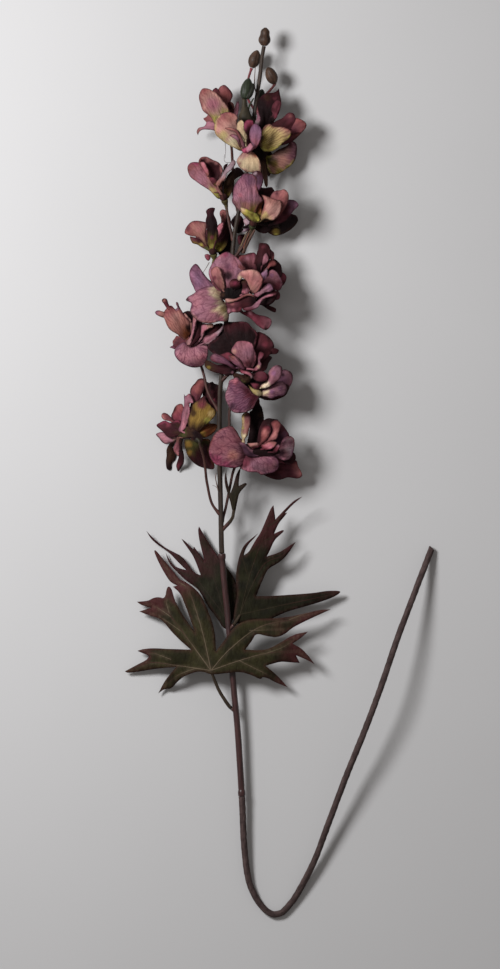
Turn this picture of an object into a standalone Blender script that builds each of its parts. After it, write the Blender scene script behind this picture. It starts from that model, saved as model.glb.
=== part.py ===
"""An artificial larkspur spray lying on a table, its wire stem bent back in a long J.

Thirteen fabric blooms and five moulded buds sit on short stalks along a tapering stem. Below them
three cut leaves and a small bract spread round a reddish sleeve. A coated wire carries on from the
sleeve, turns back at the bottom and ends in a slanted cut, and a steel core runs inside it.

Sizes and places below are in millimetres: x to the right, y towards the tip of the spike, z up from
the table. Each piece is one closed solid.
"""

import bpy
import bmesh
import math
import numpy as np
from mathutils import Vector
from mathutils.geometry import delaunay_2d_cdt

MM = 0.001
UP = (0.0, 0.0, 1.0)

SEAT_GAP = 0.3
PETAL_THICK = 0.8
LEAF_THICK = 0.8
TABLE_Z = 0.0
SHARP_EDGE = math.radians(50)

# The stem, from the tip of the spike to the cut end of the wire.
STEM_LINE = [
    (-10.2, 257.6, 15.0), (-11.5, 250, 15.3), (-12.5, 240, 15.8), (-14, 230, 16.5),
    (-15.5, 220, 17.5), (-17, 205, 19.0), (-21, 180, 21.0), (-24, 165, 22.0),
    (-26.5, 152, 22.5), (-28.4, 140, 23.0), (-30, 120, 23.6), (-32, 100, 24.0),
    (-34, 80, 24.0), (-35.5, 62, 24.0), (-36.5, 50, 23.8), (-37, 30, 22.8),
    (-36.7, 5, 20.6), (-36, -25, 16.8), (-35.5, -47, 14.2), (-34, -65, 12.6),
    (-32, -85, 11.2), (-30.3, -105, 10.3), (-28.3, -130, 9.0), (-26.3, -150, 8.0),
    (-24.6, -175, 7.0), (-23.2, -200, 6.0), (-22.3, -220, 4.8), (-20.3, -240, 3.2),
    (-17, -251, 2.3), (-12, -259.5, 1.85), (-6, -264.6, 1.76), (0, -264.3, 1.76),
    (5, -259.5, 2.0), (10, -252.5, 2.7), (20, -233, 5.4), (30, -206, 10.0),
    (40, -179, 14.6), (50, -154, 18.4), (60, -127, 20.5), (70, -98, 17.6),
    (80, -72, 11.0), (86, -57, 6.2), (91, -44.4, 1.70),
]
SPIKE_END_Y = -46.8
SLEEVE_END_Y = -193.8
CORE_TOP_Y = -24.0
SPIKE_RADII = (1.15, 1.55)
SLEEVE_RADII = (1.8, 2.0)
COAT_RADII = (1.9, 1.8)
COLLAR_RADIUS = 2.25
COLLAR_LENGTH = 3.0
BORE_RADIUS = 1.1
CORE_RADIUS = 0.75
CUT_SLANT = -0.5
STEM_SIDES = 8
BORE_SIDES = 6
LONGEST_RUN = 20.0
SHARPEST_TURN = math.radians(15)

STALK_RADIUS = 0.85
STALK_SIDES = 6
STALK_STEP = 6.5
RECEPTACLE_RADIUS = 2.1
RECEPTACLE_LENGTH = 3.6
HEART_RADIUS = 2.6
HEART_LENGTH = 6.0
PETAL_ROOT = 2.6
LAYER_STEP = 1.8
ROOT_OFFSET = 1.2


def unit(vector):
    vector = np.asarray(vector, float)
    return vector / np.linalg.norm(vector)


def point(*values):
    return np.array(values, float)


def clear_scene():
    for item in list(bpy.data.objects):
        bpy.data.objects.remove(item, do_unlink=True)


def material(name, colour, roughness, metallic=0.0):
    made = bpy.data.materials.new(name)
    made.use_nodes = True
    shader = made.node_tree.nodes["Principled BSDF"]
    shader.inputs["Base Color"].default_value = (*colour, 1.0)
    shader.inputs["Roughness"].default_value = roughness
    shader.inputs["Metallic"].default_value = metallic
    return made


# Meshes

def smoothed(mesh):
    """Shades a mesh smooth, but for its sharp edges."""
    mesh.shade_smooth()
    mesh.set_sharp_from_angle(angle=SHARP_EDGE)


def mesh_object(name, points, faces, finish=None):
    """An object from points in millimetres and faces whose sides turn outwards."""
    mesh = bpy.data.meshes.new(name)
    mesh.from_pydata([tuple(p) for p in np.asarray(points) * MM], [], faces)
    work = bmesh.new()
    work.from_mesh(mesh)
    bmesh.ops.recalc_face_normals(work, faces=work.faces)
    bmesh.ops.triangulate(work, faces=work.faces)
    work.to_mesh(mesh)
    work.free()
    smoothed(mesh)
    if finish:
        mesh.materials.append(finish)
    made = bpy.data.objects.new(name, mesh)
    bpy.context.scene.collection.objects.link(made)
    return made


def baked(item):
    """Applies an object's modifiers to its mesh."""
    bpy.context.view_layer.update()
    graph = bpy.context.evaluated_depsgraph_get()
    mesh = bpy.data.meshes.new_from_object(item.evaluated_get(graph))
    old = item.data
    item.modifiers.clear()
    item.data = mesh
    smoothed(mesh)
    bpy.data.meshes.remove(old)


def fused(name, pieces, finish, solver="EXACT"):
    """One solid from pieces that cross each other."""
    whole = pieces[0]
    whole.name = name
    whole.data.name = name
    rest = bpy.data.collections.new(name + "_pieces")
    bpy.context.scene.collection.children.link(rest)
    for piece in pieces[1:]:
        bpy.context.scene.collection.objects.unlink(piece)
        rest.objects.link(piece)
    if len(pieces) > 1:
        union = whole.modifiers.new("Union", "BOOLEAN")
        union.operation = "UNION"
        union.operand_type = "COLLECTION"
        union.collection = rest
        union.solver = solver
        baked(whole)
    for piece in pieces[1:]:
        bpy.data.objects.remove(piece, do_unlink=True)
    bpy.data.collections.remove(rest)
    whole.data.materials.clear()
    whole.data.materials.append(finish)
    return whole


def bored(item, cutter):
    """Cuts the cutter's shape out of an object."""
    cut = item.modifiers.new("Bore", "BOOLEAN")
    cut.operation = "DIFFERENCE"
    cut.object = cutter
    baked(item)
    bpy.data.objects.remove(cutter, do_unlink=True)


# Tubes

def curve_through(points, step):
    """Points a step apart on a smooth curve through the points given."""
    points = [unit(points[0] - points[1]) * 1e-3 + points[0]] + list(points)
    points.append(points[-1] + unit(points[-1] - points[-2]) * 1e-3)
    found = []
    for a, b, c, d in zip(points, points[1:], points[2:], points[3:]):
        runs = max(1, int(round(np.linalg.norm(c - b) / step)))
        for k in range(runs):
            t = k / runs
            found.append(
                0.5 * (2 * b + (c - a) * t + (2 * a - 5 * b + 4 * c - d) * t**2
                       + (3 * b - a - 3 * c + d) * t**3)
            )
    found.append(points[-2])
    return np.array(found)


def tangents(line, first=None, last=None):
    found = np.gradient(line, axis=0)
    found /= np.linalg.norm(found, axis=1)[:, None]
    if first is not None:
        found[0] = unit(first)
    if last is not None:
        found[-1] = unit(last)
    return found


def ring_axes(ways, level):
    """For each point of a line, two directions square to it: the first one points up if the line is
    level, and otherwise turns as little as it can."""
    start = point(*UP) if abs(ways[0][2]) < 0.9 else point(1, 0, 0)
    normal = unit(start - ways[0] * start.dot(ways[0]))
    found = []
    for way in ways:
        normal = point(*UP) if level else normal
        normal = unit(normal - way * normal.dot(way))
        found.append((normal, np.cross(way, normal)))
    return found


def rings(line, ways, radii, sides, level=False, slant=0.0):
    """Rings of points round a line. A slant shears the last ring into an oblique cut."""
    made = []
    for k, (centre, way, (normal, side)) in enumerate(zip(line, ways, ring_axes(ways, level))):
        ring = []
        for n in range(sides):
            angle = 2 * math.pi * (n + 0.5) / sides
            offset = radii[k] * (normal * math.cos(angle) + side * math.sin(angle))
            if k == len(line) - 1:
                offset = offset + way * slant * offset.dot(side)
            ring.append(centre + offset)
        made.append(ring)
    return made


def walls(start, count, sides, flip=False):
    """Four-sided faces between rings of points numbered from start."""
    faces = []
    for k in range(count - 1):
        for n in range(sides):
            a = start + k * sides + n
            b = start + k * sides + (n + 1) % sides
            face = (a, b, b + sides, a + sides)
            faces.append(face[::-1] if flip else face)
    return faces


def tube(name, line, radii, sides, ways=None, level=False, slant=0.0, finish=None):
    """A closed tube along a line."""
    line = np.asarray(line, float)
    ways = tangents(line) if ways is None else ways
    made = rings(line, ways, radii, sides, level, slant)
    last = (len(line) - 1) * sides
    faces = walls(0, len(line), sides)
    faces.append(tuple(range(sides))[::-1])
    faces.append(tuple(range(last, last + sides)))
    return mesh_object(name, sum(made, []), faces, finish)


def hollow_tube(name, line, ways, radii, bore, slant, finish):
    """A level tube with a bore right through it."""
    sides, bore_sides = STEM_SIDES, BORE_SIDES
    outer = sum(rings(line, ways, radii, sides, True, slant), [])
    inner = sum(rings(line, ways, [bore] * len(line), bore_sides, True, slant), [])
    start = len(outer)
    count = len(line)
    faces = walls(0, count, sides) + walls(start, count, bore_sides, flip=True)
    for k in (0, count - 1):
        faces += ring_face(k * sides, sides, start + k * bore_sides, bore_sides)
    return mesh_object(name, outer + inner, faces, finish)


def ring_face(outer, sides, inner, inner_sides):
    """Triangles between two rings with different numbers of points, stepping round both."""
    faces = []
    a = b = 0
    while a < sides or b < inner_sides:
        here = (outer + a % sides, inner + b % inner_sides)
        if b >= inner_sides or (a < sides and (a + 1) / sides <= (b + 1) / inner_sides):
            faces.append((here[0], outer + (a + 1) % sides, here[1]))
            a += 1
        else:
            faces.append((here[0], inner + (b + 1) % inner_sides, here[1]))
            b += 1
    return faces


# Blades: petals and leaves

def arc(t):
    return 4 * t * (1 - t)


FORMS = {  # how wide the claw is, where the blade is widest, how blunt its tip is
    "round": (0.34, 0.60, 2.2),
    "pointed": (0.30, 0.42, 1.25),
    "strip": (0.50, 0.40, 3.0),
    "fan": (0.55, 0.58, 3.0),
}
TIP_WIDTH = 0.2


def outline(t, form):
    """The half width of a blade at t, from 0 at its root to 1 at its tip, with 1 the widest."""
    claw, widest, blunt = FORMS[form]
    rising = claw + (1 - claw) * np.sin(0.5 * math.pi * np.minimum(t / widest, 1))
    past = np.clip((t - widest) / (1 - widest), 0, 1)
    falling = (1 - past**blunt) ** (1 / blunt)
    return np.where(t < widest, rising, np.maximum(falling, TIP_WIDTH))


def grid_size(width):
    """Where a petal's rows and columns lie: few on a narrow petal, more on a wide one."""
    if width < 7:
        return np.array([0, 0.4, 0.75, 1]), np.array([-1, 1])
    if width < 11.5:
        return np.array([0, 0.36, 0.75, 1]), np.array([-1, 0, 1])
    if width < 15:
        return np.array([0, 0.4, 0.78, 1]), np.array([-1, -0.38, 0.38, 1])
    return np.array([0, 0.28, 0.58, 0.84, 1]), np.array([-1, -0.38, 0.38, 1])


def blade_grid(root, shape):
    """The middle surface of a petal, as rows of points from root to tip."""
    rows, columns = grid_size(shape["width"])
    root, tip = point(*root), point(*shape["tip"])
    length = np.linalg.norm(tip - root)
    along = (tip - root) / length
    face = point(*shape["face"])
    face = unit(face - along * face.dot(along))
    across = np.cross(along, face)
    t, v = np.meshgrid(rows, columns, indexing="ij")
    half = 0.5 * shape["width"] * outline(t, shape["form"])
    lift = shape["bend"] * arc(t) + shape["cup"] * half * v**2
    shift = half * v + shape["side"] * arc(t)
    return (
        root
        + length * t[..., None] * along
        + shift[..., None] * across
        + lift[..., None] * face
    )


def grid_normals(grid):
    along = np.gradient(grid, axis=0)
    across = np.gradient(grid, axis=1)
    normals = np.cross(across, along)
    return normals / np.linalg.norm(normals, axis=2)[..., None]


def slab_faces(rows, columns):
    """Faces of a slab whose two sides are grids, with the same diagonals on both."""
    def top(i, j):
        return i * columns + j

    def under(i, j):
        return rows * columns + i * columns + j

    faces = []
    for i in range(rows - 1):
        for j in range(columns - 1):
            for side, turn in ((top, 1), (under, -1)):
                a, b = side(i, j), side(i, j + 1)
                c, d = side(i + 1, j + 1), side(i + 1, j)
                faces += [(a, b, c)[::turn], (a, c, d)[::turn]]
    edge = [(i, 0) for i in range(rows)]
    edge += [(rows - 1, j) for j in range(1, columns)]
    edge += [(i, columns - 1) for i in range(rows - 2, -1, -1)]
    edge += [(0, j) for j in range(columns - 2, 0, -1)]
    for p, q in zip(edge, edge[1:] + edge[:1]):
        faces += [(top(*p), top(*q), under(*q)), (top(*p), under(*q), under(*p))]
    return faces


def slab_points(grid, thick):
    normals = grid_normals(grid)
    both = [grid + normals * thick / 2, grid - normals * thick / 2]
    return np.concatenate([side.reshape(-1, 3) for side in both])


def blade(name, root, shape):
    """A petal. One that rests has the height of its tip set so that it just meets the table."""
    shape = dict(shape)
    points = slab_points(blade_grid(root, shape), PETAL_THICK)
    for _ in range(6 if shape["rests"] else 0):
        x, y, z = shape["tip"]
        shape["tip"] = (x, y, z + TABLE_Z - points[:, 2].min())
        points = slab_points(blade_grid(root, shape), PETAL_THICK)
    rows, columns = (len(side) for side in grid_size(shape["width"]))
    return mesh_object(name, points, slab_faces(rows, columns))


def petal(tip, width, face=UP, bend=1.5, cup=0.15, side=0.0, layer=0, form="round",
          root=None, rests=False):
    """A petal's shape. It looks towards face; bend bows it that way along its length, cup lifts its
    edges that way, and side bows it to the right of its way from root to tip."""
    return dict(tip=tip, width=width, face=face, bend=bend, cup=cup, side=side, layer=layer,
                form=form, root=root, rests=rests)


# Blooms, from the tip of the spike down. The stalk runs from a point on the stem's line, given by its
# y, through the points listed, to the seat, and the bloom opens the way that it faces.

BLOOMS = {
    "bloom_01": dict(
        colour=(0.40, 0.20, 0.18),
        seat=(-32.5, 207.5, 17), facing=(-0.35, 0.88, 0.3),
        stalk=(158, [(-28.5, 168, 11), (-29, 184, 8.5), (-29.7, 197, 11)]),
        petals=[
            petal((-43.5, 231.5, 27), 15, face=(-0.1, -0.25, 1), bend=2, cup=0.2, layer=1, form="fan"),
            petal((-34, 234.5, 14), 13, cup=0.3),
            petal((-50.5, 205, 12), 6.5, side=2.0, form="pointed"),
            petal((-26.5, 224.5, 20), 6, face=(-0.5, -0.2, 0.8), layer=1),
            petal((-28.5, 222, 7), 9),
            petal((-43, 219, 1), 12, rests=True),
        ],
    ),
    "bloom_02": dict(
        colour=(0.42, 0.24, 0.19),
        seat=(-20, 191.5, 25), facing=(-0.05, 0.4, 0.91),
        stalk=(184, [(-20.2, 188.5, 22.6)]),
        petals=[
            petal((-38, 212, 37), 17, face=(0.1, -0.1, 1), bend=3, cup=0.1, form="fan"),
            petal((-23.8, 212, 42), 6, face=(0.5, 0, 1), layer=1),
            petal((-33.5, 207.5, 43), 4.5, side=2.0, layer=1, form="pointed"),
            petal((-15.3, 210, 43), 7.5, face=(0.2, 0, 1), bend=2.5, layer=1),
            petal((-19.5, 213, 33), 9),
            petal((-16, 199.5, 41), 4, face=(0, -1, 0.6), layer=1),
            petal((-18, 180.5, 30), 14, face=(0, -0.1, 1), bend=2.5, cup=-0.1, form="fan"),
        ],
    ),
    "bloom_03": dict(
        colour=(0.36, 0.17, 0.14),
        seat=(-14, 199, 14), facing=(0.75, 0.3, 0.55),
        stalk=(186, [(-19, 192, 15.5), (-17, 196, 12.3)]),
        petals=[
            petal((-2, 231.5, 17), 13, face=(-0.3, -0.2, 1), bend=2, cup=0.3, side=1.5, form="fan"),
            petal((15.5, 209.5, 19), 15, bend=2, cup=0.1),
            petal((6, 205, 28), 14, face=(0.1, -0.2, 1), bend=3, cup=-0.1, layer=1, form="fan"),
            petal((7, 187.5, 11), 15, face=(-0.1, 0.1, 1), cup=0.2, form="fan"),
            petal((-14.2, 221.5, 26), 3, layer=1, form="strip"),
            petal((-7.5, 181, 1), 11, rests=True),
            petal((-8.6, 173.5, 9), 3, form="strip"),
        ],
    ),
    "bloom_04": dict(
        colour=(0.33, 0.12, 0.12),
        seat=(-34, 165, 20), facing=(-0.3, 0.88, 0.35),
        stalk=(140, [(-30.5, 148, 22), (-32.2, 157, 21)]),
        petals=[
            petal((-55.5, 186, 20), 12, face=(0.2, 0.1, 1), bend=2, cup=0.25),
            petal((-42, 190.5, 28), 14, face=(0.1, -0.5, 0.85), cup=0.4),
            petal((-29.2, 190.6, 28.5), 9, face=(-0.9, 0.35, 0.35), layer=1),
            petal((-27.5, 183, 12.5), 12, face=(0.3, 0, 1)),
            petal((-43, 179, 26), 5, layer=1),
            petal((-46, 177, 1), 12, rests=True),
        ],
    ),
    "bloom_05": dict(
        colour=(0.33, 0.15, 0.18),
        seat=(-17, 149.5, 25.5), facing=(0.15, 0.75, 0.64),
        stalk=(128, [(-23.5, 136, 25), (-19.5, 144, 23.8)]),
        petals=[
            petal((-20.5, 179.5, 36), 18, face=(0, -0.35, 1), bend=3, cup=-0.1, form="fan"),
            petal((3, 166, 32), 13, face=(0.1, -0.3, 1), bend=3, layer=1, form="fan"),
            petal((-5, 174, 21), 12),
            petal((10, 163, 17), 7),
            petal((9.5, 154, 1), 12, face=(0.1, 0.2, 1), rests=True),
        ],
    ),
    "bloom_06": dict(
        colour=(0.25, 0.10, 0.10),
        seat=(-40.5, 132.5, 19), facing=(-0.2, 0.93, 0.3),
        stalk=(108, [(-39, 112, 17), (-45.5, 120.5, 13.5), (-43, 127, 15.5)]),
        petals=[
            petal((-55.5, 150.5, 24), 12, face=(0.1, -0.3, 1), layer=1),
            petal((-56.5, 143, 13), 8, face=(0.3, -0.6, 0.8)),
            petal((-42.5, 160.8, 24), 8, face=(-0.3, -0.3, 1), cup=0.4, layer=1),
            petal((-34.8, 152.5, 25), 6, face=(-0.8, -0.2, 0.5), layer=1),
            petal((-35.4, 160.5, 14), 6),
            petal((-32, 149, 11), 9),
            petal((-49, 146, 1), 11, rests=True),
        ],
    ),
    "bloom_07": dict(
        colour=(0.31, 0.15, 0.18),
        seat=(-30.5, 105, 29.5), facing=(-0.05, 0.05, 1),
        stalk=(97, [(-31.4, 102, 26.8)]),
        petals=[
            petal((-55, 99, 33), 22, bend=3, cup=-0.1, form="fan"),
            petal((-52, 126.5, 37), 11, bend=2, side=-1.5),
            petal((-32, 133.5, 36), 21, face=(0, -0.1, 1), bend=2),
            petal((-41.5, 124.5, 43), 7, face=(0.5, 0.2, 0.8), layer=1),
            petal((-11, 116.5, 42), 13, bend=2, layer=1),
            petal((-28, 117, 41), 8, layer=1),
            petal((-4, 109.5, 39), 7, face=(0, 0.75, 0.65), layer=1),
            petal((-5, 104, 33), 9, face=(0, 0.8, 0.6)),
            petal((-7, 88.5, 27), 9, face=(0.2, 0.2, 1)),
            petal((-2.5, 98, 25), 3.5, form="strip"),
            petal((-57.5, 105.5, 28), 9, form="pointed"),
            petal((-4, 113, 35), 6),
        ],
    ),
    "bloom_08": dict(
        colour=(0.21, 0.07, 0.09),
        seat=(-19, 117, 18), facing=(0.62, 0.55, 0.5),
        stalk=(104, [(-25, 110.5, 21), (-21, 115, 17.8)]),
        petals=[
            petal((-23, 132, 21), 12),
            petal((-10.5, 139, 21), 8, layer=1),
            petal((-16.5, 134, 26), 8, layer=1),
            petal((-5.3, 134, 19), 4, form="strip"),
            petal((-3.2, 128, 25), 5, layer=1),
            petal((-1.5, 110, 26), 8, side=-3.0, layer=1),
            petal((4, 119, 14), 7),
            petal((0.5, 127, 10), 13),
            petal((-3, 112, 1), 13, rests=True),
        ],
    ),
    "bloom_09": dict(
        colour=(0.29, 0.13, 0.14),
        seat=(-52, 75, 17), facing=(-0.4, 0.5, 0.77),
        stalk=(38, [(-43.5, 49, 18.5), (-46.3, 60, 15), (-49.3, 70, 14.2)]),
        petals=[
            petal((-67.5, 101, 26), 14, face=(0.3, -0.2, 1), bend=2),
            petal((-72.5, 105.5, 27), 3, root=(-65.5, 97.5, 26.4), bend=0.5, form="strip"),
            petal((-75.3, 98, 26), 3.2, root=(-67.5, 95, 25.6), bend=0.5, form="strip"),
            petal((-62.6, 103.6, 26.5), 2.2, root=(-63.3, 95, 25.2), bend=0.5, form="strip"),
            petal((-54, 64, 22), 20, root=(-53.5, 79, 21.5), bend=2, form="fan"),
            petal((-67.4, 76.8, 23), 2, root=(-58, 74.5, 23.2), bend=0.5, form="strip"),
            petal((-52, 92, 32), 5, face=(0.9, 0, 0.3), layer=1),
            petal((-47, 91, 30), 6, face=(0.9, -0.2, 0.3), layer=1),
            petal((-36, 90, 30), 6.5, face=(-0.1, -0.5, 0.9)),
            petal((-49, 93, 20), 13),
            petal((-62, 84, 1), 13, rests=True),
        ],
    ),
    "bloom_10": dict(
        colour=(0.19, 0.07, 0.10),
        seat=(-24, 63.5, 29.5), facing=(0.1, 0.2, 0.97),
        stalk=(56, [(-31, 60.3, 25), (-25.3, 62.9, 26.3)]),
        petals=[
            petal((-26, 92.5, 29), 18, face=(0, -0.15, 1), bend=2),
            petal((-5, 83, 26), 14),
            petal((-42.5, 77, 28), 13),
            petal((-22, 80.5, 41), 14, face=(0, -0.3, 1), bend=3, layer=1),
            petal((-42, 70.5, 35), 5.5, face=(0.1, -0.5, 0.85), layer=1),
            petal((-33.5, 74.5, 39), 5, face=(0, -0.5, 0.85), layer=1),
            petal((-43, 64.5, 27), 7, face=(0, 0.3, 1)),
            petal((-16.5, 59.5, 37), 4, layer=1),
            petal((-12, 74, 41), 5, face=(-0.7, 0.3, 0.6), side=3.0, layer=1),
            petal((-2.5, 76, 28), 4, face=(0, -0.6, 0.8), form="strip"),
            petal((-9, 68, 24), 8),
        ],
    ),
    "bloom_11": dict(
        colour=(0.31, 0.14, 0.17),
        seat=(-20.5, 50, 20.5), facing=(0.62, 0.1, 0.78),
        stalk=(8, [(-32.3, 18, 18.5), (-31, 30, 18.5), (-30.5, 41, 18.5), (-25.5, 48, 17.3)]),
        petals=[
            petal((-32, 43.5, 29), 20, bend=2, layer=1, form="fan"),
            petal((-0.5, 66, 31), 10, face=(-0.2, 0, 1), bend=2, layer=1),
            petal((4.5, 50.5, 27), 10, bend=2, layer=1),
            petal((7.5, 58.5, 18), 10),
            petal((-8, 60, 31), 7.5, layer=1),
            petal((-12.5, 53.5, 32), 4, layer=1),
            petal((-12, 33.5, 12), 6.5),
            petal((-4, 52, 1), 13, rests=True),
        ],
    ),
    "bloom_12": dict(
        colour=(0.22, 0.08, 0.07),
        seat=(-51, 22, 24.5), facing=(-0.55, 0.45, -0.7),
        stalk=(-24, [(-41.5, -17, 17.5), (-44.5, -4, 19.5), (-46, 9, 23), (-48.6, 18.5, 27)]),
        petals=[
            petal((-46.5, 47, 14), 17, bend=3, cup=-0.15, form="fan"),
            petal((-50.5, 59, 8), 12, layer=1),
            petal((-41, 57, 7), 10, layer=1),
            petal((-59, 49, 9), 6, layer=1, form="pointed"),
            petal((-37.5, 29.5, 16.5), 8),
            petal((-46, 4.5, 10), 16),
            petal((-56.5, 47.5, 17.2), 7, side=-3.0),
            petal((-65, 43, 11), 11, layer=1),
            petal((-72.5, 37, 9), 5.5, layer=1, form="pointed"),
            petal((-75.5, 30.5, 12), 10, form="pointed"),
            petal((-75.5, 24.5, 5), 7, side=-2.0, layer=1, form="pointed"),
            petal((-67.5, 3, 1), 5.5, side=3.0, layer=1, rests=True),
            petal((-61.8, 2.5, 3), 4.5, side=1.5, layer=1),
            petal((-62.3, 11.5, 8), 3.5, side=1.5),
            petal((-56, 37, 1), 12, layer=1, rests=True),
        ],
    ),
    "bloom_13": dict(
        colour=(0.32, 0.11, 0.14),
        seat=(-20, 13.5, 26), facing=(0.15, 0.1, 0.98),
        stalk=(-30, [(-33.3, -20, 15.5), (-31, -9, 16), (-28, 4, 18), (-21.5, 12.5, 22)]),
        petals=[
            petal((-43.5, 15.5, 30), 25, bend=3, cup=-0.1, form="fan"),
            petal((-5, 2.8, 30), 13, bend=2, layer=1, form="fan"),
            petal((13.5, -1, 13), 13),
            petal((9.5, 16.5, 26), 12, layer=1),
            petal((-3, 33.5, 30), 13, face=(0.2, -0.3, 1), layer=1),
            petal((-11, 37, 18), 13),
            petal((5.5, 28, 14), 12),
            petal((-12.5, 18, 37), 3.5, face=(0, -0.5, 0.85), layer=1),
            petal((-3.5, 19.8, 36), 4.5, face=(0, -0.6, 0.8), layer=1),
            petal((-24.8, 19.5, 36), 7, layer=1),
            petal((-21, 37.5, 24), 6, face=(0.3, 0, 1)),
            petal((4, 8, 1), 13, rests=True),
        ],
    ),
}

# Buds: the stalk as for a bloom, the bud's tip, and its radius along its length.

BUDS = {
    "bud_top": dict(
        colour=(0.14, 0.06, 0.035),
        seat=(-10.2, 257.6, 15), tip=(-9.3, 268.8, 15.4), stalk=None,
        radii=(1.6, 3.6, 3.7, 2.7, 2.8, 1.2),
    ),
    "bud_left": dict(
        colour=(0.14, 0.06, 0.035),
        seat=(-17.6, 245, 9), tip=(-14, 255.6, 10.5),
        stalk=(219, [(-19.6, 226, 11), (-20.4, 235, 8)]), radii=(1.4, 3.2, 3.7, 3.5, 2.6, 1.0),
    ),
    "bud_right": dict(
        colour=(0.14, 0.06, 0.035),
        seat=(-3.6, 235.2, 12), tip=(-8, 245, 14.5),
        stalk=(221, [(-11, 226.8, 15), (-6.4, 231.5, 13)]), radii=(1.4, 3.2, 3.6, 3.4, 2.6, 1.0),
    ),
    "bud_green": dict(
        colour=(0.035, 0.06, 0.025),
        seat=(-22, 225.3, 21), tip=(-19.2, 238, 19.5),
        stalk=(207, [(-21, 213, 22), (-21.6, 219, 21.8)]), radii=(1.7, 3.3, 3.6, 3.4, 2.6, 1.0),
    ),
    "bud_small": dict(
        colour=(0.035, 0.06, 0.025),
        seat=(-12, 224.6, 10), tip=(-11.4, 232.3, 9),
        stalk=(217, [(-13.4, 220, 12)]), radii=(1.2, 2.3, 2.5, 2.2, 1.7, 0.8),
    ),
}
BUD_SIDES = 8
BUD_STALK_RADIUS = 0.75
GREEN_STALK_RADII = (3.6, 1.6)

# Leaves: the cut outline in plan, the heights that the blade passes through, and the petiole, which
# starts at a nub on the sleeve. A rib is a raised vein from the blade's foot towards a point.

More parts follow.
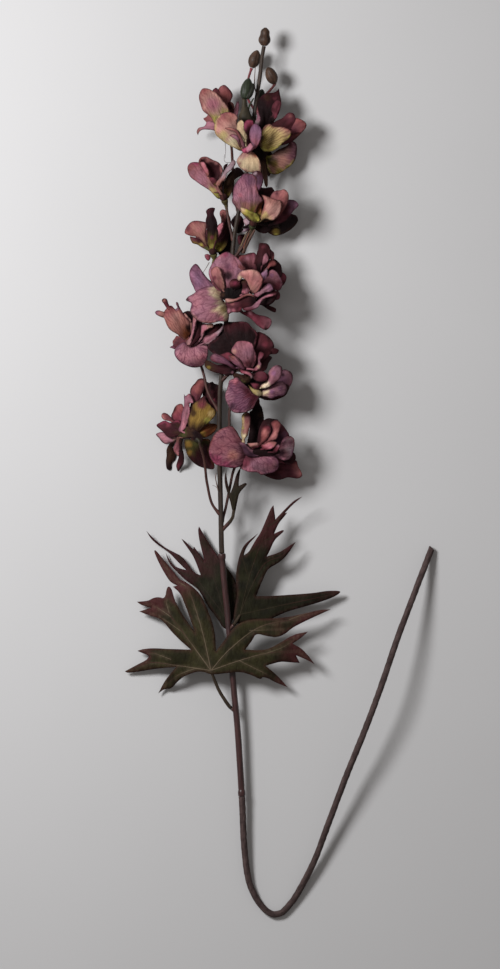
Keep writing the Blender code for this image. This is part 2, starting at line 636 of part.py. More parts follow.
LEAVES = {
    "leaf_front": dict(
        colour=(0.050, 0.036, 0.018),
        nub=(-143, [(-29.8, -140.4, 9.6)]),
        petiole=[(-33, -136.5, 10.4), (-37, -130, 11.6), (-40, -123, 13.4), (-42, -117.5, 15)],
        outline=[
            (-42, -120), (-47, -118), (-52, -118.5), (-58, -121), (-62, -124), (-66, -129),
            (-70, -128.8), (-74, -131.8), (-70, -124), (-66, -119), (-63, -115.5),
            (-75, -116.5), (-92, -119.7), (-94, -118.4), (-86, -114), (-81, -111.5),
            (-79, -109), (-83, -107.5), (-86.5, -106), (-83, -104.8), (-76, -104.3),
            (-65, -104.8), (-54, -105), (-60, -100), (-66, -94), (-70, -88.8), (-73, -86.3),
            (-80, -84.5), (-85.3, -82.2), (-78, -80), (-84, -78.5), (-86.8, -76.4),
            (-80, -75.9), (-77, -74), (-73.5, -73.4), (-69.7, -74.6), (-68.6, -67),
            (-66, -67.5), (-64, -75), (-62, -79), (-58, -86), (-51.7, -94.5), (-55, -85),
            (-58.5, -76), (-60.5, -71), (-65, -67.2), (-62.2, -66.6), (-66, -64.8),
            (-68.2, -62.2), (-73, -54), (-76.6, -46), (-75.6, -44.8), (-70, -52), (-65, -57.6),
            (-61, -63), (-58, -63.8), (-52, -68), (-48, -72.5), (-45.5, -78), (-42.5, -85),
            (-40.5, -91), (-39.5, -97), (-39, -106), (-33, -98), (-28, -91), (-22, -87.5),
            (-14, -86.5), (-5, -86.2), (5, -85.3), (15, -83), (24, -81), (30, -80.8),
            (20, -85.3), (12, -89), (6.2, -92.2), (3, -95.2), (-2, -97.6), (-8, -97),
            (-15, -95), (-17, -99), (-21.5, -105), (-10, -105.3), (-5, -103.3), (0, -100.5),
            (3.5, -98.3), (8, -95.8), (16.3, -94.1), (12, -98), (7, -101.3), (12, -104),
            (16, -108), (20.3, -113.8), (15, -110.8), (9, -108.3), (11.3, -113), (5, -112.5),
            (0, -112), (-5, -113.3), (-9.3, -114.6), (-5, -118), (0, -123), (4.2, -127.8),
            (-3, -125), (-8, -122), (-11.3, -121.2), (-12, -123), (-18, -120), (-25, -118),
            (-35, -119.3),
        ],
        heights=[
            (-42, -117, 15.5), (-94, -118, 3.5), (-74, -131, 3.5), (-86, -106, 5.5),
            (-62, -112, 11), (-86, -80, 5.5), (-62, -92, 11.5), (-68, -67, 9), (-76, -45, 7),
            (-56, -72, 12), (-46, -95, 14.5), (-30, -105, 16), (-20, -93, 16.2), (5, -88, 15.5),
            (30, -81, 12), (16, -94, 15.5), (-10, -110, 16), (20, -113.5, 13), (4, -127.5, 9),
        ],
        ribs=[(-78, -113), (-70, -80), (-56, -66), (12, -86), (10, -106)],
    ),
    "leaf_left": dict(
        colour=(0.030, 0.030, 0.014),
        nub=(-99, [(-31.4, -94.8, 7.5)]),
        petiole=[(-31.9, -91.5, 6.8), (-33, -86, 6.7)],
        outline=[
            (-32.5, -93), (-29.5, -89), (-27.5, -82), (-26.4, -75), (-26, -69), (-27.5, -63.5),
            (-30, -59), (-34, -54.3), (-38, -49), (-44, -40), (-47, -35), (-49.3, -31),
            (-50, -33), (-49.2, -39), (-47.8, -45), (-46, -52), (-48.5, -48.5), (-52.3, -43.2),
            (-53, -44.8), (-57.5, -40), (-60, -38.4), (-58, -41.5), (-55.5, -45), (-53, -48.5),
            (-51, -53), (-48.3, -60.3), (-50, -60), (-53, -58), (-55.5, -54.5), (-58, -51),
            (-60.5, -48.5), (-64, -46.8), (-69, -44.3), (-73, -41.5), (-77, -38), (-81, -33.8),
            (-79, -37.5), (-76, -40.8), (-69.5, -45.2), (-66, -48), (-62.5, -52), (-57, -57.3),
            (-61, -56.3), (-64.5, -54.8), (-67, -51.5), (-69.4, -46.8), (-68.4, -51),
            (-66.5, -54.5), (-62, -59), (-58, -63), (-50, -68.5), (-47.5, -72.5), (-44, -79),
            (-40.5, -83.5), (-37, -88.5), (-35, -92),
        ],
        heights=[
            (-32, -92, 7), (-40, -75, 6.5), (-49.5, -31, 5.2), (-60, -38.5, 5.2),
            (-50, -60, 5.2), (-60, -52, 4.4), (-81, -34, 4.8), (-69, -48, 2.8), (-30, -62, 7.6),
        ],
        ribs=[(-46, -42), (-60, -54)],
    ),
    "leaf_right": dict(
        colour=(0.034, 0.032, 0.015),
        nub=(-93.5, [(-28.5, -90.2, 12.2)]),
        petiole=[(-26.9, -88, 11.8), (-24.5, -84, 11.3)],
        outline=[
            (-28.8, -89), (-27.8, -80), (-26.3, -73), (-26.8, -66), (-27.2, -60), (-26, -53),
            (-24.8, -48), (-23, -43.5), (-20.5, -40.3), (-13.4, -34.8), (-16, -37.8),
            (-19.5, -41.5), (-21.5, -45), (-22.3, -48.3), (-19.5, -46.5), (-17.5, -43),
            (-15, -38.6), (-12.4, -35), (-9, -27), (-7.2, -22.5), (-5.5, -19), (-4.5, -18.2),
            (-3.6, -24), (-3.4, -26.8), (2, -21), (5.5, -17.3), (9, -14.5), (12.8, -13),
            (7, -17.8), (2.2, -23), (3.8, -22.6), (1.5, -25.5), (-1.5, -29), (-4.2, -35.3),
            (1.2, -32.8), (2, -33.6), (-0.5, -36), (-4, -39), (-7, -46), (-8.6, -49),
            (-3, -47.2), (0, -46), (4, -43.3), (8.8, -40.3), (6.8, -43.5), (4, -47.8),
            (0, -51.8), (-4, -54.3), (-8, -56.5), (-11.5, -64), (-15, -73), (-8, -72.9),
            (0, -72.5), (10, -71.8), (20, -71), (28, -69.7), (35, -69.7), (36.2, -70.6),
            (33, -73), (26, -75.8), (15, -79), (5, -81.7), (-4, -85.5), (-9, -88.5),
            (-18, -87.5), (-24, -89.5),
        ],
        heights=[
            (-27, -87, 11.3), (-15, -80, 11), (-15, -60, 12.5), (-10, -40, 14.5),
            (-4.5, -18, 17), (13, -13, 19), (9, -40, 12), (2, -33, 15), (5, -77, 9.5),
            (36, -70.5, 6.5), (-26, -55, 12), (-14, -35, 17), (-10, -87, 11),
        ],
        ribs=[(-8, -30), (2, -49), (26, -73)],
    ),
    "bract": dict(
        colour=(0.035, 0.040, 0.020),
        nub=(-34, [(-31.3, -28.8, 17.6)]),
        petiole=[(-28.9, -25, 18.4), (-28.4, -21, 18.8)],
        outline=[
            (-28.8, -24.3), (-29.5, -20), (-30.8, -14.5), (-32.5, -10), (-33.8, -5),
            (-33.9, -1), (-32.9, 2.8), (-32.3, -4), (-30.4, -11), (-28.8, -7), (-27.8, -3),
            (-26.6, 1), (-24, 5), (-25.3, -3), (-25.3, -6.6), (-21.5, -4.6), (-20.4, -5.2),
            (-20.9, -6.4), (-25, -10.5), (-25.8, -14), (-26.8, -19), (-27.8, -24),
        ],
        heights=[(-28.4, -23, 18.6), (-33, 2, 21), (-24, 4.5, 19.5), (-20.5, -5.5, 21),
                 (-29, -14, 19.6)],
        ribs=[(-26.2, -3)],
    ),
}
INNER_SPACING = 8.0
INNER_MARGIN = 1.6
HEIGHT_REACH = 6.0
RIB_RADIUS = 0.55
RIB_LIFT = 0.5
RIB_SIDES = 4
RIB_STEP = 14.0
PETIOLE_RADIUS = 0.9
NUB_RADIUS = 1.15
NUB_LENGTH = 2.2


# The stem

STEM_CURVE = curve_through([point(*p) for p in STEM_LINE], 1.0)
STEM_BOTTOM = int(np.argmin(STEM_CURVE[:, 1]))
SPIKE_SIDE = STEM_CURVE[:STEM_BOTTOM]


def station_at(y):
    """The index on the stem's curve, above its lowest bend, of the point at this y."""
    return int(np.argmin(np.abs(SPIKE_SIDE[:, 1] - y)))


def stations(first, last):
    """Indexes along the stem's curve, close together where it turns sharply."""
    ways = tangents(STEM_CURVE)
    chosen = [0]
    run = turn = 0.0
    for k in range(1, len(STEM_CURVE)):
        run += np.linalg.norm(STEM_CURVE[k] - STEM_CURVE[k - 1])
        turn += math.acos(min(1.0, float(ways[k].dot(ways[k - 1]))))
        if run > LONGEST_RUN or turn > SHARPEST_TURN:
            chosen.append(k)
            run = turn = 0.0
    joints = [station_at(SPIKE_END_Y), station_at(SLEEVE_END_Y)]
    between = [k for k in chosen if min(abs(k - joint) for joint in joints) > 2] + joints
    return [first] + sorted(k for k in between if first + 2 < k < last - 2) + [last]


def stem_piece(first, last, start_gap=0.0):
    """The stem's line and its directions between two stations."""
    picked = stations(first, last)
    line = STEM_CURVE[picked].copy()
    ways = tangents(STEM_CURVE)[picked]
    line[0] = line[0] + ways[0] * start_gap
    return line, ways


def tapered(count, radii):
    return list(np.linspace(radii[0], radii[1], count))


def with_collars(line, ways, radii):
    """Short thick collars at both ends of the sleeve."""
    lengths = (0.0, COLLAR_LENGTH, COLLAR_LENGTH + 0.8)
    top = [line[0] + ways[0] * run for run in lengths]
    foot = [line[-1] - ways[-1] * run for run in lengths[::-1]]
    inner = line[1:-1]
    body = tapered(len(inner) + 2, radii)
    new_line = np.array(top + list(inner) + foot)
    new_ways = np.array([ways[0]] * 3 + list(ways[1:-1]) + [ways[-1]] * 3)
    new_radii = [COLLAR_RADIUS] * 2 + body + [COLLAR_RADIUS] * 2
    return new_line, new_ways, new_radii


def stalk_line(start_y, through, seat, facing):
    """A stalk's line from inside the stem to its seat, and the way it points there."""
    start = STEM_CURVE[station_at(start_y)]
    back = point(*seat) - unit(facing) * RECEPTACLE_LENGTH
    line = curve_through([start] + [point(*p) for p in through] + [back], STALK_STEP)
    return np.array(list(line) + [back + unit(facing) * 0.6 * RECEPTACLE_LENGTH, point(*seat)])


def bloom_stalk(name, bloom):
    start_y, through = bloom["stalk"]
    line = stalk_line(start_y, through, bloom["seat"], bloom["facing"])
    radii = [STALK_RADIUS] * (len(line) - 2) + [RECEPTACLE_RADIUS * 0.8, RECEPTACLE_RADIUS]
    ways = tangents(line, last=bloom["facing"])
    return tube(name + "_stalk", line, radii, STALK_SIDES, ways)


def bud_stalk(name, bud):
    start_y, through = bud["stalk"]
    start = STEM_CURVE[station_at(start_y)]
    points = [start] + [point(*p) for p in through] + [point(*bud["seat"])]
    line = curve_through(points, STALK_STEP)
    ends = GREEN_STALK_RADII if name == "bud_green" else (BUD_STALK_RADIUS, BUD_STALK_RADIUS)
    way = point(*bud["tip"]) - point(*bud["seat"])
    return tube(name + "_stalk", line, tapered(len(line), ends), STALK_SIDES,
                tangents(line, last=way))


def build_spike_stem(finish):
    """The upper stem with the stalks that carry the blooms, buds and bract, and a socket below."""
    foot = station_at(SPIKE_END_Y)
    line, ways = stem_piece(0, foot)
    main = tube("spike_main", line, tapered(len(line), SPIKE_RADII), STEM_SIDES, ways, True)
    pieces = [main]
    pieces += [bloom_stalk(name, bloom) for name, bloom in BLOOMS.items()]
    pieces += [bud_stalk(name, bud) for name, bud in BUDS.items() if bud["stalk"]]
    pieces.append(nub("bract", LEAVES["bract"]))
    stem = fused("spike_stem", pieces, finish)
    bore_line, bore_ways = stem_piece(station_at(CORE_TOP_Y + 0.6), foot)
    bore_line[-1] += bore_ways[-1]
    cutter = tube("bore", bore_line, [BORE_RADIUS] * len(bore_line), BORE_SIDES, bore_ways, True)
    bored(stem, cutter)


def build_leaf_sleeve(finish):
    """The reddish sleeve that carries the leaves, with the core's bore through it."""
    line, ways = stem_piece(station_at(SPIKE_END_Y), station_at(SLEEVE_END_Y), SEAT_GAP)
    line, ways, radii = with_collars(line, ways, SLEEVE_RADII)
    whole = tube("sleeve", line, radii, STEM_SIDES, ways, True)
    nubs = [nub(name, leaf) for name, leaf in LEAVES.items() if name != "bract"]
    made = fused("leaf_sleeve", [whole] + nubs, finish)
    bore_line, bore_ways = stem_piece(station_at(SPIKE_END_Y), station_at(SLEEVE_END_Y))
    bore_line[0] -= bore_ways[0]
    bore_line[-1] += bore_ways[-1]
    cutter = tube("bore", bore_line, [BORE_RADIUS] * len(bore_line), BORE_SIDES, bore_ways, True)
    bored(made, cutter)


def build_wire(coat_finish, core_finish):
    """The coated wire, cut off at a slant, and the steel core inside it and the sleeve."""
    end = len(STEM_CURVE) - 1
    line, ways = stem_piece(station_at(SLEEVE_END_Y), end, SEAT_GAP)
    hollow_tube("wire_coat", line, ways, tapered(len(line), COAT_RADII), BORE_RADIUS,
                CUT_SLANT, coat_finish)
    line, ways = stem_piece(station_at(CORE_TOP_Y), end)
    tube("wire_core", line, [CORE_RADIUS] * len(line), BORE_SIDES, ways, True, CUT_SLANT,
         core_finish)


# Blooms and buds

def bloom_heart(name, bloom):
    """The small solid heart that a bloom's petals grow from."""
    facing = unit(bloom["facing"])
    seat = point(*bloom["seat"])
    runs = (SEAT_GAP, 2.0, 4.2, HEART_LENGTH)
    radii = (RECEPTACLE_RADIUS, HEART_RADIUS, HEART_RADIUS, HEART_RADIUS * 0.5)
    line = [seat + facing * run for run in runs]
    return tube(name + "_heart", line, radii, STEM_SIDES, np.array([facing] * len(runs)))


def petal_root(bloom, shape):
    """Where a petal starts: inside the heart, off its axis towards the petal's tip."""
    if shape["root"]:
        return shape["root"]
    facing = unit(bloom["facing"])
    centre = point(*bloom["seat"]) + facing * (PETAL_ROOT + LAYER_STEP * shape["layer"])
    way = point(*shape["tip"]) - centre
    way -= facing * way.dot(facing)
    return centre + unit(way) * ROOT_OFFSET


def build_bloom(name, bloom, finish):
    pieces = [bloom_heart(name, bloom)]
    for k, shape in enumerate(bloom["petals"]):
        pieces.append(blade(f"{name}_petal_{k}", petal_root(bloom, shape), shape))
    fused(name, pieces, finish)


def build_bud(name, bud, finish):
    seat = point(*bud["seat"])
    way = unit(point(*bud["tip"]) - seat)
    start = seat + way * SEAT_GAP
    count = len(bud["radii"])
    line = [start + (point(*bud["tip"]) - start) * k / (count - 1) for k in range(count)]
    tube(name, line, bud["radii"], BUD_SIDES, np.array([way] * count), finish=finish)


# Leaves

def blade_height(leaf, x, y):
    """The height of a leaf's blade: a smooth surface through the heights listed for it."""
    anchors = np.array(leaf["heights"], float)
    away = (anchors[:, 0] - x) ** 2 + (anchors[:, 1] - y) ** 2
    weights = 1 / (away + HEIGHT_REACH**2) ** 2
    return float((weights * anchors[:, 2]).sum() / weights.sum())


def inside(outline_points, x, y):
    found = False
    for (ax, ay), (bx, by) in zip(outline_points, outline_points[1:] + outline_points[:1]):
        if (ay > y) != (by > y) and x < (bx - ax) * (y - ay) / (by - ay) + ax:
            found = not found
    return found


def edge_distance(outline_points, x, y):
    least = 1e9
    for (ax, ay), (bx, by) in zip(outline_points, outline_points[1:] + outline_points[:1]):
        run = (bx - ax) ** 2 + (by - ay) ** 2
        t = max(0.0, min(1.0, ((x - ax) * (bx - ax) + (y - ay) * (by - ay)) / run))
        least = min(least, math.hypot(x - ax - t * (bx - ax), y - ay - t * (by - ay)))
    return least


def inner_points(edge):
    """Points on a staggered grid inside an outline, which let the blade curve."""
    low, high = np.min(edge, axis=0), np.max(edge, axis=0)
    found = []
    for row, y in enumerate(np.arange(low[1], high[1], INNER_SPACING)):
        for x in np.arange(low[0] + 0.5 * INNER_SPACING * (row % 2), high[0], INNER_SPACING):
            if inside(edge, x, y) and edge_distance(edge, x, y) > INNER_MARGIN:
                found.append((x, y))
    return found


def leaf_blade(name, leaf):
    """A thin arched blade with the leaf's cut outline, triangulated alike on both sides."""
    edge = [(float(x), float(y)) for x, y in leaf["outline"]]
    plan = edge + inner_points(edge)
    ring = [(k, (k + 1) % len(edge)) for k in range(len(edge))]
    found = delaunay_2d_cdt([Vector(p) for p in plan], ring, [], 1, 1e-6)
    places, triangles = [tuple(p) for p in found[0]], [tuple(f) for f in found[2]]
    middle = np.array([(x, y, blade_height(leaf, x, y)) for x, y in places])
    lift = np.array([0, 0, LEAF_THICK / 2])
    count = len(places)
    faces = [f for f in triangles] + [tuple(k + count for k in f)[::-1] for f in triangles]
    sides = {}
    for f in triangles:
        for a, b in zip(f, f[1:] + f[:1]):
            sides[(a, b)] = (b, a) not in sides and sides.get((a, b), True)
            if (b, a) in sides:
                sides[(b, a)] = sides[(a, b)] = False
    for (a, b), outer in sides.items():
        if outer:
            faces += [(b, a, a + count), (b, a + count, b + count)]
    return mesh_object(name + "_blade", np.concatenate([middle + lift, middle - lift]), faces)


def leaf_ribs(name, leaf):
    """Raised veins from the blade's foot, sunk half their thickness into it."""
    foot = point(*leaf["petiole"][-1])
    made = []
    for k, (x, y) in enumerate(leaf["ribs"]):
        run = math.hypot(x - foot[0], y - foot[1])
        count = max(3, int(run / RIB_STEP) + 1)
        line = []
        for t in np.linspace(0.0, 1.0, count):
            px, py = foot[0] + (x - foot[0]) * t, foot[1] + (y - foot[1]) * t
            line.append((px, py, blade_height(leaf, px, py) + RIB_LIFT))
        made.append(tube(f"{name}_rib_{k}", line, tapered(count, (RIB_RADIUS, 0.6 * RIB_RADIUS)),
                         RIB_SIDES))
    return made


def nub_line(leaf):
    start_y, through = leaf["nub"]
    start = STEM_CURVE[station_at(start_y)]
    return np.array([start] + [point(*p) for p in through])


def nub(name, leaf):
    """The short stub on the stem or sleeve that a leaf's petiole is pushed against."""
    line = nub_line(leaf)
    return tube(name + "_nub", line, [NUB_RADIUS] * len(line), STALK_SIDES)


def build_leaf(name, leaf, finish):
    stub = nub_line(leaf)
    way = unit(stub[-1] - stub[-2])
    start = stub[-1] + way * SEAT_GAP
    line = curve_through([start, start + way] + [point(*p) for p in leaf["petiole"]], 6.0)
    petiole = tube(name + "_petiole", line, tapered(len(line), (NUB_RADIUS, PETIOLE_RADIUS)),
                   STALK_SIDES, tangents(line, first=way))
    fused(name, [leaf_blade(name, leaf), petiole] + leaf_ribs(name, leaf), finish)


def main():
    clear_scene()
    build_spike_stem(material("stem_plastic", (0.10, 0.045, 0.035), 0.55))
    build_leaf_sleeve(material("sleeve_plastic", (0.11, 0.02, 0.022), 0.35))
    build_wire(
        material("wire_coating", (0.075, 0.042, 0.042), 0.8),
        material("core_steel", (0.45, 0.45, 0.46), 0.35, metallic=1.0),
    )
    for name, bud in BUDS.items():
        build_bud(name, bud, material(name + "_plastic", bud["colour"], 0.45))
    for name, leaf in LEAVES.items():
        build_leaf(name, leaf, material(name + "_fabric", leaf["colour"], 0.7))
    for name, bloom in BLOOMS.items():
        build_bloom(name, bloom, material(name + "_fabric", bloom["colour"], 0.75))


main()
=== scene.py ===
"""An artificial larkspur spray of printed fabric on a coated wire, seen from above on a pale floor.

Places and sizes are in millimetres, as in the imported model: x to the right, y towards the tip of the
spike, z up from the surface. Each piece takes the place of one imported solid. The steel core inside the
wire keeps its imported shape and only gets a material.
"""

import math

import bpy
import numpy as np
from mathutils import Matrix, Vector
from mathutils.geometry import delaunay_2d_cdt


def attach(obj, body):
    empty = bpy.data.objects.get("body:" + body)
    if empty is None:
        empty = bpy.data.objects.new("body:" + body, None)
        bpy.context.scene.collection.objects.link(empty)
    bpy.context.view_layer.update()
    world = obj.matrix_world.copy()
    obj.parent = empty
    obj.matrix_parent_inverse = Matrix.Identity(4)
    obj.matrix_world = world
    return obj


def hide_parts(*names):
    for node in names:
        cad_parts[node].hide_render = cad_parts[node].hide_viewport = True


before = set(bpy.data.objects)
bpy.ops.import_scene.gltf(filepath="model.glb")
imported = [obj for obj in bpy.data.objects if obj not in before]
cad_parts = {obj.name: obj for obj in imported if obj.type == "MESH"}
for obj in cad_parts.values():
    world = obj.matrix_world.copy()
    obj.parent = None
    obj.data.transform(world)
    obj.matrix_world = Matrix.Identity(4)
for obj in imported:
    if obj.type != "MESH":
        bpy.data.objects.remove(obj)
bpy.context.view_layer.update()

MM = 0.001
UP = (0.0, 0.0, 1.0)

# The stem, from the tip of the spike to the cut end of the wire. Radii run the same way.
STEM_LINE = [
    (-10.2, 257.6, 15.0), (-11.5, 250, 15.3), (-12.5, 240, 15.8), (-14, 230, 16.5),
    (-15.5, 220, 17.5), (-17, 205, 19.0), (-21, 180, 21.0), (-24, 165, 22.0),
    (-26.5, 152, 22.5), (-28.4, 140, 23.0), (-30, 120, 23.6), (-32, 100, 24.0),
    (-34, 80, 24.0), (-35.5, 62, 24.0), (-36.5, 50, 23.8), (-37, 30, 22.8),
    (-36.7, 5, 20.6), (-36, -25, 16.8), (-35.5, -47, 14.2), (-34, -65, 12.6),
    (-32, -85, 11.2), (-30.3, -105, 10.3), (-28.3, -130, 9.0), (-26.3, -150, 8.0),
    (-24.6, -175, 7.0), (-23.2, -200, 6.0), (-22.3, -220, 4.8), (-20.3, -240, 3.2),
    (-17, -251, 2.3), (-12, -259.5, 1.85), (-6, -264.6, 1.76), (0, -264.3, 1.76),
    (5, -259.5, 2.0), (10, -252.5, 2.7), (20, -233, 5.4), (30, -206, 10.0),
    (40, -179, 14.6), (50, -154, 18.4), (60, -127, 20.5), (70, -98, 17.6),
    (80, -72, 11.0), (86, -57, 6.2), (91, -44.4, 1.70),
]
SPIKE_END_Y = -46.8
SLEEVE_END_Y = -193.8
SPIKE_RADII = (1.15, 1.55)
SLEEVE_RADII = (1.8, 2.0)
COAT_RADII = (1.9, 1.8)
CUT_SLANT = -0.5
COLLAR = [  # the ring at each end of the sleeve: the distance from the end, and the radius
    (0.0, 2.0), (0.15, 2.18), (0.5, 2.27), (1.2, 2.3), (2.0, 2.3), (2.6, 2.27), (3.0, 2.15), (3.4, 1.95),
    (3.8, 1.82),
]
COLLAR_STATIONS = 5  # points of the stem's curve that each collar takes the place of
FOOT_SWELL = 0.1  # added where the lower collar runs into the thicker end of the sleeve
TAPE_PITCH = 5.2  # the run of one turn of the tape round the wire

# Hearts, petals and leaves.
SEAT_GAP = 0.3  # between a piece and the one that carries it
RECEPTACLE_LENGTH = 3.6
RECEPTACLE = [(0.25, 1.45), (0.5, 1.85), (0.75, 2.05), (0.95, 2.1), (1.0, 1.95)]  # share, radius
HEART = [(0.3, 1.7), (0.7, 2.1), (1.5, 2.3), (2.4, 2.2), (3.2, 1.8), (3.8, 1.2), (4.2, 0.4)]  # run, radius
PETAL_ROOT = 2.6  # how far up the heart the lowest layer of petals starts
LAYER_STEP = 1.8
ROOT_OFFSET = 1.2  # how far off the heart's axis
CLAW_HEIGHT = 2.2
SHORTEST_CLAW = 1.5
FABRIC_THICK = 0.36
PETAL_SPACING = 0.85
LEAF_THICK = 0.5
LEAF_SPACING = 1.7
LOWEST_POINT = 0.02
LOWEST_FABRIC = 0.25
LOWEST_LEAF = 0.4
HEIGHT_REACH = 6.0  # how far one listed height of a leaf is felt
NUB_RADIUS = 1.12
PETIOLE_RADII = (1.12, 0.85)

# Folds of a cut petal.
DOME_SHARE = 0.7
DOME_RISE = 5.0  # how far in from the edge the dome reaches its height
CURL_WIDTH = 1.5
RUFFLE_SIZE = 3.0
SECOND_RUFFLE_SIZE = 4.5
SECOND_RUFFLE_WIDTH = 3.0
PLEAT_DEPTH = 0.34
PLEAT_WIDTH = 1.7
PLEAT_LENGTH = 6.0
SWELL_DEPTH = 0.40
SWELL_SIZE = 6.0

# Dyes of the fabric, a few of them partly painted shade and sheen, as 8-bit screen colours,
# and where along a petal each runs into the next.
DYES_AND_PAINTED_LIGHT = {
    "ivory": (226, 214, 186), "cream": (214, 197, 157), "buff": (196, 172, 138),
    "sand": (196, 160, 134), "straw": (172, 152, 102), "lemon": (190, 186, 84), "lime": (152, 144, 70),
    "gold": (128, 102, 48), "olive": (110, 94, 42), "moss": (66, 64, 34), "shell": (206, 156, 148),
    "peach": (182, 128, 120), "tan": (172, 128, 118), "clay": (146, 100, 92), "salmon": (162, 104, 102),
    "blush": (184, 120, 132), "rose": (172, 74, 100), "rosy": (164, 100, 112),
    "pinkish": (152, 104, 114), "brick": (128, 74, 74), "rust": (112, 62, 36), "mauve": (142, 96, 108),
    # plum is a dark purple dye with painted sheen on it
    "lilac": (140, 98, 120), "violet": (130, 88, 116), "grape": (110, 70, 88), "plum": (72, 46, 60),
    "claret": (124, 54, 76), "crimson": (110, 50, 62), "wine": (84, 40, 48), "maroon": (52, 20, 25),
    # dark and black are the cloth's deepest maroon and also painted shade, as dark sheets and spots in the
    # shaded hollows between petals
    "dark": (24, 9, 11), "black": (14, 5, 7), "umber": (50, 31, 21), "dusk": (44, 40, 30),
    # silver is partly a grey dye and partly painted sheen and highlight on dark petals
    "silver": (152, 128, 134), "heather": (122, 76, 84),
}
ROOT_SPREAD = (0.10, 0.42)
TIP_SPREAD = (0.62, 0.98)
PAINT_LIMITS = (0.002, 0.9)

# Plastics, as 8-bit screen colours, light and deep.
STEM_TINTS = ((62, 50, 42), (38, 30, 26))
STALK_TINTS = ((82, 50, 45), (48, 29, 26))
PETIOLE_TINTS = ((70, 60, 48), (46, 38, 31))
SLEEVE_TINTS = ((70, 39, 38), (44, 24, 24))
WIRE_TINTS = ((84, 68, 66), (50, 37, 36))
HEART_TINTS = ((66, 36, 32), (34, 16, 18))
BUD_TINTS = {
    "bud_brown": ((86, 63, 49), (48, 34, 27)), "bud_green": ((48, 56, 38), (28, 34, 24)),
}
LOBE_TINTS = ((46, 48, 38), (26, 27, 21))
CUP_TINTS = {  # the olive cups under the blooms that are seen from the side
    "bloom_04": ((86, 76, 40), (46, 42, 24)), "bloom_05": ((58, 62, 34), (32, 36, 22)),
    "bloom_06": ((104, 98, 46), (58, 54, 28)), "bloom_12": ((44, 40, 26), (26, 22, 15)),
}
BUD_STALK_TINTS = {
    "bud_left": ((132, 58, 66), (84, 40, 44)), "bud_right": ((98, 50, 50), (62, 34, 34)),
    "bud_green": ((72, 63, 50), (40, 37, 28)), "bud_small": ((60, 66, 46), (38, 44, 32)),
}


# Small tools

def unit(vector):
    vector = np.asarray(vector, float)
    return vector / np.linalg.norm(vector)


def point(*values):
    return np.array(values, float)


def smooth(low, high, value):
    """0 below low, 1 above high and an even curve between."""
    t = np.clip((np.asarray(value, float) - low) / (high - low), 0, 1)
    return t * t * (3 - 2 * t)


LATTICE_SIZE = 256
LATTICE = np.random.default_rng(11).random((LATTICE_SIZE, LATTICE_SIZE))


def grain(u, w, seed=0):
    """Soft even noise from -1 to 1, with features one unit wide."""
    u = np.asarray(u, float) + 17.31 * seed
    w = np.asarray(w, float) + 5.73 * seed
    i, j = np.floor(u).astype(int), np.floor(w).astype(int)
    f, g = u - i, w - j
    f, g = f * f * (3 - 2 * f), g * g * (3 - 2 * g)
    i, j = i % LATTICE_SIZE, j % LATTICE_SIZE
    ii, jj = (i + 1) % LATTICE_SIZE, (j + 1) % LATTICE_SIZE
    near = LATTICE[i, j] * (1 - f) + LATTICE[ii, j] * f
    far = LATTICE[i, jj] * (1 - f) + LATTICE[ii, jj] * f
    return 2 * (near * (1 - g) + far * g) - 1


def linear(colour):
    """Linear colour from an 8-bit screen colour."""
    c = np.asarray(colour, float) / 255
    return np.where(c <= 0.04045, c / 12.92, ((c + 0.055) / 1.055) ** 2.4)


def blend(a, b, share):
    share = np.asarray(share, float)[..., None]
    return np.asarray(a, float) * (1 - share) + np.asarray(b, float) * share


def dyed(dye, t, soft, fine):
    """Three dyes from root to tip that run into each other, as on printed cloth; a few are partly painted
    shade and sheen.
    """
    root, middle, tip = (linear(DYES_AND_PAINTED_LIGHT[name]) for name in dye)
    colour = blend(root, middle, smooth(*ROOT_SPREAD, t + soft + 0.05 * fine))
    return blend(colour, tip, smooth(*TIP_SPREAD, t + soft))


def uneven(colour, streaks, hue):
    """The colour with streaks of more and less dye and with warmer and cooler places; for a cut petal the
    streaks also hold painted shade along its edge.
    """
    tint = np.stack([1 + hue, 1 - 0.4 * hue, 1 - hue], -1)
    return np.clip(colour * streaks[..., None] * tint, *PAINT_LIMITS)


# Pieces of mesh. A patch is its points, its faces, the linear colour of each point, each point's place
# across and along the cloth in millimetres, and how strong its veins, stripes and speckles are.

def patch(points, faces, colour, cloth, marks=(0, 0, 0)):
    points = np.asarray(points, float).reshape(-1, 3)
    count = len(points)
    colour = np.broadcast_to(np.asarray(colour, float), (count, 3))
    cloth = np.broadcast_to(np.asarray(cloth, float), (count, 3))
    marks = np.broadcast_to(np.asarray(marks, float), (count, 3))
    return points, faces, colour, cloth, marks


def piece(name, patches, finish, slot, *nodes):
    """One object from patches, riding on the part in place of the nodes named."""
    faces = []
    start = 0
    for points, own, *_ in patches:
        faces += [tuple(k + start for k in face) for face in own]
        start += len(points)
    points, colours, cloths, marks = (
        np.concatenate([p[k] for p in patches]) for k in (0, 2, 3, 4)
    )
    points[:, 2] = np.maximum(points[:, 2], LOWEST_POINT)
    mesh = bpy.data.meshes.new(name)
    mesh.from_pydata(points * MM, [], faces)
    mesh.shade_smooth()
    rgba = np.concatenate([colours, np.ones((len(colours), 1))], axis=1)
    for label, kind, field, values in (
        ("paint", "FLOAT_COLOR", "color", rgba),
        ("cloth", "FLOAT_VECTOR", "vector", cloths),
        ("marks", "FLOAT_VECTOR", "vector", marks),
    ):
        made = mesh.attributes.new(label, kind, "POINT")
        made.data.foreach_set(field, values.astype(np.float32).ravel())
    mesh.materials.append(finish)
    item = bpy.data.objects.new(name, mesh)
    bpy.context.scene.collection.objects.link(item)
    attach(item, "root")
    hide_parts(*nodes)


# Tubes

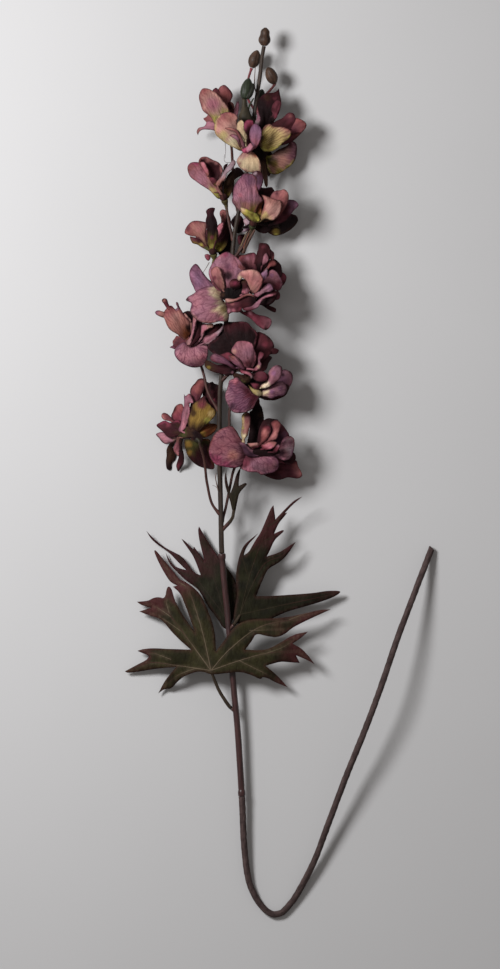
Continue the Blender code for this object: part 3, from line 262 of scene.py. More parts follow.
def curve_through(points, step):
    """Points a step apart on a smooth curve through the points given."""
    points = [unit(points[0] - points[1]) * 1e-3 + points[0]] + list(points)
    points.append(points[-1] + unit(points[-1] - points[-2]) * 1e-3)
    found = []
    for a, b, c, d in zip(points, points[1:], points[2:], points[3:]):
        runs = max(1, int(round(np.linalg.norm(c - b) / step)))
        for k in range(runs):
            t = k / runs
            found.append(
                0.5 * (2 * b + (c - a) * t + (2 * a - 5 * b + 4 * c - d) * t**2
                       + (3 * b - a - 3 * c + d) * t**3)
            )
    found.append(points[-2])
    return np.array(found)


def tangents(line, first=None, last=None):
    found = np.gradient(line, axis=0)
    found /= np.linalg.norm(found, axis=1)[:, None]
    if first is not None:
        found[0] = unit(first)
    if last is not None:
        found[-1] = unit(last)
    return found


def ring_axes(ways, level):
    """Two directions square to each point of a line: the first points up if the line is level, and
    otherwise turns as little as it can."""
    start = point(*UP) if abs(ways[0][2]) < 0.9 else point(1, 0, 0)
    normal = unit(start - ways[0] * start.dot(ways[0]))
    found = []
    for way in ways:
        normal = point(*UP) if level else normal
        normal = unit(normal - way * normal.dot(way))
        found.append((normal, np.cross(way, normal)))
    return np.array(found)


def lengths(line):
    return np.concatenate([[0], np.cumsum(np.linalg.norm(np.diff(line, axis=0), axis=1))])


def tube(line, radii, sides, colour, ways=None, level=False, slant=0.0, relief=None, seed=0):
    """A closed tube. relief gives each point's extra radius from its angle and its run."""
    line = np.asarray(line, float)
    ways = tangents(line) if ways is None else np.asarray(ways, float)
    axes = ring_axes(ways, level)
    run = lengths(line)
    angle = 2 * math.pi * (np.arange(sides) + 0.5) / sides
    runs, angles = np.meshgrid(run, angle, indexing="ij")
    radius = np.broadcast_to(np.asarray(radii, float).reshape(-1, 1), runs.shape)
    if relief is not None:
        radius = radius + relief(angles, runs)
    offset = radius[..., None] * (
        axes[:, None, 0] * np.cos(angles)[..., None] + axes[:, None, 1] * np.sin(angles)[..., None]
    )
    lean = (offset[-1] @ axes[-1, 1])[:, None]
    offset[-1] = offset[-1] + ways[-1] * slant * lean
    points = (line[:, None] + offset).reshape(-1, 3)
    count = len(line)
    faces = []
    for k in range(count - 1):
        for n in range(sides):
            a, b = k * sides + n, k * sides + (n + 1) % sides
            faces.append((a, b, b + sides, a + sides))
    last = (count - 1) * sides
    faces.append(tuple(range(sides))[::-1])
    faces.append(tuple(range(last, last + sides)))
    cloth = np.stack([angles * radius, runs, np.full(runs.shape, 7.0 * seed)], -1).reshape(-1, 3)
    if callable(colour):
        colour = colour(angles, runs).reshape(-1, 3)
    return patch(points, faces, colour, cloth)


# Sheets cut to an outline

NEEDLE = 1.1  # the widest corner, in radians, that a petal's outline keeps sharp
ROW_SHARE = 0.87  # rows of a mesh of even triangles, as a share of the distance along them
EDGE_CLEARANCE = 0.42  # how near the edge a point inside may lie, as a share of the spacing
UNDERSIDE_SHADE = 0.8


def segment_distance(starts, ends, x, y):
    """The distance from each plan place to the nearest of the segments."""
    run = ends - starts
    at = np.stack([x, y], -1)[:, None] - starts
    t = np.clip((at * run).sum(-1) / (run**2).sum(-1), 0, 1)
    return np.linalg.norm(at - t[..., None] * run, axis=-1).min(1)


def edge_distance(edge, x, y):
    return segment_distance(edge, np.roll(edge, -1, axis=0), x, y)


def line_distance(lines, x, y):
    lines = [np.array(line, float) for line in lines]
    return np.min([segment_distance(line[:-1], line[1:], x, y) for line in lines], axis=0)


def inside(edge, x, y):
    a, b = edge, np.roll(edge, -1, axis=0)
    crossing = (a[:, 1] > y[:, None]) != (b[:, 1] > y[:, None])
    rise = np.where(b[:, 1] == a[:, 1], 1, b[:, 1] - a[:, 1])
    left = x[:, None] < (b[:, 0] - a[:, 0]) * (y[:, None] - a[:, 1]) / rise + a[:, 0]
    return (crossing & left).sum(1) % 2 == 1


def corner_angles(edge):
    """The angle at each corner of an outline, from 0 for a needle to pi for a straight line."""
    before, after = np.roll(edge, 1, axis=0) - edge, np.roll(edge, -1, axis=0) - edge
    cosine = (before * after).sum(1) / np.linalg.norm(before, axis=1) / np.linalg.norm(after, axis=1)
    return np.arccos(np.clip(cosine, -1, 1))


def rounded(corners, step):
    """A closed outline run smoothly through its corners, with the needle-sharp ones kept."""
    corners = np.array(corners, float)
    ahead = np.roll(corners, -1, axis=0) - corners
    run = np.linalg.norm(ahead, axis=1)
    ways = ahead / run[:, None]
    share = (np.roll(run, 1) / (run + np.roll(run, 1)))[:, None]
    turn = np.roll(ways, 1, axis=0) * (1 - share) + ways * share
    sharp = corner_angles(corners) < NEEDLE
    found = []
    for k, here in enumerate(corners):
        after = (k + 1) % len(corners)
        first = ways[k] if sharp[k] else turn[k]
        last = ways[k] if sharp[after] else turn[after]
        parts = max(1, round(run[k] / step))
        for t in np.arange(parts) / parts:
            found.append((2 * t**3 - 3 * t**2 + 1) * here + (t**3 - 2 * t**2 + t) * run[k] * first
                         + (3 * t**2 - 2 * t**3) * corners[after] + (t**3 - t**2) * run[k] * last)
    return np.array(found)


def plan_mesh(edge, spacing):
    """Places and triangles that fill an outline in plan."""
    low, high = edge.min(0), edge.max(0)
    plan = []
    for k, y in enumerate(np.arange(low[1] + 0.4 * spacing, high[1], spacing * ROW_SHARE)):
        for x in np.arange(low[0] + 0.5 * spacing * (k % 2), high[0], spacing):
            plan.append((x, y))
    plan = np.array(plan).reshape(-1, 2)
    plan = plan[inside(edge, plan[:, 0], plan[:, 1])]
    plan = plan[edge_distance(edge, plan[:, 0], plan[:, 1]) > EDGE_CLEARANCE * spacing]
    given = [Vector(p) for p in edge.tolist() + plan.tolist()]
    ring = [(k, (k + 1) % len(edge)) for k in range(len(edge))]
    found = delaunay_2d_cdt(given, ring, [], 1, 1e-6)
    return np.array([tuple(p) for p in found[0]]), np.array([tuple(f) for f in found[2]])


def upward(middle, triangles):
    """The triangles all turned to face up, and the normal at each of their points."""
    a, b, c = (middle[triangles[:, k]] for k in range(3))
    square = np.cross(b - a, c - a)
    turned = square[:, 2] < 0
    triangles[turned] = triangles[turned][:, ::-1]
    square[turned] *= -1
    normals = np.zeros_like(middle)
    for k in range(3):
        np.add.at(normals, triangles[:, k], square)
    normals /= np.maximum(np.linalg.norm(normals, axis=1), 1e-9)[:, None]
    return [tuple(int(k) for k in f) for f in triangles], normals


def sheet_patch(edge, spacing, thick, height, paint, marks):
    """A thin closed sheet over an outline in plan. height and paint are worked out from each point's
    plan place and its distance from the edge; paint gives the colour and the cloth's own place."""
    places, triangles = plan_mesh(edge, spacing)
    x, y = places[:, 0], places[:, 1]
    gap = edge_distance(edge, x, y)
    middle = np.stack([x, y, height(x, y, gap)], -1)
    triangles, normals = upward(middle, triangles)
    count = len(places)
    faces = triangles + [tuple(k + count for k in f)[::-1] for f in triangles]
    borders = {}
    for f in triangles:
        for p, q in zip(f, f[1:] + f[:1]):
            if (q, p) in borders:
                del borders[(q, p)]
            else:
                borders[(p, q)] = True
    for p, q in borders:
        faces.append((q, p, p + count, q + count))
    colour, cloth = paint(x, y, gap)
    points = np.concatenate([middle + normals * thick / 2, middle - normals * thick / 2])
    colours = np.concatenate([colour, colour * UNDERSIDE_SHADE])
    return patch(points, faces, colours, np.concatenate([cloth] * 2), marks)


# Petals. A resting petal lies under its bloom; a cut petal follows its own outline in plan.

FORMS = {  # how wide the claw is, where the blade is widest, how blunt its tip is
    "round": (0.34, 0.60, 2.2),
    "strip": (0.50, 0.40, 3.0),
}
TIP_WIDTH = 0.12
RESTING_MARKS = (0.35, 0.0, 0.2)
RESTING_BEND = 1.5
RESTING_CUP = 0.15
ROW_LIMITS = (12, 40)
COLUMN_LIMITS = (4, 12)
RIM_CROWDING = 0.9  # how much closer the columns lie towards the rims, from 0 to 1
SETTLING_STEPS = 4


def arc(t):
    return 4 * t * (1 - t)


def outline(t, form):
    """The half width of a blade at t, from 0 at its root to 1 at its tip, with 1 the widest."""
    claw, widest, blunt = FORMS[form]
    rising = claw + (1 - claw) * np.sin(0.5 * math.pi * np.minimum(t / widest, 1))
    past = np.clip((t - widest) / (1 - widest), 0, 1)
    falling = (1 - past**blunt) ** (1 / blunt)
    return np.where(t < widest, rising, np.maximum(falling, TIP_WIDTH))


def petal(tip, width, dye, face=UP, layer=0, form="round", rests=False):
    """A resting petal: its tip and width, its dyes from root to tip, the way that it looks, its layer
    on the heart, and whether its lowest point is let down to the surface."""
    return dict(tip=tip, width=width, dye=dye, face=face, layer=layer, form=form, rests=rests)


def grid_of(root, shape, seed):
    """The middle surface of a resting petal with its ruffled edges and soft creases."""
    root, tip = point(*root), point(*shape["tip"])
    width = shape["width"]
    length = np.linalg.norm(tip - root)
    rows = int(np.clip(length / PETAL_SPACING, *ROW_LIMITS)) + 1
    columns = 2 * int(np.clip(width / (2 * PETAL_SPACING), *COLUMN_LIMITS)) + 1
    t = 1 - (1 - np.linspace(0, 1, rows)) ** 1.5
    quarter = math.pi / 2
    v = np.sin(np.linspace(-1, 1, columns) * quarter * RIM_CROWDING) / math.sin(quarter * RIM_CROWDING)
    t, v = np.meshgrid(t, v, indexing="ij")
    along = (tip - root) / length
    face = point(*shape["face"])
    face = unit(face - along * face.dot(along))
    across = np.cross(along, face)
    half = 0.5 * width * outline(t, shape["form"])
    open_part = smooth(0.15, 0.6, t)
    half = half * (1 + 0.05 * open_part * grain(4.5 * t, np.sign(v) * 3, seed))
    lift = RESTING_BEND * arc(t) + RESTING_CUP * half * v**2
    wave = min(0.075 * width, 1.3)
    waves = length / 7.5
    turn = np.where(v < 0, 0.0, 1.9) + seed
    lift = lift + wave * open_part * np.abs(v) ** 2.5 * np.sin(2 * math.pi * waves * t + turn)
    lift = lift + 0.8 * wave * smooth(0.7, 1, t) * np.sin(3.3 * v * width / 9 + 1.7 * seed)
    lift = lift + 0.045 * width * open_part * grain(half * v / 4.2, length * t / 5.5, seed)
    lift = lift - 0.28 * open_part * np.exp(-((v * half / 0.8) ** 2)) * (width > 5)
    lift = lift + 0.10 * open_part * grain(half * v / 1.3, length * t / 6.0, seed + 3)
    reach = length * t * (1 + 0.03 * smooth(0.6, 1, t) * grain(2.4 * v, 0.5, seed))
    grid = root + reach[..., None] * along + (half * v)[..., None] * across + lift[..., None] * face
    return grid, t, v, half, length


def normals_of(grid):
    normals = np.cross(np.gradient(grid, axis=1), np.gradient(grid, axis=0))
    return normals / np.maximum(np.linalg.norm(normals, axis=2), 1e-9)[..., None]


def slab_faces(rows, columns):
    """Faces of a thin closed slab between two grids."""
    under = rows * columns
    faces = []
    for i in range(rows - 1):
        for j in range(columns - 1):
            a = i * columns + j
            b, c, d = a + 1, a + columns + 1, a + columns
            faces.append((a, b, c, d))
            faces.append((under + d, under + c, under + b, under + a))
    edge = [i * columns for i in range(rows)]
    edge += [(rows - 1) * columns + j for j in range(1, columns)]
    edge += [i * columns + columns - 1 for i in range(rows - 2, -1, -1)]
    edge += list(range(columns - 2, 0, -1))
    for p, q in zip(edge, edge[1:] + edge[:1]):
        faces.append((p, q, under + q, under + p))
    return faces


def print_of(shape, t, v, half, length, seed):
    """The colours of a resting petal at each of its points: its dyes, darker at the very tip."""
    soft = 0.16 * grain(half * v / 2.2, length * t / 9, seed + 5)
    fine = grain(half * v / 0.9, length * t / 11, seed + 9)
    colour = dyed(shape["dye"], t, soft, fine)
    colour = blend(colour, colour * 0.6, 0.35 * smooth(0.93, 1.0, t))
    streaks = 1 + 0.16 * fine + 0.12 * grain(half * v / 4, length * t / 7, seed + 1)
    return uneven(colour, streaks, 0.07 * grain(half * v / 5, length * t / 5, seed + 4))


def petal_patch(root, shape, seed):
    shape = dict(shape)
    grid, t, v, half, length = grid_of(root, shape, seed)
    for _ in range(SETTLING_STEPS if shape["rests"] else 0):
        x, y, z = shape["tip"]
        shape["tip"] = (x, y, z + LOWEST_FABRIC - grid[..., 2].min())
        grid, t, v, half, length = grid_of(root, shape, seed)
    grid[..., 2] = np.maximum(grid[..., 2], LOWEST_FABRIC)
    offset = normals_of(grid) * FABRIC_THICK / 2
    points = np.concatenate([side.reshape(-1, 3) for side in (grid + offset, grid - offset)])
    colour = print_of(shape, t, v, half, length, seed)
    cloth = np.stack([half * v, length * t, np.full(t.shape, 3.7 * seed)], -1)
    both = [np.concatenate([part.reshape(-1, 3)] * 2) for part in (colour, cloth)]
    return patch(points, slab_faces(*t.shape), *both, RESTING_MARKS)


def cut(edge, root, tip, z, dye, rims=(None, None), dabs=(), dome=1.2, curl=-0.4, ruffle=0.8,
        marks=(0.35, 0.0, 0.2)):
    """A petal given by its outline in plan, the plan points of its root and its tip, and its heights
    at the root, the middle and the tip. dome lifts its middle, curl its edge, and ruffle waves the
    edge. The dyes run from root to tip, the rims are those of its left and right edge, pale rims
    partly painted highlight and dark ones partly painted shade, each dab is a soft spot of dye with
    its place in plan, its radius and its name, a few of them painted highlight and shade, and marks
    are the strengths of its veins, stripes and speckles."""
    return dict(edge=edge, root=root, tip=tip, z=z, dye=dye, rims=rims, dabs=dabs, dome=dome,
                curl=curl, ruffle=ruffle, marks=marks)


def cut_patch(shape, seed):
    root, tip = point(*shape["root"]), point(*shape["tip"])
    length = np.linalg.norm(tip - root)
    along = (tip - root) / length
    across = point(along[1], -along[0])
    first, middle, last = shape["z"]

    def place(x, y):
        """The run from the root, its share of the length, the way off the middle, and the same way
        measured along an arc, so that pleats fan out from the root."""
        away = np.stack([x, y], -1) - root
        run, side = away @ along, away @ across
        fan = np.arctan2(side, np.maximum(run + 0.5 * length, 0.25 * length)) * length
        return run, np.clip(run / length, -0.1, 1.1), side, fan

    def height(x, y, gap):
        run, t, side, fan = place(x, y)
        z = first * (1 - t) * (1 - 2 * t) + 4 * middle * t * (1 - t) + last * t * (2 * t - 1)
        z = z + DOME_SHARE * shape["dome"] * smooth(0, DOME_RISE, gap)
        roll = shape["curl"] + shape["ruffle"] * grain(x / RUFFLE_SIZE, y / RUFFLE_SIZE, seed)
        z = z + roll * np.exp(-((gap / CURL_WIDTH) ** 2))
        second = grain(x / SECOND_RUFFLE_SIZE, y / SECOND_RUFFLE_SIZE, seed + 8)
        z = z + 0.5 * shape["ruffle"] * np.exp(-gap / SECOND_RUFFLE_WIDTH) * second
        z = z + PLEAT_DEPTH * grain(fan / PLEAT_WIDTH, run / PLEAT_LENGTH, seed + 1) * smooth(0, 2, gap)
        z = z + SWELL_DEPTH * grain(x / SWELL_SIZE, y / SWELL_SIZE, seed + 2)
        return np.maximum(z, LOWEST_FABRIC)

    def paint(x, y, gap):
        run, t, side, fan = place(x, y)
        soft = 0.14 * grain(fan / 2.4, run / 9, seed + 5)
        fine = grain(fan / 0.9, run / 11, seed + 9)
        colour = dyed(shape["dye"], t, soft, fine)
        # Rims: a colour along the left and right edge, partly the print; pale rims are partly painted
        # highlight where an edge catches the light, dark ones partly painted shade where it turns down.
        near = 0.85 * smooth(1.6, 0.2, gap + 0.7 * grain(x / 2.5, y / 2.5, seed + 3))
        right = smooth(-0.8, 0.8, side)
        for name, here in zip(shape["rims"], (1 - right, right)):
            if name:
                colour = blend(colour, linear(DYES_AND_PAINTED_LIGHT[name]), near * here)
        for dab_x, dab_y, radius, name in shape["dabs"]:
            away = np.hypot(x - dab_x, y - dab_y) + 0.4 * grain(x / 1.3, y / 1.3, seed + 6)
            colour = blend(colour, linear(DYES_AND_PAINTED_LIGHT[name]), 0.9 * smooth(1.15 * radius, 0.3 * radius, away))
        # The last term darkens a band along the edge, and the next line turns the outermost half millimetre
        # dark maroon: partly the darker cut edge of the cloth, partly painted shade where petals overlap.
        streaks = 1 + 0.14 * fine + 0.12 * grain(x / 4, y / 4, seed + 7) - 0.12 * smooth(0.7, 0.1, gap)
        colour = blend(colour, linear(DYES_AND_PAINTED_LIGHT["maroon"]), 0.6 * smooth(0.5, 0.0, gap))
        cloth = np.stack([fan, run, np.full(len(x), 3.7 * seed)], -1)
        return uneven(colour, streaks, 0.07 * grain(x / 5, y / 5, seed + 4)), cloth

    edge = rounded(shape["edge"], PETAL_SPACING)
    return sheet_patch(edge, PETAL_SPACING, FABRIC_THICK, height, paint, shape["marks"])


def claw_patches(bloom, shape, seed):
    """The narrow foot of a cut petal, from the bloom's heart to the petal's root, unless it is short."""
    start = point(*bloom["seat"]) + unit(bloom["facing"]) * CLAW_HEIGHT
    end = point(*shape["root"], shape["z"][0])
    if np.linalg.norm(end - start) < SHORTEST_CLAW:
        return []
    stations = 7
    line = start + (end - start) * np.linspace(0, 1, stations)[:, None]
    tint = linear(DYES_AND_PAINTED_LIGHT[shape["dye"][0]]) * 0.7
    return [tube(line, np.linspace(0.7, 0.5, stations), 8, tint, seed=seed)]


# Blooms, from the tip of the spike down. The stalk runs from a point on the stem's line, given by its
# y, through the points listed, to the seat, and the bloom opens the way that it faces.

BLOOMS = {
    "bloom_01": dict(
        seat=(-32.5, 207.5, 17), facing=(-0.35, 0.88, 0.3),
        stalk=(158, [(-28.5, 168, 11), (-29, 184, 8.5), (-29.7, 197, 11)]),
        petals=[
            petal((-43, 219, 1), 12, rests=True, dye=("olive", "brick", "brick")),
            cut([(-38.5, 229.5), (-36.2, 233.6), (-34.5, 234.4), (-31.1, 232), (-29, 228), (-30.2, 224.2),
                 (-31, 213), (-35, 211), (-37.5, 222)], (-33.5, 211), (-34, 234), (18, 17, 15),
                ("maroon", "brick", "brick"), rims=(None, "wine")),
            cut([(-41.7, 229.7), (-40.5, 231.8), (-39.2, 232.6), (-36.5, 229.5), (-36, 220), (-38, 220)],
                (-37, 221), (-40, 232), (17, 17, 16), ("wine", "brick", "wine")),
            cut([(-32.6, 222.8), (-30.2, 224.2), (-28.6, 223), (-28.8, 217), (-30.2, 210), (-33, 209)],
                (-32, 210), (-30, 224), (17, 17, 18), ("dark", "maroon", "maroon"), rims=(None, "clay")),
            cut([(-29.4, 215.8), (-28.8, 218.2), (-27.8, 220.9), (-26.5, 223.7), (-25.5, 224.6),
                 (-25.1, 222), (-25.5, 218), (-27.5, 213), (-30, 209), (-32, 209)],
                (-31, 210), (-25.6, 224), (18, 19, 20), ("dark", "maroon", "maroon"), rims=(None, "mauve")),
            cut([(-50, 204.5), (-50.6, 206.6), (-49.8, 208.5), (-45.8, 209.8), (-44, 212.8), (-40.8, 212.2),
                 (-35, 208.5), (-37, 206.4), (-42.2, 207.4), (-48.4, 207), (-49.4, 206)],
                (-36, 208), (-50, 205), (18, 15, 12), ("wine", "mauve", "clay")),
            cut([(-49.1, 226), (-48.4, 229.2), (-46.8, 231.3), (-44.9, 231.4), (-39.8, 229.2), (-35.2, 224.6),
                 (-31.5, 219.1), (-31.2, 215), (-34.5, 208.5), (-38.5, 209), (-42.2, 214.5), (-46.8, 218.2),
                 (-48.2, 222)], (-36, 210), (-45, 231), (19, 26, 27), ("lime", "tan", "brick"),
                rims=("brick", None), dabs=[(-41, 222, 5, "rosy"), (-35, 214, 3, "straw"),
                                            (-32.5, 218, 2, "straw")],
                marks=(0.3, 0.3, 0.2)),
        ],
    ),
    "bloom_02": dict(
        seat=(-20, 191.5, 25), facing=(-0.05, 0.4, 0.91),
        stalk=(184, [(-20.2, 188.5, 22.6)]),
        petals=[
            cut([(-22.1, 210.3), (-20.9, 211.7), (-16.8, 211.5), (-16.3, 209.5), (-17, 204), (-17.5, 197),
                 (-19, 194), (-22, 194), (-24, 200), (-24, 207)], (-20, 195), (-19, 211.5), (30, 32, 33),
                ("maroon", "maroon", "claret")),
            cut([(-39.8, 208.5), (-38.2, 213.5), (-33.8, 216.2), (-30.2, 216.3), (-26, 213.5), (-26.5, 210.3),
                 (-24.5, 204), (-22.3, 198.8), (-21.6, 195.1), (-23.7, 193.9), (-28.3, 195.5), (-34.3, 198.8),
                 (-39.2, 203.4)], (-22.5, 195), (-36, 214), (30, 38, 36), ("straw", "tan", "brick"),
                rims=("straw", None), dabs=[(-34.5, 202.5, 3.6, "straw"), (-28.5, 198, 4, "cream"),
                                            (-31, 213, 3, "clay"), (-37, 206, 2, "tan")],
                marks=(0.25, 0.15, 0.2)),
            cut([(-30.9, 202.4), (-29.2, 203.1), (-26, 202), (-24, 198), (-22.6, 194.8), (-24, 195),
                 (-26.8, 199.6), (-29.8, 201.6)], (-23.5, 195.3), (-30.5, 202.5), (36, 40, 40),
                ("clay", "mauve", "brick")),
            cut([(-33.8, 206.6), (-30.2, 206.9), (-25.8, 204.8), (-22.9, 199.7), (-20.8, 194.8), (-22.4, 195),
                 (-25, 200.3), (-28.2, 204.7), (-32.5, 205.6)], (-21.8, 195.3), (-33, 206.2), (37, 42, 42),
                ("mauve", "brick", "clay")),
            cut([(-25.5, 210.3), (-23.7, 211.4), (-22.8, 210.8), (-22.1, 206.2), (-20.2, 201.1),
                 (-21.4, 198.3), (-23.7, 201), (-26.5, 206.2)], (-21.3, 199.5), (-24, 211), (38, 41, 42),
                ("cream", "buff", "buff")),
            cut([(-18.9, 203.9), (-17.7, 207.5), (-15.9, 209.2), (-14, 208.7), (-11.6, 204.8), (-12, 201),
                 (-13.8, 196.9), (-15.5, 194.9), (-17.4, 197.4), (-18.6, 200.5)], (-15.9, 195.6),
                (-15.6, 209), (35, 39, 42), ("rosy", "lilac", "violet"), rims=("lilac", None)),
            cut([(-23.7, 193.9), (-22.8, 192.3), (-20, 192.1), (-18.2, 193.2), (-16.6, 195.5), (-18.2, 197.9),
                 (-20.5, 195.6)], (-21.5, 193), (-17.4, 196.5), (38, 38.6, 39), ("rose", "blush", "blush")),
            cut([(-24.2, 191.4), (-26.5, 186.8), (-26, 185.4), (-21.9, 181.7), (-17.2, 180.8), (-12.2, 181.2),
                 (-12.4, 186.3), (-14.5, 190.5), (-17, 193), (-22, 193.5)], (-19.6, 192.8), (-18.5, 180.8),
                (31, 34, 30), ("tan", "buff", "buff"), rims=("clay", "tan"),
                dabs=[(-15.5, 191, 2.2, "rust"), (-25, 186, 1.6, "clay")], marks=(0.3, 0.1, 0.3)),
        ],
    ),
    "bloom_03": dict(
        seat=(-14, 199, 14), facing=(0.75, 0.3, 0.55),
        stalk=(186, [(-19, 192, 15.5), (-17, 196, 12.3)]),
        petals=[
            petal((-7.5, 181, 1), 11, rests=True, dye=("dark", "maroon", "umber")),
            petal((-8.6, 173.5, 9), 3, form="strip", dye=("umber", "umber", "umber")),
            # Two near-black petals in the deep hollow between blooms 02 and 03: petals lying in shadow, with
            # the shade painted in.
            cut([(-19, 197), (-12, 199), (-8, 196), (-11, 189), (-16, 189.5)], (-12, 198), (-17, 190),
                (17, 17, 18), ("dark", "dark", "umber")),
            cut([(-14.5, 196), (-10, 197), (-5, 193), (-6, 184), (-8.5, 180.5), (-11.5, 180), (-13.5, 184)],
                (-12.5, 196), (-10, 180), (13, 10, 6), ("dark", "umber", "umber")),
            cut([(4.5, 206), (9, 206.8), (13, 206.3), (9.5, 202.5), (7.9, 201.1), (0, 198), (-10, 198)],
                (-9, 199), (13, 205.5), (14, 16, 17), ("maroon", "wine", "brick")),
            cut([(8.4, 214.3), (10.4, 214), (15.3, 210.3), (13.2, 206.2), (6, 204.5), (-8, 199), (-6, 203),
                 (3, 209)], (-8, 200), (15, 210), (15, 18, 19), ("dark", "wine", "brick")),
            cut([(-4.1, 211.7), (1.2, 214.5), (4.9, 217.5), (7.2, 217.2), (8.8, 213.5), (7, 208), (0, 204),
                 (-9, 199), (-10, 204)], (-9, 201), (6.5, 217), (16, 19, 19), ("dark", "maroon", "wine"),
                dabs=[(5.5, 215.2, 1.8, "brick")]),
            cut([(-14.2, 219.5), (-14.5, 222.8), (-9.9, 228.8), (-2.9, 230.4), (-1.3, 232.2), (-0.4, 227.4),
                 (0.1, 224.6), (-0.9, 218.2), (-4.1, 212.2), (-8, 203), (-12, 200), (-13, 206)],
                (-11.5, 201), (-5, 230), (17, 19, 17), ("dark", "dark", "maroon"), rims=(None, "maroon"),
                dabs=[(-8, 226.5, 2.4, "umber"), (-3.5, 226, 1.6, "wine")], marks=(0.4, 0.2, 0.2)),
            cut([(-4.5, 223), (-2, 225), (0, 224), (-0.4, 220), (-1.2, 217.5), (-4.3, 212.5), (-6.5, 212),
                 (-6, 217)], (-6, 212.5), (-1.5, 224.5), (19, 20.5, 20), ("dark", "wine", "wine"),
                dabs=[(-5, 219, 1.8, "maroon"), (-3, 215.5, 1.6, "crimson")]),
            cut([(-14.2, 220.9), (-13.6, 218.2), (-12.3, 213), (-12.9, 210.3), (-14, 208.5), (-15.7, 210.3),
                 (-15.3, 212.2), (-14.5, 214), (-14.7, 217.7)], (-14.2, 209), (-14.2, 220.5), (25, 25, 25),
                ("silver", "mauve", "brick")),
            cut([(-7, 192), (-2.5, 195), (4, 198.4), (6.3, 200.9), (8.4, 200.2), (9.5, 194.2), (7.7, 188.2),
                 (3.1, 184), (-4.3, 180.6), (-6.2, 181.2), (-8.5, 186), (-10.5, 193)], (-10, 193), (7, 190),
                (13, 15, 12), ("moss", "tan", "mauve"), rims=("maroon", "lime"),
                dabs=[(-4, 187, 3, "olive"), (-1, 182.3, 3.4, "lime"), (4, 185.2, 1.8, "lime"),
                      (1, 197, 3, "maroon"), (5, 198.5, 2.6, "wine")], marks=(0.3, 0.3, 0.3)),
            cut([(-11.9, 205.7), (-9.4, 209.2), (-7.1, 210.1), (-3.9, 208.5), (1.7, 208), (6.1, 205.2),
                 (5.4, 202.5), (1.2, 198.8), (-2.9, 195.1), (-5.7, 193.9), (-10.8, 194.6), (-12.8, 198),
                 (-12.6, 202)], (-12, 196.5), (5.5, 204.5), (20, 27, 28), ("olive", "straw", "tan"),
                rims=("brick", "lime"), dabs=[(-5, 195, 2.6, "lime"), (1.5, 199.5, 2.2, "straw"),
                                              (-11.2, 202, 2.2, "umber")],
                marks=(0.3, 0.6, 0.3)),
        ],
    ),
    "bloom_04": dict(
        seat=(-34, 165, 20), facing=(-0.3, 0.88, 0.35),
        stalk=(140, [(-30.5, 148, 22), (-32.2, 157, 21)]),
        petals=[
            petal((-41, 181, 1), 8, rests=True, dye=("olive", "umber", "brick")),
            # The back of a petal that lies in shade; its umber and near-black are partly painted shade.
            cut([(-38.5, 172.4), (-35.1, 174.8), (-31.3, 181), (-28.9, 183.4), (-26.5, 184.9), (-21.2, 181),
                 (-25.5, 179.1), (-27.9, 177.2), (-28.9, 171.4), (-33.2, 165.2), (-37, 165.7), (-38, 168.6)],
                (-36, 166.5), (-23, 182), (19, 16, 13), ("olive", "umber", "dark"),
                dabs=[(-36, 170, 3, "olive")]),
            cut([(-55.8, 185.4), (-54.8, 186.8), (-49.5, 187.5), (-46.5, 186.3), (-45.5, 183), (-41.5, 178.2),
                 (-38.5, 172), (-36.5, 168), (-37, 165.9), (-42.8, 170.5), (-50, 175.3), (-54.8, 179.6)],
                (-37, 166.6), (-55, 184.5), (21, 22, 20), ("lime", "mauve", "brick"), rims=(None, "claret"),
                dabs=[(-51, 187, 2.2, "claret"), (-41, 171, 2.4, "straw"),
                      (-53, 181, 2.4, "heather")], marks=(0.5, 0.2, 0.3)),
            # A deep cup: its dark inside is partly the maroon dye and partly painted shade.
            cut([(-49.3, 187.8), (-48.1, 189.7), (-45.7, 190.3), (-40.9, 188.5), (-36.6, 186.3),
                 (-34.9, 183), (-36.1, 178.2), (-36, 170), (-39, 169), (-43.8, 178.2), (-46.4, 182.5)],
                (-37, 170), (-42, 190), (20, 22, 27), ("dark", "maroon", "maroon"),
                rims=("salmon", "salmon"), dome=-2, curl=1.6, dabs=[(-44, 188.6, 1.8, "salmon"),
                                                                    (-39, 187.3, 1.6, "salmon")]),
            cut([(-34.6, 183.4), (-34.2, 185.4), (-31.8, 186.6), (-32.2, 184.9), (-35, 180)], (-34.5, 181),
                (-32, 186.5), (24, 25, 26), ("dark", "dark", "dark")),
            cut([(-43, 177.6), (-41.4, 178.2), (-39.6, 177.6), (-38, 176.4), (-37, 173), (-39.5, 173),
                 (-42.4, 176.2)], (-38, 173.5), (-41.4, 178), (24, 26, 26), ("olive", "wine", "crimson")),
            cut([(-47.8, 187.3), (-46.6, 187.3), (-44, 183.4), (-43, 181), (-43.8, 177.6), (-45.2, 180.1),
                 (-46.4, 182.5)], (-44, 178.5), (-47, 187), (25, 28, 28), ("salmon", "rosy", "blush")),
            cut([(-39, 173.4), (-35.6, 179.1), (-33.2, 183.4), (-29.8, 187.3), (-28.4, 188.7), (-27.3, 187.2),
                 (-29.8, 182.5), (-32.5, 180.1), (-33.2, 177.2), (-35.6, 175), (-38, 172.6)], (-38.2, 173),
                (-28.2, 188), (25, 28, 28), ("clay", "silver", "silver"), marks=(0.2, 0.2, 0.3)),
        ],
    ),
    "bloom_05": dict(
        seat=(-17, 149.5, 25.5), facing=(0.15, 0.75, 0.64),
        stalk=(128, [(-23.5, 136, 25), (-19.5, 144, 23.8)]),
        petals=[
            petal((8, 153, 1), 10, face=(0.1, 0.2, 1), rests=True, dye=("dark", "umber", "umber")),
            cut([(-5.8, 151.8), (1.8, 156.6), (7.6, 157), (9.5, 156.1), (10.3, 154.2), (7.6, 149.4),
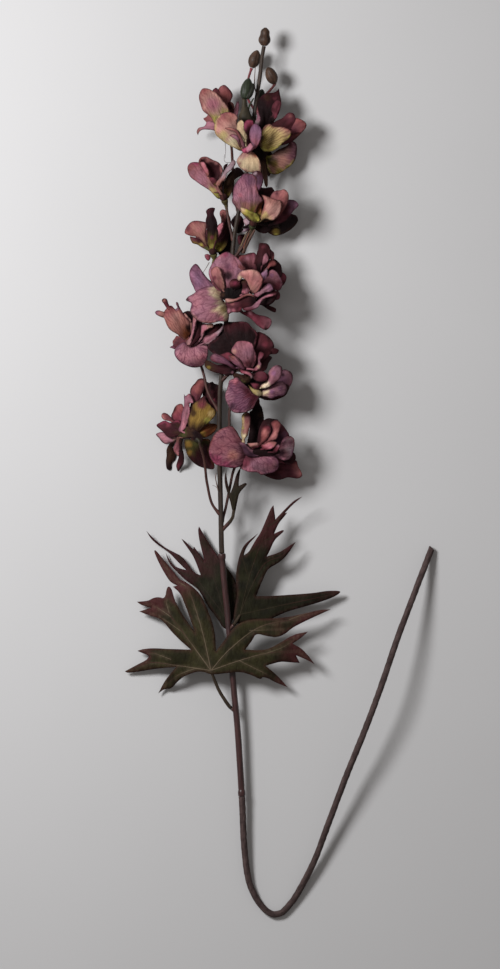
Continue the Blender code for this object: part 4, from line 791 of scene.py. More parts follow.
                 (2.3, 145.5), (-4.4, 143.8), (-7, 145), (-11, 149)], (-10, 149.5), (9.5, 154),
                (20, 13, 6), ("umber", "dark", "dark"), rims=("maroon", "umber"),
                dabs=[(-3, 146, 2.6, "olive"), (-3, 144.3, 1.3, "lime")]),
            cut([(4.7, 165.2), (9, 164.2), (10.5, 162.2), (7.6, 158.5), (2, 152), (-8, 149), (-6, 153)],
                (-8, 150.5), (9.5, 164), (22, 22, 21), ("dark", "wine", "lilac"),
                dabs=[(2, 158, 3.2, "maroon"), (7.5, 162.4, 2.4, "lilac")]),
            # A dark petal between the stalks, its darkness partly painted shade.
            cut([(-30.1, 152.2), (-28.9, 154.2), (-27, 156.1), (-24.1, 155.6), (-22.2, 150.8),
                 (-24.1, 145.5), (-25.5, 145), (-28.9, 148.9)], (-23, 148), (-29, 154), (20, 18, 17),
                ("dark", "maroon", "dark")),
            cut([(-22.6, 153.2), (-20.2, 154.6), (-18.1, 150.8), (-18.1, 148.9), (-19.8, 146.5),
                 (-23.6, 145.5), (-21.4, 149)], (-18.5, 149), (-22.4, 146), (21, 20.5, 20),
                ("silver", "plum", "silver"), rims=("plum", "silver")),
            cut([(-25.5, 144), (-22, 144.5), (-20.2, 143.6), (-21, 141), (-25.5, 138)], (-21, 143.5),
                (-25, 138.5), (16, 15, 14), ("maroon", "wine", "dark")),
            cut([(-18.5, 150.5), (-12, 154), (-6, 153), (-6.5, 147), (-9, 145), (-14, 146), (-17, 149)],
                (-16, 150), (-7, 147), (20, 21, 20), ("umber", "dark", "dark")),
            cut([(-14, 173), (-10.2, 171.9), (-5.4, 172.2), (-3.7, 168.1), (-4.4, 165), (-11, 155),
                 (-15, 152), (-15, 164)], (-13.5, 153), (-8, 172.3), (24, 26, 24),
                ("umber", "dark", "maroon")),
            cut([(-3.2, 170), (-0.1, 170.4), (1.4, 171), (4.2, 168.6), (4.5, 166.2), (2.8, 160.4),
                 (-2, 154), (-11, 151), (-9, 158)], (-10, 152.5), (2, 170.5), (26, 29, 28),
                ("umber", "brick", "salmon"), dabs=[(-2.5, 168.5, 1.8, "wine")]),
            cut([(-15.9, 158.5), (-11.8, 166.5), (-10.2, 165), (-11.6, 160), (-12, 153), (-14.5, 152)],
                (-13.5, 153), (-11.5, 166), (28, 31, 31), ("olive", "rust", "wine")),
            cut([(-12.1, 167.6), (-7.8, 166.2), (-3, 164.5), (-0.5, 164), (0.2, 160.4), (-2.5, 154.2),
                 (-4.9, 152.2), (-9.2, 153.2), (-13.5, 150.5), (-11.5, 157), (-10, 163)], (-12, 152),
                (-2, 164), (29, 33, 32), ("straw", "tan", "clay"), rims=("brick", None),
                dabs=[(-9.5, 155.5, 2.2, "straw")], marks=(0.3, 0.2, 0.3)),
            cut([(-25, 176.7), (-27.9, 172.4), (-28.9, 166.2), (-29.4, 163.8), (-26.5, 159.4), (-24, 157),
                 (-18, 152), (-15.5, 156), (-13, 161.8), (-11.1, 163.3), (-13.5, 168.1), (-14.5, 173.4),
                 (-14.6, 177.5), (-17.4, 179.6), (-22.2, 179.6)], (-18, 153.5), (-20, 179.3), (29, 36, 36),
                ("olive", "mauve", "grape"), rims=("grape", "brick"),
                dabs=[(-21, 161, 3, "clay"), (-24.5, 167, 1.6, "rosy")], marks=(0.5, 0.35, 0.3)),
            # A dark domed petal; the small silver dab on it is a painted highlight.
            cut([(-17.4, 179.8), (-14, 181.5), (-12.1, 180.6), (-10.6, 176.2), (-11.1, 173.4),
                 (-14, 168), (-14.9, 172), (-14.7, 177)], (-14.3, 170), (-13.5, 181), (36, 38, 37),
                ("grape", "plum", "maroon"), dabs=[(-15.5, 179.6, 1, "silver")]),
            cut([(-24.1, 159.9), (-22.2, 159.4), (-18.8, 157.8), (-15, 156.4), (-13, 154.8), (-13, 151.8),
                 (-15.9, 151.2), (-19.8, 154), (-23.6, 156.6)], (-15.5, 152.5), (-23.8, 159), (31, 34, 34),
                ("lime", "lime", "buff"), dome=0.6,
                dabs=[(-17.5, 155.6, 1.3, "olive"), (-14.7, 153, 1.4, "lemon"), (-20.5, 158, 1.4, "lemon"),
                      (-16.2, 152, 0.8, "olive")]),
        ],
    ),
    "bloom_06": dict(
        seat=(-40.5, 132.5, 19), facing=(-0.2, 0.93, 0.3),
        stalk=(108, [(-38, 112, 17), (-40.5, 120.5, 14.5), (-40.8, 127, 15.5)]),
        petals=[
            petal((-49, 146, 1), 11, rests=True, dye=("moss", "wine", "brick")),
            cut([(-45.8, 132.3), (-43.1, 132.5), (-42.2, 130.5), (-43.8, 128.6), (-45.2, 130)],
                (-42.6, 131.2), (-45.6, 132), (17, 16.5, 16), ("wine", "crimson", "mauve")),
            cut([(-36.8, 156.6), (-36.6, 158.5), (-35.1, 159.7), (-33.2, 159), (-32.6, 156), (-33.2, 152),
                 (-35, 145), (-38, 136), (-39.5, 138), (-36.2, 150), (-36, 154)], (-38.5, 138), (-35, 159.4),
                (15, 14, 14), ("maroon", "wine", "salmon")),
            cut([(-36, 152), (-33.5, 158), (-31, 156), (-30, 150), (-29, 140), (-30, 133), (-37, 132.5),
                 (-38, 138)], (-37, 134), (-33, 157), (12, 12, 12), ("dark", "dark", "maroon")),
            cut([(-54.8, 143.6), (-49.5, 142), (-45.7, 138.6), (-41, 135.5), (-41.5, 133.5), (-45.7, 136.2),
                 (-50.5, 138.6), (-52.9, 139.3), (-54.3, 141.4)], (-41.5, 134.5), (-54.5, 142.6),
                (18, 15, 13), ("olive", "maroon", "wine"), rims=("olive", "wine"),
                dabs=[(-48, 137.9, 1.6, "lime")]),
            cut([(-57.4, 144.6), (-55.3, 150.3), (-53.4, 151.8), (-47.6, 151.9), (-44.6, 151), (-44.7, 147),
                 (-45.2, 141.7), (-42, 134.5), (-45.7, 138.3), (-49.5, 142.2), (-54.8, 143.4)],
                (-42.5, 135.5), (-56, 149), (20, 25, 24), ("straw", "clay", "brick"), rims=("brick", "wine"),
                dabs=[(-49, 147.5, 2.6, "salmon"), (-55.5, 147.5, 2.2, "wine")], marks=(0.3, 0.2, 0.2)),
            cut([(-39, 140.7), (-36.6, 143.1), (-34.6, 147.4), (-34.2, 150.8), (-32.2, 150.8),
                 (-31.3, 143.6), (-33.7, 136.4), (-36.1, 134.3), (-40, 134)], (-38.5, 135), (-33, 150.5),
                (18, 15, 12), ("olive", "maroon", "umber"), dabs=[(-37, 138, 2, "olive"),
                                                                  (-37, 135.6, 1.1, "lemon")]),
            cut([(-44.7, 149.4), (-45.2, 152.2), (-44.4, 155.6), (-45, 158), (-43.8, 159.4), (-41.4, 160.2),
                 (-39.7, 159.9), (-40.3, 156.6), (-38.5, 152.2), (-37.9, 147), (-38.5, 140), (-39.5, 134),
                 (-42.4, 134.2), (-44, 141.2)], (-41, 134.5), (-42, 159.5), (20, 26, 24),
                ("olive", "dark", "maroon"),
                dabs=[(-41, 136.8, 2.2, "lime"), (-41.5, 142.5, 1.4, "crimson")], marks=(0.3, 0.4, 0.2)),
            cut([(-38, 149.4), (-36.1, 150.8), (-34.4, 151.3), (-34.6, 148.9), (-36.6, 143.6),
                 (-39.4, 139.5), (-38.8, 143.1)], (-39, 140.5), (-35, 151), (24, 25, 25),
                ("wine", "rosy", "blush")),
        ],
    ),
    "bloom_07": dict(
        seat=(-30.5, 105, 29.5), facing=(-0.05, 0.05, 1),
        stalk=(97, [(-31.4, 102, 26.8)]),
        petals=[
            cut([(-10.8, 104.2), (-7.5, 105.3), (-2.5, 106.9), (-3.2, 105.1), (-5.2, 102.8), (-7.3, 101.5),
                 (-2.9, 98.9), (-3.2, 97.6), (-7, 98.6), (-11.7, 101.5), (-20, 101), (-28, 103)],
                (-27, 103.2), (-3.5, 104), (31, 29, 27), ("dark", "dark", "maroon")),
            cut([(-22.3, 97.5), (-20, 98.6), (-14, 95.9), (-8, 94.5), (-5.9, 93.1), (-6.4, 89), (-8.9, 86.9),
                 (-13.5, 88.9), (-18.2, 93.5), (-24, 96.8), (-27, 99.6),
                 (-25, 100.6)], (-25.6, 99.6), (-7.5, 89), (31, 30, 27),
                ("wine", "crimson", "heather"), dabs=[(-18.5, 97.3, 1.6, "blush"), (-9, 87.4, 1.6, "dark")],
                marks=(0.4, 0.1, 0.4)),
            cut([(-32.1, 133.1), (-37.1, 130.7), (-41, 126.3), (-43.3, 121), (-42, 116), (-35, 108),
                 (-27, 107), (-24, 116), (-22, 121), (-21.4, 123), (-23.7, 126.8), (-27.9, 130.5)],
                (-31, 109), (-32.3, 132.6), (33, 37, 36), ("maroon", "mauve", "mauve"),
                rims=("rosy", "mauve"), dabs=[(-33, 131.5, 2.4, "claret"), (-31.5, 119, 3.6, "black"),
                                              (-31.5, 124, 3, "grape")], marks=(0.5, 0.1, 0.7)),
            cut([(-30.2, 132.1), (-25.5, 128.8), (-21.9, 124), (-21.2, 122.6), (-23, 121.4), (-25.1, 119.6),
                 (-25.6, 124), (-28, 129)], (-24, 121), (-30, 131.8), (37, 38.4, 37.4),
                ("brick", "mauve", "rosy")),
            cut([(-50.9, 125.9), (-54.6, 121.7), (-54.4, 117.1), (-52.5, 112.5), (-50, 108), (-35, 105),
                 (-38.9, 112.8), (-44.5, 118), (-47.2, 121.7)], (-37, 107), (-50.9, 125.4), (31, 34, 37),
                ("tan", "lilac", "lilac"), rims=("grape", "maroon"), marks=(0.5, 0.1, 0.4)),
            cut([(-42.6, 112.8), (-38.5, 112.5), (-35.8, 110.2), (-35.6, 106), (-32.7, 101.9),
                 (-32.2, 99.1), (-31.2, 95), (-32.5, 91.9), (-37.1, 91.6), (-41.7, 90.5), (-48.2, 91.5),
                 (-52.1, 94.2), (-54.2, 98.2), (-53.6, 102.6), (-56.8, 104.7), (-56, 106), (-52.5, 108.1),
                 (-49, 110.6)], (-33.5, 103), (-53.5, 98), (32, 37, 33), ("cream", "mauve", "pinkish"),
                rims=("clay", "grape"), dabs=[(-37, 109.5, 2.8, "sand"), (-34.5, 99, 2.6, "straw"),
                                              (-36, 93, 2.5, "rosy"), (-56, 105, 1.4, "maroon")],
                dome=1.8, marks=(0.7, 0.05, 0.4)),
            cut([(-35.8, 109.5), (-34, 114), (-31, 118), (-26, 118), (-22, 115), (-20, 109), (-22, 105),
                 (-27, 103.5), (-33, 104), (-35.9, 106)], (-30, 106), (-26, 116), (34.5, 34.5, 35),
                ("black", "black", "black"), dabs=[(-35, 107.5, 1.6, "umber")]),
            cut([(-40.3, 123.8), (-38, 124.2), (-36.6, 123.1), (-35.2, 118.9), (-33.7, 113.8),
                 (-34.2, 109.6), (-36.2, 110.6), (-38.9, 113.4), (-41.2, 118), (-41.9, 122)],
                (-34.9, 110.5), (-39, 124), (35, 40, 41), ("clay", "salmon", "salmon"),
                rims=("brick", "tan"), dabs=[(-39.8, 117.5, 1.5, "crimson")], marks=(0.3, 0.15, 0.3)),
            cut([(-11.2, 106), (-6.6, 107.8), (-2.6, 108.1), (-5.2, 106.6), (-9.5, 105.3), (-12.2, 102.8),
                 (-13.1, 100.5), (-15.4, 98.9), (-22.3, 98.4), (-24, 100.5), (-18, 100.5), (-14.9, 103)],
                (-23, 99.8), (-3.5, 107.8), (37, 40, 39), ("wine", "mauve", "rosy")),
            cut([(-33.4, 104.4), (-27.4, 104.8), (-21.9, 107.3), (-19.5, 108), (-17, 107.3), (-14.8, 104),
                 (-18, 99.8), (-23.5, 99), (-24.6, 97.2), (-29.2, 97), (-31.4, 96), (-32.5, 100.5)],
                (-31, 103), (-16, 105.5), (36, 38, 38.5), ("wine", "maroon", "dark"),
                dabs=[(-28.5, 98, 1.7, "rosy"), (-31, 97.8, 1.6, "pinkish"), (-24.5, 99, 1.4, "crimson"),
                      (-29, 102, 1.4, "brick")]),
            cut([(-33.4, 104.6), (-27.4, 105), (-21.9, 107.5), (-19.5, 108.2), (-17, 107.5), (-15.3, 105.6),
                 (-16.8, 106.2), (-19.4, 106.8), (-22, 106), (-27, 103.7), (-32.9, 103.3)], (-33, 104),
                (-16, 106), (37.5, 40, 39.5), ("tan", "brick", "clay"), dome=0.3),
            cut([(-10.3, 112.5), (-7.5, 114.3), (-5.7, 113.4), (-4.8, 110.2), (-9.9, 108.6), (-14, 106),
                 (-17.5, 105.5), (-16, 108), (-12, 110.5)], (-17, 106.5), (-6.5, 113), (36, 38, 37),
                ("crimson", "pinkish", "lilac"), dabs=[(-5.6, 109.8, 1.2, "dark")]),
            cut([(-9.4, 109.6), (-5, 110.4), (-2, 109), (-2.6, 106.8), (-5, 103.6), (-11, 101.5),
                 (-15, 104)], (-13, 105.8), (-3, 109), (35, 36, 35), ("dark", "dark", "maroon")),
            cut([(-30.9, 114.6), (-28.3, 116.9), (-25.5, 116.2), (-24.2, 113.4), (-25.5, 110.6),
                 (-29.5, 110.8)], (-27.5, 111), (-28, 116.5), (36.5, 39, 39), ("dark", "wine", "maroon"),
                dabs=[(-27.5, 114, 1.4, "claret")]),
            cut([(-25.1, 120.3), (-20, 122.2), (-14.5, 121.7), (-11, 117.5), (-11.9, 112.5), (-16, 108.1),
                 (-18.6, 108.6), (-19.4, 112), (-21, 116), (-23.2, 117.2), (-25.4, 115.4), (-26.2, 117.5)],
                (-18.5, 110), (-14, 121), (37, 41, 42), ("clay", "salmon", "peach"), rims=("tan", "brick"),
                dabs=[(-18, 109.3, 1.3, "umber"), (-24.4, 117.5, 1.4, "buff")], marks=(0.3, 0.1, 0.3)),
            cut([(-23.6, 116.8), (-21.6, 116.6), (-19.6, 112.4), (-18.4, 109.4), (-20.5, 107.9),
                 (-23.4, 107.6), (-23, 112)], (-20.5, 108.5), (-22.6, 116.5), (37, 38.5, 38),
                ("rosy", "maroon", "umber"), dabs=[(-20.3, 110.2, 1.5, "mauve"), (-23, 108, 1.2, "dark")]),
        ],
    ),
    "bloom_08": dict(
        seat=(-19, 117, 18), facing=(0.62, 0.55, 0.5),
        stalk=(104, [(-25, 110.5, 21), (-21, 115, 17.8)]),
        petals=[
            petal((-3, 112, 1), 13, rests=True, dye=("maroon", "wine", "wine")),
            cut([(1.7, 121.4), (3.2, 119.4), (2.9, 116.5), (1.8, 114.6), (-2, 112), (-12, 115), (-8, 121),
                 (-2, 122)], (-11, 116.5), (3, 119), (19, 17, 14), ("maroon", "wine", "crimson"),
                dabs=[(1.8, 115.6, 1.3, "maroon")]),
            cut([(-4.3, 129.9), (-2, 128.4), (0, 125.8), (0.5, 123), (0, 119), (-8, 117), (-15, 118),
                 (-9, 126)], (-14, 119), (-0.5, 126), (20, 19, 16), ("dark", "dark", "maroon")),
            cut([(-4.5, 109.5), (-1.8, 110.4), (-0.6, 108.5), (-1.4, 105.5), (-3.2, 105)], (-4, 108),
                (-1, 107), (20, 19, 18), ("maroon", "wine", "crimson")),
            cut([(-26.9, 131.9), (-22.8, 131.8), (-18.2, 133.2), (-15.9, 133.2), (-14, 130), (-11.5, 123.5),
                 (-14, 119), (-20, 118), (-23.5, 125)], (-18, 119), (-20, 133), (20, 24, 22),
                ("crimson", "heather", "crimson"), rims=("brick", "maroon"),
                dabs=[(-14, 126.5, 2.8, "maroon"), (-20.5, 129.5, 1.8, "mauve")], marks=(0.3, 0.1, 0.3)),
            cut([(-14.6, 132.5), (-13.5, 136), (-12.9, 138.9), (-10.8, 139.1), (-8, 138.4), (-6.6, 136),
                 (-6.4, 131), (-9, 124), (-14, 119), (-16, 124)], (-14.5, 120), (-10, 138.8), (22, 26, 22),
                ("dark", "maroon", "maroon"), dabs=[(-13, 125, 3, "dark"), (-10.5, 136.5, 1.6, "wine")]),
            cut([(-10.6, 130.9), (-8.9, 132.8), (-7.5, 130), (-7.8, 127.8), (-10.6, 125.4), (-12, 121),
                 (-13, 122), (-11.4, 126.6), (-11, 128.8)], (-12.4, 121.8), (-9, 132.4), (24, 27, 27),
                ("maroon", "mauve", "pinkish")),
            cut([(-7.6, 137.8), (-5.6, 134.6), (-4.4, 133.4), (-4.1, 130.5), (-5, 128.4), (-6.6, 129.1),
                 (-7.2, 131.5), (-6.6, 134.6)], (-5.4, 128.8), (-7.4, 137.4), (24, 22, 19),
                ("brick", "heather", "crimson")),
            cut([(-7.5, 128.2), (-5.2, 128.7), (-3.2, 127.9), (-2.6, 126.3), (-3.9, 124.9), (-5.9, 124.8),
                 (-10, 121), (-11.5, 121.5), (-8, 125.5)], (-10.5, 121.8), (-3.6, 127.6), (23, 25.5, 25),
                ("wine", "brick", "brick")),
            cut([(-7.6, 121.7), (-5.2, 122.9), (-2.9, 121.7), (-1.1, 119.4), (0.1, 117.1), (0.8, 114),
                 (-0.4, 111.2), (-2, 110.2), (-4, 111), (-7, 114), (-13, 116), (-12, 119)], (-12, 117.5),
                (-0.6, 112), (24, 28, 26), ("maroon", "heather", "crimson"), rims=("mauve", "wine"),
                dabs=[(-5.5, 119.5, 1.8, "grape")], marks=(0.4, 0.1, 0.4)),
            cut([(-11.8, 120.8), (-9.9, 122.2), (-8.2, 124.5), (-8, 121.7), (-9.2, 116), (-10.6, 114),
                 (-13, 114), (-12.6, 117)], (-12.2, 115), (-8.6, 124), (25, 28, 28),
                ("dark", "lilac", "silver")),
        ],
    ),
    "bloom_09": dict(
        seat=(-52, 75, 17), facing=(-0.4, 0.5, 0.77),
        stalk=(38, [(-43.5, 49, 18.5), (-46.3, 60, 15), (-49.3, 70, 14.2)]),
        petals=[
            petal((-62, 84, 1), 13, rests=True, dye=("moss", "wine", "brick")),
            cut([(-58.6, 97.5), (-55, 98.4), (-52, 96.5), (-49, 92), (-44, 90), (-42, 84), (-46, 78),
                 (-54, 78), (-57, 82), (-56, 90)], (-51, 79), (-52, 97), (19, 21, 20),
                ("dark", "dark", "dark"), dabs=[(-55.5, 97.5, 1.6, "maroon")]),
            cut([(-70.3, 102.6), (-71.4, 104.3), (-70.5, 105.6), (-68.8, 105.5), (-67.2, 101.9),
                 (-64.5, 99), (-66.5, 98.5)], (-65.8, 99.4), (-70, 105.2), (26, 27, 27),
                ("brick", "wine", "maroon"), dabs=[(-69.8, 104.3, 0.9, "clay")]),
            cut([(-69.9, 94.2), (-72.9, 95.1), (-74.8, 96.2), (-75.4, 97.5), (-73.7, 98.5), (-71.5, 98),
                 (-68, 96.5), (-67.5, 94.5)], (-68.4, 95.4), (-75, 97.4), (25.5, 26.5, 26),
                ("brick", "clay", "grape")),
            cut([(-63.1, 99.2), (-62, 100.3), (-62.8, 102), (-62.8, 103.5), (-62, 103.4), (-61.2, 101.4),
                 (-59.5, 98), (-58, 94), (-60.5, 95)], (-60, 95.5), (-62.4, 103.2), (26, 27, 26.6),
                ("brick", "mauve", "mauve"), rims=(None, "maroon")),
            cut([(-56.5, 80.9), (-62, 84.2), (-66.9, 87.5), (-69.6, 92.9), (-70.6, 96.5), (-69.6, 98.4),
                 (-65.8, 101.4), (-62.8, 99), (-60.9, 99.6), (-58.2, 96.2), (-54.4, 91.8), (-53.3, 89.6),
                 (-53.9, 86), (-55.4, 82)], (-56, 82), (-66, 100), (21, 27, 26),
                ("rust", "clay", "brick"), rims=("clay", "wine"),
                dabs=[(-55.3, 88.3, 2.4, "dark"), (-57.5, 84, 1.8, "rust")], marks=(0.35, 0.4, 0.3)),
            cut([(-58.3, 96.4), (-55.4, 93.2), (-53.8, 90.6), (-53.6, 91.8), (-55.8, 95), (-57.8, 96.8)],
                (-53.8, 91), (-58, 96.5), (28, 28.5, 28), ("clay", "tan", "tan"), dome=0.2),
            cut([(-50.3, 91.8), (-47.3, 91.3), (-47.3, 87.5), (-47.8, 83.6), (-49.4, 81.4), (-52.2, 78.2),
                 (-54.9, 77.1), (-53.3, 80.4), (-51.5, 86)], (-53.8, 78), (-48.8, 91.5), (26, 28, 27),
                ("maroon", "maroon", "dark")),
            cut([(-52.7, 95.6), (-50.5, 93.5), (-51.1, 90.2), (-52.7, 83.1), (-55.2, 77.4), (-56.8, 78.4),
                 (-56.8, 79.9), (-54.8, 82), (-53.3, 86.4), (-52.9, 91)], (-55.8, 78.6), (-51.8, 95),
                (26, 30.5, 31), ("shell", "salmon", "salmon"), rims=("wine", "blush"), dome=0.6),
            cut([(-46.6, 86.6), (-42, 88.8), (-38, 90.6), (-35, 90.6), (-36, 87), (-40, 83.5), (-43, 82.3),
                 (-46, 82.8)], (-45, 83.5), (-36, 90), (27, 28, 28), ("dark", "maroon", "dark")),
            cut([(-47.4, 89.5), (-45, 90), (-40.6, 90), (-40.4, 89), (-43.5, 87.3), (-45.8, 85.6),
                 (-46.6, 83), (-47.2, 81.4), (-47.9, 82.5), (-47.8, 86)], (-47.4, 82.2), (-42.5, 89.7),
                (28, 30.5, 30), ("pinkish", "rosy", "sand"), rims=("mauve", "shell"), dome=0.4),
            cut([(-46.4, 82.5), (-41.8, 84.2), (-39.1, 85.5), (-36.4, 87.5), (-34.6, 90.1), (-34.4, 88.9),
                 (-37.4, 83.6), (-39.6, 81.2), (-43.4, 78.4), (-46, 78), (-47, 80)], (-45.5, 79.2),
                (-35, 89.4), (27, 30, 30), ("mauve", "pinkish", "pinkish"), rims=("maroon", "silver")),
            cut([(-54.9, 76.8), (-51.6, 77.9), (-47.5, 81.4), (-45.9, 83.4), (-44.5, 81.4), (-43.7, 76),
                 (-44, 71.1), (-46.2, 66.2), (-51.6, 64.5), (-58.2, 66.4), (-61.2, 68.4), (-63.9, 73.3),
                 (-63.6, 75.2), (-61.4, 77.9), (-57.4, 79.5), (-56, 78)], (-54.5, 77.8), (-52.5, 64.8),
                (22, 25.5, 22), ("pinkish", "pinkish", "mauve"), rims=("mauve", "grape"),
                dabs=[(-46.5, 80, 2.2, "pinkish"), (-46, 71, 2.4, "rosy")], dome=1.8,
                marks=(1.0, 0.05, 0.2)),
            cut([(-61.4, 74.8), (-66.7, 76.5), (-65.8, 77.2), (-61.4, 76.6), (-58, 76.5), (-58.5, 75)],
                (-59.5, 75.8), (-66.5, 76.8), (21.5, 22, 21.5), ("wine", "wine", "grape"), dome=0.3),
        ],
    ),
    "bloom_10": dict(
        seat=(-24, 63.5, 29.5), facing=(0.1, 0.2, 0.97),
        stalk=(56, [(-31, 60.3, 25), (-25.3, 62.9, 26.3)]),
        petals=[
            cut([(-45.1, 68.4), (-38.5, 66), (-28.7, 66.5), (-24, 65), (-27.6, 62), (-28.7, 60.2),
                 (-36.4, 60.7), (-44, 63.4), (-45.6, 65)], (-27, 64), (-44.5, 66), (28, 28, 26),
                ("dark", "maroon", "umber"), dabs=[(-43.4, 64.4, 1.5, "olive"), (-29, 61.3, 1.3, "mauve"),
                                                   (-43.8, 67.3, 1.5, "umber")]),
            cut([(-16, 80), (-14.5, 85.3), (-8, 83.1), (-5.8, 80.9), (-4.2, 77), (-5.5, 73.5), (-11, 68),
                 (-20, 62), (-22, 66), (-19, 73)], (-20.5, 64), (-6.5, 81), (29, 31, 27),
                ("dark", "maroon", "wine"), rims=("maroon", "maroon"), dabs=[(-9.5, 78, 2.4, "crimson")]),
            cut([(-12.4, 70), (-9, 71.8), (-5.5, 70.5), (-7.5, 67), (-9, 63), (-14, 61), (-20, 62)],
                (-19, 63), (-6, 70), (30, 29, 25), ("dark", "maroon", "maroon")),
            cut([(-43.7, 76), (-42.9, 78.7), (-39.6, 80.9), (-36.9, 84.2), (-34.7, 88.5), (-30, 88),
                 (-27, 82), (-24, 70), (-25, 64), (-32, 68), (-41, 73)], (-27, 66), (-37, 84), (30, 31, 29),
                ("dark", "dark", "dark"), rims=("maroon", None)),
            cut([(-34.2, 91), (-28.2, 91.5), (-22.7, 91.8), (-20, 91), (-17.3, 88), (-14.5, 85.3),
                 (-15, 79), (-19, 70), (-24, 65), (-27, 70), (-31, 80), (-34, 86)], (-24, 67), (-25, 91),
                (31, 32, 29), ("dark", "dark", "maroon"), rims=("dark", "wine")),
            cut([(-10.9, 72.9), (-7.4, 74.6), (-3.6, 75.9), (-1.4, 74.6), (-2, 73), (-6.9, 71.9),
                 (-9.5, 70), (-14, 66), (-18, 65), (-14, 70)], (-17, 66), (-2, 75), (31, 30.5, 28.5),
                ("wine", "maroon", "maroon"), dome=0.4),
            cut([(-36.5, 71.7), (-30.9, 73), (-28.8, 71.6), (-27, 67), (-31, 68), (-34, 70)], (-28, 68.5),
                (-35, 72), (35, 36, 35.5), ("wine", "crimson", "wine")),
            cut([(-42.4, 70), (-39.9, 72.6), (-36.9, 71.6), (-34.2, 70.5), (-29.3, 66.2), (-25, 62.5),
                 (-28, 63), (-32.5, 65.6), (-39.6, 67.3), (-41.8, 68.4)], (-27, 64), (-41.5, 70.6),
                (33, 36, 35), ("grape", "grape", "mauve"), rims=("wine", "plum"), marks=(0.3, 0.3, 0.3)),
            cut([(-31.8, 71.2), (-27.6, 71.1), (-24.9, 68.9), (-22.2, 65.6), (-20.2, 62.7), (-22.2, 62.7),
                 (-25.4, 64.5), (-29.5, 67.4)], (-21.6, 63.4), (-31, 71), (34, 37, 38),
                ("wine", "mauve", "clay"), rims=("grape", "maroon"), marks=(0.2, 0.4, 0.2)),
            cut([(-26.5, 79.3), (-23.3, 79.9), (-19.4, 79.3), (-17.3, 78.2), (-16.2, 75.4), (-14.8, 70.5),
                 (-15.1, 67.8), (-18.9, 62.7), (-21.1, 64), (-24.4, 68.9), (-27.1, 70.8), (-29.8, 74),
                 (-28.2, 77.1)], (-19, 63.6), (-22.5, 79.5), (34, 40, 41), ("maroon", "mauve", "mauve"),
                rims=("rosy", "rosy"), dabs=[(-20, 67, 2, "wine"), (-28, 73.5, 2, "tan"),
                                             (-20.1, 70, 0.6, "dark")], marks=(0.4, 0.2, 0.5)),
            cut([(-24.6, 63), (-21.1, 62), (-17.8, 60.5), (-16.6, 58.8), (-17.8, 57.3), (-18.6, 58.9),
                 (-21.1, 60.2), (-24, 60.8)], (-23.8, 62), (-17.3, 58), (34, 37, 36),
                ("crimson", "rosy", "silver"), dome=0.4),
            cut([(-24.8, 59.3), (-21, 60), (-17.8, 58.6), (-18.6, 55.8), (-21.5, 54.6), (-24.4, 56.4)],
                (-20.5, 58.5), (-22, 55), (33, 34.5, 34), ("umber", "umber", "moss"), ruffle=1.4,
                marks=(0.8, 0, 0.9)),
            cut([(-16.4, 59.6), (-14.1, 61.5), (-10.6, 61.7), (-8.1, 59.6), (-8.4, 56.9), (-11.3, 55.6),
                 (-14.5, 56.2), (-16.4, 57.6)], (-15.8, 59.5), (-9, 57.6), (36, 38.5, 37),
                ("maroon", "wine", "crimson"), dome=1.6),
            cut([(-12.6, 73.4), (-10, 71.9), (-10.9, 70.3), (-12.7, 68.2), (-11.7, 65.8), (-12.8, 63.2),
                 (-17.4, 61.6), (-15.6, 64.2), (-14, 66), (-13.8, 70)], (-16, 62.8), (-11.6, 72.8),
                (36, 40, 40), ("rosy", "mauve", "crimson"), rims=("wine", None),
                dabs=[(-13.4, 64.6, 1.3, "sand")], dome=0.6),
        ],
    ),
    "bloom_11": dict(
        seat=(-20.5, 50, 20.5), facing=(0.62, 0.1, 0.78),
        stalk=(8, [(-32.3, 18, 18.5), (-31, 30, 18.5), (-30.5, 41, 18.5), (-25.5, 48, 17.3)]),
        petals=[
            petal((-4, 52, 1), 13, rests=True, dye=("dark", "maroon", "crimson")),
            cut([(-14.1, 47.5), (-13, 45.4), (-12.8, 43), (-11.4, 40.3), (-10.6, 37), (-10.5, 33),
                 (-12, 31), (-17.8, 31), (-18.6, 35.7), (-17.4, 38.9), (-17, 46)], (-15.5, 47), (-14, 31.5),
                (20, 17, 13), ("maroon", "dark", "dark"), dabs=[(-13, 36, 2.2, "umber")]),
            cut([(2, 63.4), (3.9, 62.9), (6.2, 61.5), (7.1, 58), (6.2, 54.6), (5, 52.6), (0, 50),
                 (-12, 49), (-10, 54), (-2, 61)], (-11, 51), (6.5, 58), (21, 21, 18),
                ("maroon", "grape", "mauve"), rims=("maroon", "mauve"), dabs=[(0.8, 60, 1.6, "dark")]),
            cut([(-30, 62), (-22, 60), (-12, 62), (-6, 58), (-6, 53), (-13, 50), (-20, 50),
                 (-27, 56)], (-18, 51), (-20, 61), (27, 28, 28), ("dark", "dark", "umber")),
            cut([(-13, 47.3), (-9.1, 45.8), (-5.4, 44.6), (0.2, 46.3), (2.9, 47.9), (4.4, 50.9),
                 (5, 52.4), (-6, 54), (-14, 50)], (-13, 49), (3.5, 50), (24, 26, 24),
                ("dark", "maroon", "maroon")),
            cut([(-12.8, 47.7), (-11.6, 49.7), (-5.8, 53.2), (0.2, 56), (1.6, 55.5), (3.2, 50.5),
                 (2, 48.1), (-3.1, 46.8), (-5.4, 45.6), (-9.1, 46.8), (-11.4, 47.1)], (-12, 48.4),
                (2.5, 51), (31, 32, 29), ("cream", "mauve", "mauve"), rims=("grape", "grape"),
                dabs=[(-5.5, 49.5, 1.8, "violet"), (-0.6, 51.5, 2, "grape")], marks=(0.7, 0.2, 0.2)),
            cut([(-28.9, 57.4), (-26.6, 58.3), (-23.8, 55.7), (-19.2, 51.8), (-16.5, 48.6), (-12.8, 46.5),
